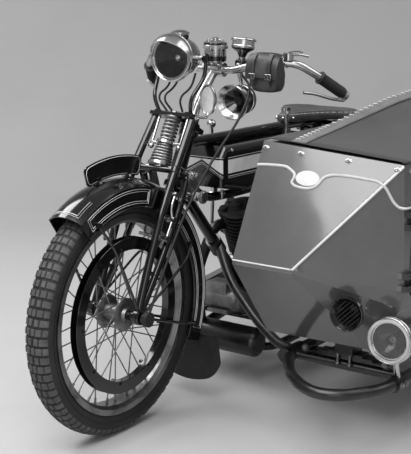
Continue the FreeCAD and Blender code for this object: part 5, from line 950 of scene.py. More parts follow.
@dataclass
class Guard:
    """Domed mudguard with a rolled edge and painted lines."""

    which: str
    body: Body
    centre: Vector
    first: float
    last: float
    crown: float = 366.0
    half: float = 54.0
    drop: float = 8.0
    paint: float = 0.0011
    girder: tuple[float, float] = (103.0, 127.0)

    def foot(self) -> float:
        """Radius of the guard's lower edge."""
        return self.crown - 20.0 - self.drop

    def arc(self, radius: float, across: float, first: float, last: float, count: int = 48) -> list[Vector]:
        """Points along an arc round the wheel, from one angle in degrees to another."""
        return [round_axle(self.centre, radius, math.radians(first + (last - first) * index / count), across)
                for index in range(count + 1)]

    def edge(self) -> None:
        """Wire rolled into the guard's lower edges."""
        form = Form()
        for side in SIDES:
            form.tube(self.arc(self.foot(), side * (self.half - 1.2), self.first, self.last), 0.0032, 8)
        piece("edge_" + self.which, form, BLACK, self.body)

    def lines(self) -> None:
        """Hand-painted lines on the sides, and over the front guard's crown."""
        form = Form()
        out = self.half + 0.35
        for side in SIDES:
            if self.which == "front":
                self.side_loops(form, side * out)
            else:
                form.tube(self.arc(self.crown - 23.0, side * out, self.first + 1, self.last - 1),
                          self.paint, 4, flat=0.4)
        if self.which == "front":
            self.crown_lines(form)
        piece("lines_" + self.which, form, CREAM, self.body)

    def side_loops(self, form: Form, across: float) -> None:
        """Two closed loops within each other, ahead of the girder and behind it.

        Args:
            form: what they are added to.
            across: side's place, to the left of the wheel's middle, in millimetres.
        """
        high, low = self.crown - 27.0, self.foot() + 10.0
        for inset, turn in ((0.0, 0.0), (6.0, 1.0)):
            for first, last in ((self.first + 4, self.girder[0]), (self.girder[1], self.last - 6)):
                loop = self.arc(high - inset, across, first + turn, last - turn)
                loop += self.arc(low + inset, across, last - turn, first + turn)
                form.tube(loop, self.paint, 4, closed=True, flat=0.4)

    def crown_lines(self, form: Form) -> None:
        """Pair of lines up the crown's edges and round its front, laid on the guard's own sheet.

        Args:
            form: what they are added to.
        """
        skin = tree_of("guard_front")
        wide = 40.0
        for inset in (0.0, 5.5):
            loop = []
            for across in [inset - wide, *(8.0 * step for step in range(-4, 5)), wide - inset]:
                run = self.arc(self.crown + 30.0, across, self.first + 2 + inset / 6.5, 66.0)
                run = run if across > 32.0 else run[::-1] if across < -32.0 else run[:1]
                for point in run:
                    way = Vector((self.centre.x - point.x, 0.0, self.centre.z - point.z)).normalized()
                    spot, normal = skin.ray_cast(point, way)[:2]
                    loop.append(spot + normal * 0.0004)
            form.tube(loop, self.paint, 4, flat=0.4)

    def build(self) -> None:
        """Builds the guard's trim and dresses its sheet."""
        dress(BLACK, "guard_" + self.which)
        self.edge()
        self.lines()


@dataclass
class Plate:
    """Curved blank plate on the front guard: its painted line, its bolts and the flap's bolts."""

    inner: float = 372.0
    outer: float = 426.0
    corner: float = 13.0
    half: float = 2.0
    first: float = 72.0
    last: float = 105.0

    def edge(self) -> None:
        """Hand-painted line just inside the plate's edge, on both faces."""
        form = Form()
        inset, spans = 4.0, 20
        near, far = self.inner + inset, self.outer - inset
        trim = math.degrees(inset / self.inner)
        first, last = self.first + trim, self.last - trim
        soft = math.degrees(self.corner / 400.0)
        run = [first + soft + (last - first - 2 * soft) * step / spans for step in range(spans + 1)]
        spots = [(near, angle) for angle in run]
        spots += [(near + 4.0, last - soft * 0.3), (near + self.corner, last)]
        spots += [(far - self.corner, last), (far - 4.0, last - soft * 0.3)]
        spots += [(far, angle) for angle in reversed(run)]
        spots += [(far - 4.0, first + soft * 0.3), (far - self.corner, first)]
        spots += [(near + self.corner, first), (near + 4.0, first + soft * 0.3)]
        for side in SIDES:
            form.tube([round_axle(FRONT_AXLE, radius, math.radians(angle), side * (self.half + 0.25))
                       for radius, angle in spots], 0.0009, 4, closed=True, flat=0.5)
        piece("plate_line", form, CREAM, Body.STEERING)

    def bolts(self) -> None:
        """Bolts through the plate's feet and the flap's clamp strip."""
        form = Form()
        for angle in (79.0, 98.0):
            turn = math.radians(angle)
            way = Vector((math.cos(turn), 0.0, math.sin(turn)))
            for side in SIDES:
                form.bolt(FRONT_AXLE + way * 0.3685 + LEFT * (side * 0.0062), way, 6.0, 4.0)
        x = (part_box("mud_flap")[0][0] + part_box("mud_flap")[1][0]) / 2.0
        for y in (-36.0, 0.0, 36.0):
            form.bolt(Vector((x - 0.0026, FRONT_AXLE.y + y / 1000.0, 0.186)), -AHEAD, 9.0, 5.0)
        piece("guard_bolts", form, NICKEL, Body.STEERING)

    def build(self) -> None:
        """Dresses the plate and flap and builds their trim."""
        dress(BLACK, "front_plate")
        dress(RUBBER, "mud_flap")
        self.edge()
        self.bolts()


@dataclass
class Pad:
    """Stuffed pad: a closed form that a cloth run swells a little, then one subdivision."""

    name: str
    form: Form
    finish: Finish
    body: Body
    slot: str
    replaces: Sequence[str] = ()
    voxel_mm: float = 5.5
    cap_mm: float = 6.0
    fill: float = 0.6
    pressure: float = 4.0
    frames: int = 20

    def baked(self, thing: bpy.types.Object) -> None:
        """Puts the modifiers' result in the mesh and takes them off.

        Args:
            thing: the object.
        """
        graph = bpy.context.evaluated_depsgraph_get()
        mesh = bpy.data.meshes.new_from_object(thing.evaluated_get(graph))
        thing.modifiers.clear()
        thing.data = mesh

    def swell(self, thing: bpy.types.Object) -> None:
        """Blows the form up like a stuffed cover, no further than the cap.

        Args:
            thing: the object.
        """
        rest = [corner.co.copy() for corner in thing.data.vertices]
        cloth = modify(thing, "stuffing", "CLOTH")
        cloth.settings.use_pressure = True
        cloth.settings.uniform_pressure_force = self.pressure
        cloth.settings.effector_weights.gravity = 0.0
        cloth.settings.quality = 4
        cloth.point_cache.frame_start = 1
        cloth.point_cache.frame_end = self.frames
        scene = bpy.context.scene
        for step in range(1, self.frames + 1):
            scene.frame_set(step)
        self.baked(thing)
        scene.frame_set(1)
        cap = self.cap_mm / 1000.0
        for corner, start in zip(thing.data.vertices, rest):
            way = corner.co - start
            if way.length > cap:
                corner.co = start + way.normalized() * cap

    def build(self) -> bpy.types.Object:
        thing = piece(self.name, self.form, self.finish, self.body, self.replaces)
        modify(thing, "even_mesh", "REMESH", mode="VOXEL", voxel_size=self.voxel_mm / 1000.0)
        self.baked(thing)
        self.swell(thing)
        thing.data.polygons.foreach_set("use_smooth", [True] * len(thing.data.polygons))
        modify(thing, "smooth_hide", "SUBSURF", levels=1, render_levels=1)
        return thing


def offset_ring(ring: Sequence[Vector], inset: float) -> list[Vector]:
    """Flat ring moved inwards.

    Args:
        ring: points in order, level with each other.
        inset: how far, in metres.

    Returns:
        The moved points.
    """
    middle = sum(ring, Vector()) / len(ring)
    moved = []
    for index, point in enumerate(ring):
        along = ring[(index + 1) % len(ring)] - ring[index - 1]
        out = along.cross(UP).normalized()
        if out.dot(point - middle) < 0:
            out = -out
        moved.append(point - out * inset)
    return moved


@dataclass
class Fork:
    """Nuts, damper knob, collars and spring cap of the girder fork, in fork millimetres.

    The blades stand half of the fork's width to each side.  The heights are those of the lower
    links, the crown and the top bridge.
    """

    half: float = 70.0
    low: float = 742.0
    crown: float = 698.0
    top: float = 893.0
    spring_u: float = 88.0
    link_u: float = 46.0
    axle: tuple[float, float] = (87.5, 325.9)

    def nuts(self) -> None:
        """Hexagon nuts on the link pins and the wheel spindle, and the knurled damper knob."""
        form = Form()
        for side in SIDES:
            out = LEFT * side
            for along, rise in ((self.link_u, self.low), (0, self.crown)):
                form.bolt(fork(along, side * (self.half + 24), rise), out, 19.0, 9.0)
            form.bolt(fork(self.axle[0], side * (self.half + 28), self.axle[1]), out, 24.0, 11.0)
            for along, rise in ((84.0, self.top), (106.0, self.low - 10.0)):
                form.bolt(fork(along, side * (self.half + 3), rise), out, 13.0, 6.0)
        knob = fork(0, self.half + 34, self.crown)
        form.lathe([(0, 6), (0, 17), (9, 17), (11, 14), (11, 4)], knob, LEFT, 30)
        for rim in loop_of(knob, AHEAD * 0.0172, UP * 0.0172, 20):
            form.tube([rim + LEFT * 0.001, rim + LEFT * 0.0085], 0.0016, 6)
        piece("fork_nuts", form, NICKEL, Body.STEERING, bevel=0.4)

    def collars(self) -> None:
        """Brazed collars on the blades and the cap on the steering head."""
        form = Form()
        for side in SIDES:
            for u, w, radius in ((106.5, 735.0, 13.5), (109.0, 640.0, 12.6), (46.0, 735.0, 12.6),
                                 (41.0, 668.0, 11.8)):
                form.lathe([(-9, radius - 2), (-7, radius), (7, radius), (9, radius - 2)],
                           fork(u, side * self.half, w), FORK_UP, 24)
        form.lathe([(0, 12), (0, 24), (5, 26), (9, 24), (9, 12)], fork(0, 0, self.top + 5), FORK_UP, 30)
        piece("fork_collars", form, BLACK, Body.STEERING)

    def spring_seats(self) -> None:
        """Turned cap that holds the spring's upper end, and its bolt."""
        form = Form()
        form.lathe([(-7, 8), (-7, 20), (-3, 24), (0, 24), (0, 8)], fork(self.spring_u, 0, self.top - 5),
                   FORK_UP, 30)
        form.bolt(fork(self.spring_u, 0, self.top + 6), FORK_UP, 17.0, 8.0)
        piece("spring_seats", form, DULL_NICKEL, Body.STEERING)

    def build(self) -> None:
        """Builds the fork's small parts."""
        dress(BLACK, "fork_girder", "fork_brackets")
        dress(NICKEL, "fork_links", "front_brake")
        dress(SPRING, "fork_spring")
        dress(RUBBER, "cables")
        self.nuts()
        self.collars()
        self.spring_seats()


@dataclass
class Headlamp:
    """Reflector, burner, rim and vent of an acetylene-pattern lamp."""

    which: str
    back: Vector
    radius: float
    length: float
    body: Body

    def on(self, along: float) -> Vector:
        """Point on the lamp's own line, in millimetres from its back."""
        return self.back + AHEAD * (along / 1000.0)

    def rim(self) -> None:
        """Rolled bezel and its hinge and catch."""
        form = Form()
        for back, trim, wire in ((1.0, 2.2, 0.0026), (13.0, 1.0, 0.0022)):
            reach = (self.radius - trim) / 1000.0
            form.hoop(self.on(self.length - back), LEFT * reach, UP * reach, wire, 72)
        for side in SIDES:
            seat = self.on(self.length - 7.0) + LEFT * (side * self.radius / 1000.0)
            form.sleeve(-9, 9, 2.6, 4.2, seat, UP, 16)
        piece(self.which + "_bezel", form, NICKEL, self.body)

    def inside(self) -> None:
        """Reflector drawn dark grey as painted shade, with its burner."""
        form = Form()
        r, long = self.radius, self.length
        if self.which == "headlamp":
            bowl, sides = [(long - 6, r - 11.4), (71, r - 18.6), (45, r - 34.6), (27.4, 20), (23.4, 7.4)], 72
        else:
            bowl, sides = [(61.4, 45.4), (50.6, 37.4), (27.0, 19.6), (21.0, 4.0)], 60
        form.lathe(bowl, self.back, AHEAD, sides)
        # The bowl is open, so the two caps come off again.
        form.faces = form.faces[:-2]
        form.parts = form.parts[:-2]
        piece(self.which + "_reflector", form, REFLECTOR_PAINTED_SHADE, self.body)
        form = Form()
        seat = self.on(long * 0.42)
        burner = [(0, 3), (0, 6.5), (9, 6.5), (11, 9), (16, 9), (18, 4), (25, 3.2), (26, 1)]
        form.lathe(burner, seat, AHEAD, 24)
        form.tube([seat + UP * -0.001, seat + UP * -0.018 + AHEAD * 0.012], 0.0022, 8)
        piece(self.which + "_burner", form, BRASS, self.body)

    def vent(self) -> None:
        """Louvre slots round the chimney's foot, drawn as black blocks that paint the shade inside the
        openings, and the nuts that hold the drum in its arms.
        """
        form = Form()
        foot = self.on(58.0) + UP * ((self.radius - 13.0) / 1000.0)
        # Black blocks stand in for the slots: painted shade where the openings are.
        for turn in turns(16):
            way = Vector((math.cos(turn), math.sin(turn), 0.0))
            form.box(foot + way * 0.0222 + UP * 0.004, (0.0016, 0.0026, 0.005), Matrix.Rotation(turn, 3, "Z"))
        piece(self.which + "_louvre_painted_shade", form, BLACK, self.body)
        form = Form()
        for side in SIDES:
            form.bolt(self.on(48.0) + LEFT * (side * (self.radius + 8.0) / 1000.0), LEFT * side, 16.0, 8.0)
        piece(self.which + "_wing_nuts", form, NICKEL, self.body)

    def build(self) -> None:
        """Builds the lamp."""
        dress(NICKEL, self.which)
        dress(GLASS, self.which + "_glass")
        self.rim()
        self.inside()
        if self.which == "headlamp":
            self.vent()


@dataclass
class Cockpit:
    """What the rider holds and reads: dial, switch drum, bar, levers, horn, mirror and pouch.

    All places are in millimetres from the clip's middle, and those of pairs are the left ones.
    The dial's scale starts at dial_start degrees and runs round in even steps.
    """

    dial_at: Spot = (-36, 70, 50)
    dial_start: float = -225.0
    switch_at: Spot = (-6, -4, 18.3)
    horn_at: Spot = (41, 92, -83)
    mirror_at: Spot = (108.4, 50, -75)
    pouch_at: Spot = (34, 199, 2)
    control_at: Spot = (-19, 232, 33)
    grip: Line = ((-72, 290, 0), (-152, 335, -55))
    lever_band: Line = ((0, 185, 33), (-38, 252, 29))
    strap_y: tuple[float, float] = (-26.0, 26.0)

    def ends(self, line: Line, side: float) -> tuple[Vector, Vector, Vector]:
        """Start, end and direction of a line by the clip, on one side."""
        start, end = (clip_at(x, side * y, z) for x, y, z in line)
        return start, end, (end - start).normalized()

    def dial(self) -> None:
        """Vitreous dial with ticks, numerals and a needle under its rim."""
        axis = Vector((-0.14, 0.0, 0.99)).normalized()
        across = axis.cross(LEFT).normalized()
        centre = clip_at(*self.dial_at)
        turn_to = Matrix((across, LEFT, axis)).transposed()
        face = Form().sleeve(39.1, 39.7, 0.5, 28.4, centre, axis, 48)
        piece("dial_face", face, DIAL, Body.STEERING)
        marks = Form()
        for index in range(31):
            turn = math.radians(self.dial_start + 9.0 * index)
            way = turn_to @ Vector((math.cos(turn), math.sin(turn), 0.0))
            long = 0.0026 if index % 5 == 0 else 0.0014
            place = centre + axis * 0.0399 + way * (0.0262 - long)
            marks.box(place, (long, 0.0004, 0.0002), turn_to @ Matrix.Rotation(turn, 3, "Z"))
        pivot = centre + axis * 0.0407
        marks.tube([pivot, pivot + turn_to @ Vector((-0.013, -0.014, 0.0))], 0.0006, 6)
        marks.sleeve(39.8, 41.4, 1.0, 3.0, centre, axis, 18)
        piece("dial_marks", marks, BLACK, Body.STEERING)
        for index in range(7):
            turn = math.radians(self.dial_start + 45.0 * index)
            data = bpy.data.curves.new("dial_number_%d" % index, "FONT")
            data.body = str(index * 10)
            data.size = 0.0064
            data.extrude = 0.0001
            data.align_x = data.align_y = "CENTER"
            data.materials.append(BLACK.build())
            number = link(bpy.data.objects.new("dial_number_%d" % index, data))
            place = centre + axis * 0.0399 + turn_to @ Vector((math.cos(turn), math.sin(turn), 0.0)) * 0.0175
            upright = (turn_to @ Matrix.Rotation(-math.pi / 2, 3, "Z")).to_4x4()
            number.matrix_world = Matrix.Translation(place) @ upright
            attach(number, Body.STEERING.value)
        band = Form().lathe([(14, 33.3), (15, 34.0), (20, 34.0), (21, 33.3)], centre, axis, 60)
        band.lathe([(34.6, 36.2), (36, 37.2), (38.5, 37.2), (39.8, 36.2)], centre, axis, 60)
        piece("dial_rings", band, NICKEL, Body.STEERING)
        bowl = [(-11.6, 9.6), (-0.4, 12.7), (8, 26.8), (12.4, 32.4), (13.4, 32.8), (12.0, 20.0)]
        nut = [(-39.6, 14.6), (-36, 19.6), (-22.3, 18.6), (-22, 10), (-36, 10)]
        under = Form().lathe(bowl, centre, axis, 48, closed=True).lathe(nut, centre, axis, 40, closed=True)
        piece("dial_underside", under, BLACK, Body.STEERING)

    def switch(self) -> None:
        """Knurled rim, dark band and terminals of the switch drum."""
        foot = clip_at(*self.switch_at)
        band = Form().sleeve(53.6, 59.6, 33.2, 34.0, foot, UP, 60)
        band.sleeve(8.2, 22.0, 32.7, 33.2, foot, UP, 60)
        piece("switch_band", band, BLACK, Body.STEERING)
        knurl = Form()
        for rim in loop_of(foot, AHEAD * 0.0352, LEFT * 0.0352, 44):
            knurl.tube([rim + UP * 0.0428, rim + UP * 0.0515], 0.0013, 6)
        for post in loop_of(foot, AHEAD * 0.02, LEFT * 0.02, 5):
            knurl.bolt(post + UP * 0.0652, UP, 6.0, 4.0)
        knurl.lathe([(65.6, 3), (65.6, 9), (73, 9), (75, 6), (75, 2)], foot, UP, 24)
        piece("switch_knurl", knurl, NICKEL, Body.STEERING)

    def bar(self) -> None:
        """Clip bolts, lever bands and the ribs of the grips."""
        form = Form()
        for side in SIDES:
            for fore in (1, -1):
                form.bolt(clip_at(fore * 14, side * 24, 12), Vector((fore * 0.6, 0, 0.8)), 12.0, 7.0)
            start, end, way = self.ends(self.lever_band, side)
            for share in (0.42, 0.62):
                form.sleeve(-4, 4, 11, 13, start + (end - start) * share, way)
            _, end, way = self.ends(self.grip, side)
            form.lathe([(4.4, 4), (4.4, 13.4), (9, 13.4), (10, 11), (10, 4)], end, way, 24)
        piece("bar_fittings", form, NICKEL, Body.STEERING)
        ribs = Form()
        for side in SIDES:
            _, end, way = self.ends(self.grip, side)
            for index in range(14):
                ribs.lathe([(-1.5, 13), (-1.5, 16.1), (0, 16.8), (1.5, 16.1), (1.5, 13)],
                           end - way * (0.006 + 0.0056 * index), way, 24)
        piece("grip_ribs", ribs, RUBBER, Body.STEERING)

    def control(self) -> None:
        """Air and spark levers with their quadrants, above the bar's bends."""
        form = Form()
        for side in SIDES:
            x, y, z = self.control_at
            seat = clip_at(x, side * y, z)
            form.sleeve(22.2, 25, 3, 15.6, seat, UP, 30)
            for index in range(9):
                turn = math.radians(20.0 * index + 100.0)
                tooth = Vector((math.cos(turn) * 0.0135, math.sin(turn) * 0.0135, 0.0256))
                form.box(seat + tooth, (0.0014, 0.0005, 0.0008), Matrix.Rotation(turn, 3, "Z"))
            form.tube(smooth_path([seat + UP * 0.027, seat + Vector((-0.014, side * 0.012, 0.03)),
                                   seat + Vector((-0.034, side * 0.02, 0.029))], 5), 0.0026, 8, flat=0.6)
            form.sleeve(-3, 3, 2, 5, seat + Vector((-0.035, side * 0.021, 0.029)),
                        Vector((-0.8, side * 0.5, 0.2)), 14)
        piece("control_levers", form, NICKEL, Body.STEERING)

    def horn(self) -> None:
        """Dark throat, black barrel and back of the horn, with its strap's bolt."""
        mouth = clip_at(*self.horn_at)
        way = Vector((0.99, 0.0, -0.1)).normalized()
        throat = [(-29.4, 1), (-29.4, 5), (-23.4, 14.6), (-12, 28.6), (-6, 34.0), (-12.6, 26.6),
                  (-24.2, 13.2)]
        barrel = [(-32, 38.2), (-32, 39.4), (-57, 41.2), (-64, 37.4), (-66, 25), (-84, 23), (-89, 17),
                  (-90, 2), (-88.6, 2), (-85, 20), (-62, 34)]
        form = Form().lathe(throat, mouth, way, 48).lathe(barrel, mouth, way, 48)
        piece("horn_barrel", form, BLACK, Body.STEERING)
        trim = Form()
        side = way.orthogonal().normalized()
        up = way.cross(side)
        for along, radius in ((6.0, 0.0496), (-13.0, 0.0354), (-44.0, 0.0409)):
            trim.hoop(mouth + way * (along / 1000.0), side * radius, up * radius, 0.0018, sides=6)
        trim.bolt(clip_at(8, 84, 18), UP, 10.0, 5.0)
        piece("horn_trim", trim, NICKEL, Body.STEERING)

    def mirror(self) -> None:
        """Oval glass painted near-white as its reflection, inside a thick beaded rim."""
        centre = clip_at(*self.mirror_at)
        glass, rim = Form(), Form()
        ring = loop_of(centre, LEFT * 0.022, UP * 0.039, 60)
        inner = [centre + (point - centre) * 0.55 + AHEAD * 0.0008 for point in ring]
        tip = [centre + (point - centre) * 0.02 + AHEAD * 0.0012 for point in ring]
        glass.grid([[point - AHEAD * 0.0012 for point in ring], ring, inner, tip], around=True, caps=True)
        rim.hoop(centre - AHEAD * 0.001, LEFT * 0.0235, UP * 0.0405, 0.0034)
        piece("mirror_glass", glass, MIRROR_PAINTED_REFLECTION, Body.STEERING)
        piece("mirror_rim", rim, NICKEL, Body.STEERING)

    def pouch(self) -> None:
        """Leather bag over the bar: stuffed body, flap with a bound edge, straps and buckles."""
        middle = clip_at(*self.pouch_at)
        form = Form()
        rows = []
        for height, wide, deep in ((-50, 20, 14), (-46, 40, 24), (-30, 47, 29), (0, 49, 29), (28, 46, 24),
                                   (48, 42, 15), (53, 36, 8)):
            rows.append([middle + Vector((math.copysign(abs(math.cos(turn)) ** 0.5, math.cos(turn)) * deep,
                                          math.copysign(abs(math.sin(turn)) ** 0.6, math.sin(turn)) * wide,
                                          height)) / 1000.0 for turn in turns(28)])
        form.grid(rows, around=True, caps=True)
        Pad("pouch_bag", form, LEATHER, Body.STEERING, "saddle_leather", ["pouch"], 5.0, 4.0, 0.7).build()
        flap = Form()
        rows = []
        for back, high in ((-12, 55), (4, 59), (20, 54), (30, 40), (35, 22), (36.5, 4), (36, -10)):
            rows.append([middle + Vector((back + (1.5 if abs(across) < 30 else 0.0), across, high
                                          - (6.0 * (abs(across) / 50.0) ** 3))) / 1000.0
                         for across in (-51, -44, -30, -15, 0, 15, 30, 44, 51)])
        flap.grid(rows)
        thing = piece("pouch_flap", flap, LEATHER, Body.STEERING)
        modify(thing, "hide", "SOLIDIFY", thickness=0.0024, offset=1.0)
        modify(thing, "soft", "SUBSURF", levels=2, render_levels=2)
        strap = Form()
        for across in self.strap_y:
            line = smooth_path([middle + Vector((x, across, z)) / 1000.0 for x, z in
                                ((22, 57), (35, 40), (40, 18), (41, -12), (37, -34))], 5)
            rows = [[point + LEFT * side for side in (-0.006, 0.006)] for point in line]
            strap.grid(rows)
            strap.grid([[point + AHEAD * 0.0022 for point in row] for row in rows])
        strap.part = 1
        for across in self.strap_y:
            loop = [middle + Vector((43.4, across + y, z)) / 1000.0 for y, z in
                    ((-9, -12), (9, -12), (9, 2), (-9, 2))]
            strap.tube(loop, 0.0012, 6, closed=True)
            strap.tube([middle + Vector((43.4, across, -12)) / 1000.0,
                        middle + Vector((43.9, across, 3)) / 1000.0], 0.0009, 6)
        piece("pouch_straps", strap, [LEATHER, NICKEL], Body.STEERING)

    def build(self) -> None:
        """Builds everything on and round the bar."""
        dress(NICKEL, "handlebar", "levers", "speedometer", "switch_drum", "mirror", "horn")
        dress(RUBBER, "grips")
        self.dial()
        self.switch()
        self.bar()
        self.control()
        self.horn()
        self.mirror()
        self.pouch()


@dataclass
class Tank:
    """Painted flash, lines, knee patches and caps of the flat tank."""

    half: float = 74.0
    round_mm: float = 22.0
    front: float = 1020.0
    foot: float = 619.3
    high: float = 708.7
    lift: float = 0.35
    tail: float = 420.0
    top: float = 738.7
    caps_y: float = -44.0
    flash_top: float = 701.0
    flash_deep: float = 38.0

    def skin(self, run: float, z: float, side: float) -> Vector:
        """Point on the tank's nose and side.

        Args:
            run: distance along the skin from the nose's middle, in millimetres.
            z: height.
            side: 1 on the left, -1 on the right.

        Returns:
            The point, just off the enamel.
        """
        flat = self.half - self.round_mm
        arc = self.round_mm * math.pi / 2.0
        nose = self.front + 4.0 * (z - self.foot) / (self.high - self.foot) + self.lift
        if run <= flat:
            return at(nose, side * run, z)
        if run <= flat + arc:
            turn = (run - flat) / self.round_mm
            reach = self.round_mm + self.lift
            return at(nose - reach + reach * math.cos(turn), side * (flat + reach * math.sin(turn)), z)
        return at(nose - self.round_mm - (run - flat - arc), side * (self.half + self.lift), z)

    def flash(self) -> None:
        """Blank pale panel that comes to a point on the nose, with two lines below and one above."""
        form = Form()
        corner = self.half - self.round_mm + self.round_mm * math.pi / 4.0
        runs = [0.5 + corner * index / 12.0 for index in range(13)]
        runs += [corner + (self.tail - corner) * index / 16.0 for index in range(1, 17)]
        lows = [self.flash_top - 2.0 - self.flash_deep * min(run / corner, 1.0) for run in runs]
        line = self.flash_top + 5.0
        for side in SIDES:
            form.grid([[self.skin(run, low + (self.flash_top - low) * share, side)
                        for share in (0.0, 0.33, 0.66, 1.0)] for run, low in zip(runs, lows)])
            for drop, wide in ((7.0, 1.6), (12.5, 0.9)):
                form.grid([[self.skin(run, low - drop - wide, side), self.skin(run, low - drop, side)]
                           for run, low in zip(runs, lows)])
            form.grid([[self.skin(run, line, side), self.skin(run, line + 1.4, side)] for run in runs])
        piece("tank_flash", form, CREAM, Body.OUTFIT)

    def fittings(self) -> None:
        """Knurled edges of the caps, the pump's knob, the strap bolts and the taps' unions."""
        form = Form()
        for x, radius in ((930.0, 0.024), (700.0, 0.02)):
            for rim in loop_of(at(x, self.caps_y, self.top + 10), AHEAD * radius, LEFT * radius, 36):
                form.tube([rim, rim + UP * 0.006], 0.0011, 5)
        knob = [(70, 2), (70, 11), (74, 12), (80, 12), (82, 9), (82, 2)]
        form.lathe(knob, at(620, 42, self.top), UP, 24)
        for x in (980.0, 800.0, 640.0):
            for side in SIDES:
                form.bolt(at(x, side * (self.half + 0.2), 727), LEFT * side, 9.0, 4.0)
        for x in (960.0, 720.0):
            seat = at(x, 30, 603.5 if x > 900 else 591.5)
            form.lathe([(0, 6), (6, 6), (6, 9), (14, 9), (14, 4), (26, 4)], seat, -UP, 16)
        piece("tank_trim", form, NICKEL, Body.OUTFIT)

    def build(self) -> None:
        """Paints and trims the tank."""
        dress(BLACK, "tank")
        dress(NICKEL, "tank_fittings")
        self.flash()
        self.fittings()


@dataclass
class Saddle:
    """Stretched hide on its frame: rolled nose, side skirts and riveted cantle."""

    top: float = 792.0
    nose: float = 578.0
    long: float = 315.0
    half: float = 142.0
    seat_back: float = 190.0

    def ring(self) -> list[Vector]:
        """Plan of the hide's edge, at the top's height."""
        nose, tail, half = self.nose - 3, self.nose - self.long + 3, self.half - 4
        side = [(nose, 20), (nose - 30, 31), (nose - 70, 39), (nose - 150, 72), (nose - 222, half),
                (tail + 26, half - 12), (tail, half - 62), (tail - 1, 30)]
        plan = side + [(x, -y) for x, y in reversed(side)]
        return smooth_path([at(x, y, self.top) for x, y in plan], 5, closed=True)

    def hide(self) -> None:
        """The seat itself, with a wall that hangs below the frame's edge."""
        ring = self.ring()
        form = Form()
        layers = [(9.0, -18.0), (8.0, -27.0), (0.5, -29.0), (-0.6, -20.0), (0.0, -8.0), (5.0, -2.6),
                  (14.0, -1.2)]
        rows = [[point + UP * (drop / 1000.0) for point in offset_ring(ring, inset / 1000.0)]
                for inset, drop in layers]
        middle = at(self.nose - self.seat_back, 0, self.top)
        for share, drop in ((0.6, -3.2), (0.3, -5.4), (0.03, -6.4)):
            rows.append([middle + (point - middle) * share + UP * (drop / 1000.0)
                         for point in rows[len(layers) - 1]])
        under = [middle + (point - middle) * 0.03 for point in rows[0]]
        form.grid([[point + UP * -0.018 for point in under]] + rows, around=True, caps=True)
        Pad("saddle_hide", form, LEATHER, Body.OUTFIT, "saddle_leather", ["saddle"], 5.0, 3.0, 0.8).build()

    def rivets(self) -> None:
        """Nickel rivets along the cantle and the nose, and the seam's raised thread."""
        ring = self.ring()
        form, thread = Form(), Form()
        middle = at(self.nose - self.seat_back, 0, self.top)
        cantle, nose = at(self.nose - 240, 0, 0).x, at(self.nose - 34, 0, 0).x
        for point in offset_ring(ring, -0.0022)[::3]:
            if not cantle <= point.x <= nose:
                form.lathe([(-1, 4.6), (1.2, 4.4), (2.6, 2.6), (3.0, 0.6)], point + UP * -0.014,
                           (point - middle).normalized(), 12)
        piece("saddle_rivets", form, NICKEL, Body.OUTFIT)
        line = [point + UP * -0.0035 for point in offset_ring(ring, 0.003)]
        for a, b in zip(line, line[1:] + line[:1]):
            thread.tube([a.lerp(b, 0.12), a.lerp(b, 0.78)], 0.0008, 5)
        piece("saddle_stitches", thread, LACE, Body.OUTFIT)

    def build(self) -> None:
        """Builds the saddle."""
        dress(BLACK, "saddle_frame")
        self.hide()
        self.rivets()


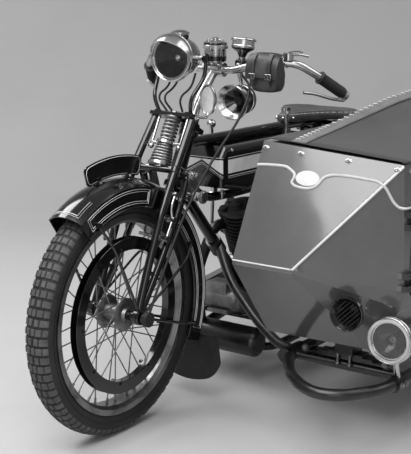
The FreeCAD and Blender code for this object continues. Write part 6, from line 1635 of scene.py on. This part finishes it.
@dataclass
class Engine:
    """Plugs, pushrods, cover screws and unions of the vee twin."""

    reach: float = 690.0
    height: float = 262.0
    lean: float = 25.0
    pushrod_y: float = -64.5
    case_half: float = 44.0
    screw_ring: float = 0.093
    base_half: Sequence[float] = (44.0, 40.0)

    def on(self, side: int, along: float, out: float, y: float) -> Vector:
        """Point by a cylinder.

        Args:
            side: 1 for the front cylinder, -1 for the rear.
            along: from the crankshaft up the cylinder.
            out: ahead of its line, square to it.
            y: to the left.

        Returns:
            The point in the frame.
        """
        turn = math.radians(self.lean) * side
        return at(self.reach + math.sin(turn) * along + math.cos(turn) * out, y,
                  self.height + math.cos(turn) * along - math.sin(turn) * out)

    def plugs(self) -> None:
        """Spark plugs with their porcelain and brass terminals."""
        form = Form()
        for side in (1, -1):
            foot = self.on(side, 292.0, 0.0, 30.0)
            way = (self.on(side, 330.0, 0.0, 44.0) - foot).normalized()
            for form.part, profile, sides in ((0, [(-8, 4), (-8, 9), (4, 9), (4, 4)], 6),
                                              (1, [(4, 5.5), (7, 6.5), (22, 4.4), (26, 4.4), (26, 1)], 24),
                                              (2, [(26, 1.5), (26, 3.6), (31, 3.6), (33, 1.5)], 16)):
                form.lathe(profile, foot, way, sides)
        piece("spark_plugs", form, [DULL_NICKEL, DIAL, BRASS], Body.OUTFIT)

    def pushrods(self) -> None:
        """Pushrod tubes up the right side and the rockers' ends."""
        form = Form()
        for side in (1, -1):
            for out in (-16.0, 16.0):
                foot = self.on(side, 104.0, out, self.pushrod_y)
                head = self.on(side, 284.0, out * 1.3, self.pushrod_y)
                form.tube([foot, head], 0.005, 12)
                for share in (0.0, 0.94):
                    form.sleeve(0, 10, 5, 8, foot + (head - foot) * share, head - foot, 6)
        piece("pushrods", form, NICKEL, Body.OUTFIT)

    def screws(self) -> None:
        """Cheese-head screws round the timing cover and crankcase, and the cylinder's base nuts."""
        form = Form()
        for side in SIDES:
            shaft = at(self.reach, side * self.case_half, self.height)
            for spot in loop_of(shaft, AHEAD * self.screw_ring, UP * self.screw_ring, 10):
                form.lathe([(0, 2), (0, 4.4), (19.4, 4.4), (20.4, 3.4), (20.4, 1)], spot, LEFT * side, 14)
        for side in (1, -1):
            way = self.on(side, 120.0, 0.0, 0.0) - self.on(side, 100.0, 0.0, 0.0)
            for fore in SIDES:
                for hand in SIDES:
                    foot = self.on(side, 103.0, fore * self.base_half[0], hand * self.base_half[1])
                    form.bolt(foot, way, 11.0, 8.0)
        piece("engine_screws", form, DULL_NICKEL, Body.OUTFIT)

    def build(self) -> None:
        """Dresses the castings and builds the small parts."""
        dress(ALLOY, "crankcase", "gearbox", "magneto")
        dress(BRIGHT_ALLOY, "timing_case")
        dress(IRON, "cylinders")
        dress(WORN_BLACK, "exhaust", "footboards", "chaincases")
        dress(BRASS, "carburettor")
        dress(NICKEL, "hand_foot_levers")
        self.plugs()
        self.pushrods()
        self.screws()


@dataclass
class Sidecar:
    """Faceted passenger body: bead, badge, turn buttons, strips, door trim, cover and cushions."""

    scuttle: float = 795.0
    bead_radius: float = 0.0048
    bead_lift: float = 0.0006
    crease: float = 380.5
    ridge_y: float = 300.5
    fold: tuple[tuple[float, float], tuple[float, float]] = ((698.0, 767.0), (472.0, 500.0))
    badge_at: tuple[float, float] = (449, 714)
    handle_at: tuple[float, float] = (712, 690)
    hinge_feet: tuple[float, float] = (469.0, 628.0)
    deck_edge: tuple[tuple[float, float], ...] = ((1162.8, 698.0), (620.0, 779.0), (120.0, 749.0))
    skins: Optional[list[BVHTree]] = None

    def hit(self, start: Vector, way: Vector, lift: float = 0.0) -> tuple[Vector, Vector]:
        """First point of the panels along a line.

        Args:
            start: where the line starts, in the frame.
            way: its direction.
            lift: how far off the panel the point stands, in metres.

        Returns:
            The point and the panel's outward normal.
        """
        if self.skins is None:
            self.skins = [tree_of("sidecar_body"), tree_of("sidecar_door")]
        best = None
        for skin in self.skins:
            spot, normal, _, reach = skin.ray_cast(start, way)
            if spot is not None and (best is None or reach < best[2]):
                best = (spot, normal, reach)
        if best is None:
            return start.copy(), -way
        normal = best[1] if best[1].dot(way) < 0 else -best[1]
        return best[0] + normal * lift, normal

    def ahead(self, y: float, z: float, lift: float = 0.0) -> tuple[Vector, Vector]:
        """Point of the nose panels straight ahead of a place, in machine millimetres."""
        return self.hit(at(1500, y, z), -AHEAD, lift)

    def beside(self, x: float, z: float, lift: float = 0.0) -> tuple[Vector, Vector]:
        """Point of the outer side level with a place, in machine millimetres."""
        return self.hit(at(x, 1000, z), -LEFT, lift)

    def bead(self) -> None:
        """Half-round bead that dips round the badge and drops along the side."""
        front = [(296, 734), (304, 735), (338, 737), (376, 737), (393, 731), (408, 722), (410, 711),
                 (407, 702), (412, 696), (424, 692), (449, 690), (470, 694), (483, 704), (490, 716),
                 (501, 724), (522, 729), (562, 730), (610, 728), (640, 725), (658, 716), (668, 697),
                 (677, 677), (687, 664), (696, 660)]
        lift = self.bead_lift
        line = smooth_path([at(0, y, z) for y, z in front], 4)
        nose = [self.ahead((p.y - DATUM.y) * 1000, p.z * 1000, lift)[0] for p in line]
        nose += [self.beside(x, 659.0 - (1150 - x) * 0.06, lift)[0] for x in (1148, 1138, 1128, 1119)]
        tail = [self.beside(x, 656.0, lift)[0] for x in range(662, 122, -20)]
        door = [self.beside(x, 656.5, lift)[0] for x in range(1109, 670, -18)]
        door.append(self.beside(671, 656.0, lift)[0])
        for name, body, runs in (("body_bead", Body.OUTFIT, (nose, tail)), ("door_bead", Body.DOOR, (door,))):
            form = Form()
            for run in runs:
                form.tube(run, self.bead_radius, 10, flat=0.8)
            piece(name, form, BEAD, body)

    def badge(self) -> None:
        """Blank oval plate with a raised edge."""
        centre, normal = self.ahead(*self.badge_at)
        side = (LEFT - normal * normal.dot(LEFT)).normalized()
        up = normal.cross(side).normalized()
        if up.z < 0:
            up = -up
        domed = ((0.0, 1.0), (2.6, 1.0), (3.6, 0.96), (3.6, 0.92), (2.9, 0.9), (3.8, 0.5), (4.2, 0.04))
        rows = [loop_of(centre + normal * (out / 1000.0), side * (0.034 * size), up * (0.0205 * size), 64)
                for out, size in domed]
        form = Form().grid(rows, around=True, caps=True)
        piece("badge_oval", form, BEAD, Body.OUTFIT)

    def buttons(self) -> None:
        """Turn buttons that hold the cover along the scuttle and the side."""
        form = Form()
        spots = [self.ahead(y, z) for y, z in ((306, 778), (411, 772), (548, 766), (684, 757))]
        spots += [self.beside(x, 752.0) for x in (1130, 640, 480, 320, 170)]
        for spot, normal in spots:
            side = normal.cross(UP).normalized()
            up = normal.cross(side).normalized()
            rows = [loop_of(spot + normal * (out / 1000.0), side * (0.0095 * size), up * (0.006 * size), 20)
                    for out, size in ((-0.4, 1.0), (1.0, 1.0), (1.6, 0.85), (1.6, 0.4))]
            form.grid(rows, around=True, caps=True)
            form.lathe([(1.0, 2.6), (6.0, 2.2), (6.5, 1.2)], spot, normal, 12)
            form.lathe([(-5.4, 0.8), (-5.0, 2.4), (0.0, 3.0), (5.0, 2.4), (5.4, 0.8)], spot + normal * 0.0082,
                       (side + up * 0.8).normalized(), 12)
        piece("turn_buttons", form, NICKEL, Body.OUTFIT)

    def strips(self) -> None:
        """Pale strips over the folds of the nose, painted highlights where the folds catch the light, and
        rows of panel pins.
        """
        form = Form()
        (y0, z0), (y1, z1) = self.fold
        corner = self.ahead(y0 - 0.5, z0 - 1.0)[0]
        nose = at(1308, 473, 498)
        # Pale tubes along the nose's folds: painted highlights of the light that the folds catch.
        form.tube([corner.lerp(nose, share) for share in (0.0, 0.25, 0.5, 0.75, 1.0)], 0.0034, 10)
        form.tube([at(1308.4, y, 499) for y in (296, 340, 400, 440, 470)], 0.0022, 8)
        piece("nose_fold_painted_highlights", form, BEAD, Body.OUTFIT)
        pins = Form()
        places = [(y0 + (y1 - y0) * index / 22.0 + inset * 0.9, z0 + (z1 - z0) * index / 22.0 + inset * 0.5)
                  for index in range(1, 22) for inset in (11.0, -11.0)]
        places += [(y, 482) for y in range(312, 470, 22)]
        for y, z in places:
            pins.lathe([(-0.4, 2.4), (0.5, 2.0), (0.9, 0.6)], *self.ahead(y, z), 10)
        piece("panel_pins", pins, COACH, Body.OUTFIT)

    def door(self) -> None:
        """Door handle with its rose and the rose's screws."""
        form = Form()
        spot, normal = self.beside(*self.handle_at)
        form.lathe([(-0.5, 20), (2.4, 20), (3.6, 17), (3.6, 8)], spot, normal, 36)
        form.lathe([(3.4, 6.5), (24, 5.5), (26, 4)], spot, normal, 18)
        grip = [spot + normal * 0.026 + Vector((x, 0, z)) / 1000.0
                for x, z in ((-6, 0), (14, 0), (48, -2), (78, -8), (92, -16))]
        form.tube(smooth_path(grip, 5), 0.0058, 12, flat=0.75)
        for turn in turns(4):
            out = Vector((math.cos(turn + 0.8), 0, math.sin(turn + 0.8))) * 0.0145
            form.lathe([(2.4, 2.6), (3.9, 2.2), (4.2, 1.0)], spot + out, normal, 10)
        piece("door_handle", form, NICKEL, Body.DOOR)

    def hinges(self) -> None:
        """Black hinge leaves with screws and sleeves, over the knuckles at the door's front edge."""
        hinge_x, hinge_y = DOOR_HINGE
        leaves = (("body", Body.OUTFIT, 4.0, 34.5, 716.6, ((-24.15, -8.85), (8.85, 24.15))),
                  ("door", Body.DOOR, -4.0, -40.5, 718.5, ((-8.6, 8.6),)))
        for foot in self.hinge_feet:
            for name, body, near, far, face, spans in leaves:
                form = Form()
                for low, high in spans:
                    form.sleeve(low, high, 6.8, 7.5, at(hinge_x, hinge_y, foot), UP, 20)
                    plan = ((near, 700.0), (far, 700.0), (far, face), (near, face))
                    form.grid([[at(hinge_x + x, y, foot + z) for x, y in plan] for z in (low, high)],
                              around=True, caps=True)
                    for share in (0.4, 0.82):
                        head = at(hinge_x + near + (far - near) * share, face, foot + (low + high) / 2.0)
                        form.lathe([(0, 2.8), (0.9, 2.4), (1.3, 0.8)], head, LEFT, 10)
                piece("hinge_%s_%d" % (name, foot), form, BLACK, body)

    def cover(self) -> None:
        """Proofed canvas over the cockpit, tight along its laced ridge and slack between."""
        skin = tree_of("sidecar_cover")
        stations = (1160.0, 1000.0, 860.0, 740.0, 620.0, 500.0, 400.0, 300.0, 250.0, 200.0, 160.0, 131.0)
        rows = [self.cover_row(skin, x) for x in stations]
        form = Form().grid(rows)
        thing = piece("cockpit_cover", form, CANVAS, Body.OUTFIT, ["sidecar_cover"], sharp=60.0)
        modify(thing, "soft", "SUBSURF", levels=2, render_levels=2)
        modify(thing, "duck", "SOLIDIFY", thickness=0.0016, offset=-1.0)
        self.ridge(skin, rows)

    def cover_row(self, skin: BVHTree, x: float) -> list[Vector]:
        """One row of the cover, from the inner edge over the crease to the hem outside.

        Args:
            skin: the CAD cover's faces, which the canvas lies on.
            x: how far along the body the row is, in machine millimetres.

        Returns:
            The row's points.
        """
        edge = self.outer_edge(x)
        flank = (edge - 0.5 - self.crease) / 16.0
        places = [self.ridge_y + (self.crease - self.ridge_y) * index / 4.0 for index in range(4)]
        places += [self.crease + flank * index for index in range(17)]
        along = math.sin(math.pi * min(max((1160 - x) / 1030.0, 0.0), 1.0))
        row = []
        for y in places:
            share = max(y - self.crease, 0.0) / (edge - self.crease)
            spot = skin.ray_cast(at(x, y, 1100.0), -UP)[0] or at(x, y, self.scuttle + 9)
            slack = 4.0 * math.sin(math.pi * share) * along
            fold = 1.6 * math.sin(share * 13.0 + x / 70.0) * share * (1.0 - share)
            place = at(x, y, 0)
            row.append(Vector((place.x, place.y, spot.z - 0.0012 - (slack + fold) / 1000.0)))
        return row + [row[-1] + Vector((0, 0.0028, -0.004)), row[-1] + Vector((0, 0.0032, -0.0085))]

    def outer_edge(self, x: float) -> float:
        """Finds the deck's outer edge.

        Args:
            x: how far along the body, in machine millimetres.

        Returns:
            How far to the left the edge is there, in the same unit.
        """
        for (x0, y0), (x1, y1) in zip(self.deck_edge, self.deck_edge[1:]):
            if x >= x1:
                return y0 + (y1 - y0) * (x - x0) / (x1 - x0) - 5.0
        return self.deck_edge[-1][1] - 5.0

    def ridge(self, skin: BVHTree, rows: Sequence[Sequence[Vector]]) -> None:
        """Hem band, drawn pale as a painted highlight on the ridge, eyelets and lacing along the cover's
        ridge.

        Args:
            skin: the CAD cover's faces.
            rows: the cover's rows of points, from the scuttle back.
        """
        lane = smooth_path([row[4] + UP * 0.0012 for row in rows[:8]], 8)
        band = []
        for point in lane:
            strip = []
            for across in (-6.0, 0.0, 12.0, 24.0, 36.0):
                start = Vector((point.x, point.y + across / 1000.0, 1.1))
                base = (skin.ray_cast(start, -UP)[0] or point).z
                strip.append(Vector((point.x, start.y, max(base, point.z - 0.02) + 0.0006)))
            band.append(strip)
        # The hem band's pale colour is a painted highlight along the ridge.
        thing = piece("cover_hem_painted_highlight", Form().grid(band), HEM_PAINTED_HIGHLIGHT, Body.OUTFIT, sharp=60.0)
        modify(thing, "fold", "SOLIDIFY", thickness=0.0022, offset=0.0)
        form = Form()
        pitch, reach = 0.0185, 0.0
        for last, point in zip(lane, lane[1:]):
            reach += (point - last).length
            if reach >= pitch:
                reach = 0.0
                foot = point + UP * 0.0008
                form.lathe([(0, 3.6), (1.6, 4.4), (3.0, 3.6), (3.6, 1.4)], foot, UP, 14)
                form.tube([foot + Vector((-0.004, 0.001, 0.002)), foot + Vector((0.0, 0.006, 0.0022)),
                           foot + Vector((0.006, 0.012, 0.0004))], 0.0011, 6)
        piece("cover_lacing", form, LACE, Body.OUTFIT)

    def cushions(self) -> None:
        """Seat and squab of buttoned leathercloth, inside the tub."""
        low, high = (Vector(corner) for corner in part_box("sidecar_seat"))
        x0, x1 = at(222, 0, 0).x, at(606, 0, 0).x
        y0, y1 = low.y + 0.014, high.y - 0.02
        seat = []
        for inset, z in ((0.012, 0.255), (0.0, 0.275), (0.0, 0.372), (0.012, 0.396), (0.05, 0.403),
                         (0.12, 0.404)):
            back, front, right, left = x0 + inset, x1 - inset, y0 + inset, y1 - inset
            seat.append([Vector((x, y, z)) for x, y in
                         ((back, right), (front, right), (front, left), (back, left))])
        squab = []
        for depth, inset in ((0.0, 0.012), (0.008, 0.002), (0.034, 0.002), (0.046, 0.016), (0.05, 0.06)):
            foot = at(150, 0, 424) + AHEAD * depth + UP * inset
            head = at(132, 0, 700) + AHEAD * depth - UP * inset
            squab.append([Vector((end.x, y, end.z)) for end, y in
                          ((foot, y0 + inset), (foot, y1 - inset), (head, y1 - inset), (head, y0 + inset))])
        for name, rows, replaces in (("seat_cushion", seat, ["sidecar_seat"]), ("seat_squab", squab, [])):
            form = Form().grid(rows, around=True, caps=True)
            Pad(name, form, TRIM, Body.OUTFIT, "saddle_leather", replaces, 7.0, 8.0, 0.7).build()

    def build(self) -> None:
        """Builds the sidecar's trim."""
        dress(COACH, "sidecar_body", "sidecar_door")
        self.bead()
        self.badge()
        self.buttons()
        self.strips()
        self.door()
        self.hinges()
        self.cover()
        self.cushions()


@dataclass
class Chassis:
    """Pinch bolts and spring bolts, and the lamp and horn on the sidecar's frame."""

    height: float = 196.0
    inner: float = 345.0
    outer: float = 690.0
    spring_x: float = 1066.0
    horn_at: Spot = (1246, 600, 392)
    lamp_at: Spot = (1141, 700, 330)

    def clamps(self) -> None:
        """Pinch bolts on the lugs, U-bolts over the leaf spring and bolts through its eyes."""
        form = Form()
        lugs = ((1090, self.inner, -1.0), (1128, self.outer, 1.0), (190, self.inner, -1.0),
                (190, self.outer, 1.0), (-228, self.inner, -1.0), (-228, self.outer, 1.0))
        for x, y, side in lugs:
            for along in (-12.0, 12.0):
                form.bolt(at(x + along, y + side * 20.5, self.height), LEFT * side, 12.0, 7.0)
        middle = (self.inner + self.outer) / 2.0
        for across in (-18.0, 18.0):
            loop = [at(self.spring_x + x, middle + across, self.height + z) for x, z in
                    ((-27, 8), (-27, 34), (-20, 41), (20, 41), (27, 34), (27, 8))]
            form.tube(loop, 0.0042, 8)
            for x in (-27, 27):
                form.bolt(at(self.spring_x + x, middle + across, self.height + 12), -UP, 10.0, 7.0)
        for side in SIDES:
            form.bolt(at(1088, middle + side * 120, self.height + 28), AHEAD, 13.0, 8.0)
        piece("chassis_bolts", form, DULL_NICKEL, Body.OUTFIT)

    def trumpet(self) -> None:
        """Ribs of the low horn and its mesh."""
        mouth = at(*self.horn_at)
        way = Vector((0.94, 0.1, 0.02)).normalized()
        side = way.orthogonal().normalized()
        up = way.cross(side)
        form = Form()
        ribs = ((6, 42.6, 2.4), (-2, 43.0, 1.6), (-10, 38.6, 1.8), (-19, 33.2, 1.8), (-29, 27.4, 1.8),
                (-42, 23.4, 1.8), (-58, 18.6, 1.8), (-76, 16.0, 1.8), (-94, 14.0, 1.8))
        for along, radius, wire in ribs:
            reach = radius / 1000.0
            form.hoop(mouth + way * (along / 1000.0), side * reach, up * reach, wire / 1000.0, 48, 6)
        mesh_reach, mesh_pitch = 0.032, 0.009
        for index in range(-3, 4):
            half = math.sqrt(mesh_reach ** 2 - (index * mesh_pitch) ** 2)
            for first, second in ((side, up), (up, side)):
                wire_at = mouth + first * (index * mesh_pitch) - way * 0.006
                form.tube([wire_at - second * half, wire_at + second * half], 0.0008, 5)
        piece("low_horn_ribs", form, BLACK, Body.OUTFIT)

    def build(self) -> None:
        """Builds the chassis's small parts."""
        dress(WORN_BLACK, "sidecar_chassis", "connections", "body_springs")
        dress(BLACK, "side_horn")
        self.clamps()
        self.trumpet()
        Headlamp("side_lamp", at(*self.lamp_at), 60.0, 66.0, Body.OUTFIT).build()


@dataclass
class Rear:
    """Carrier bolts and tool-box straps, and the enamel of the frame and tail."""

    carrier_top: float = 728.2
    carrier_x: tuple[float, float] = (-250.0, 190.0)
    carrier_y: Sequence[float] = (-96.0, -40.0, 8.0, 56.0, 96.0)

    def carrier(self) -> None:
        """Bolts through the carrier's strips."""
        form = Form()
        for x in self.carrier_x:
            for y in self.carrier_y:
                form.bolt(at(x, y, self.carrier_top), UP, 9.0, 4.0)
        piece("carrier_bolts", form, DULL_NICKEL, Body.OUTFIT)

    def boxes(self) -> None:
        """Straps and buckles of the tool boxes."""
        low, high = (Vector(corner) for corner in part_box("tool_boxes"))
        form = Form()
        middle = (low + high) / 2.0
        for side, edge in ((-1.0, low.y), (1.0, high.y)):
            for share in (0.3, 0.7):
                x = low.x + (high.x - low.x) * share
                form.part = 0
                form.box(Vector((x, edge + side * 0.0012, middle.z)),
                         (0.009, 0.0012, (high.z - low.z) / 2.0 - 0.006))
                form.part = 1
                loop = [Vector((x + a, edge + side * 0.0036, middle.z + b)) for a, b in
                        ((-0.012, -0.008), (0.012, -0.008), (0.012, 0.008), (-0.012, 0.008))]
                form.tube(loop, 0.0013, 6, closed=True)
        piece("tool_box_straps", form, [LEATHER, NICKEL], Body.OUTFIT)

    def build(self) -> None:
        """Dresses the tail and builds its fittings."""
        dress(BLACK, "frame_front", "frame_rails", "frame_rear", "carrier", "tool_boxes", "rear_stand")
        self.carrier()
        self.boxes()


def main() -> None:
    """Builds the outfit in order and reports each part."""
    logging.basicConfig(level=logging.INFO, format="%(message)s")
    Studio().build()
    log.info("studio ready")
    stages = (
        ("wheels laced", [Wheel("front", Body.FRONT_WHEEL, FRONT_AXLE),
                          Wheel("rear", Body.REAR_WHEEL, REAR_AXLE),
                          Wheel("side", Body.SIDE_WHEEL, SIDE_AXLE)]),
        ("guards fitted", [Guard("front", Body.STEERING, FRONT_AXLE, 54.0, 205.0, drop=54.0),
                           Guard("rear", Body.OUTFIT, REAR_AXLE, 17.0, 171.0),
                           Guard("side", Body.OUTFIT, SIDE_AXLE, 6.0, 174.0), Plate()]),
        ("steering fitted", [Fork(), Headlamp("headlamp", clip_at(116, 0, 45), 65.0, 104.0, Body.STEERING),
                             Cockpit()]),
        ("machine fitted", [Tank(), Saddle(), Engine(), Rear()]),
        ("sidecar trimmed", [Sidecar(), Chassis()]),
    )
    for report, parts in stages:
        for part in parts:
            part.build()
        log.info(report)


if __name__ == "__main__":
    main()
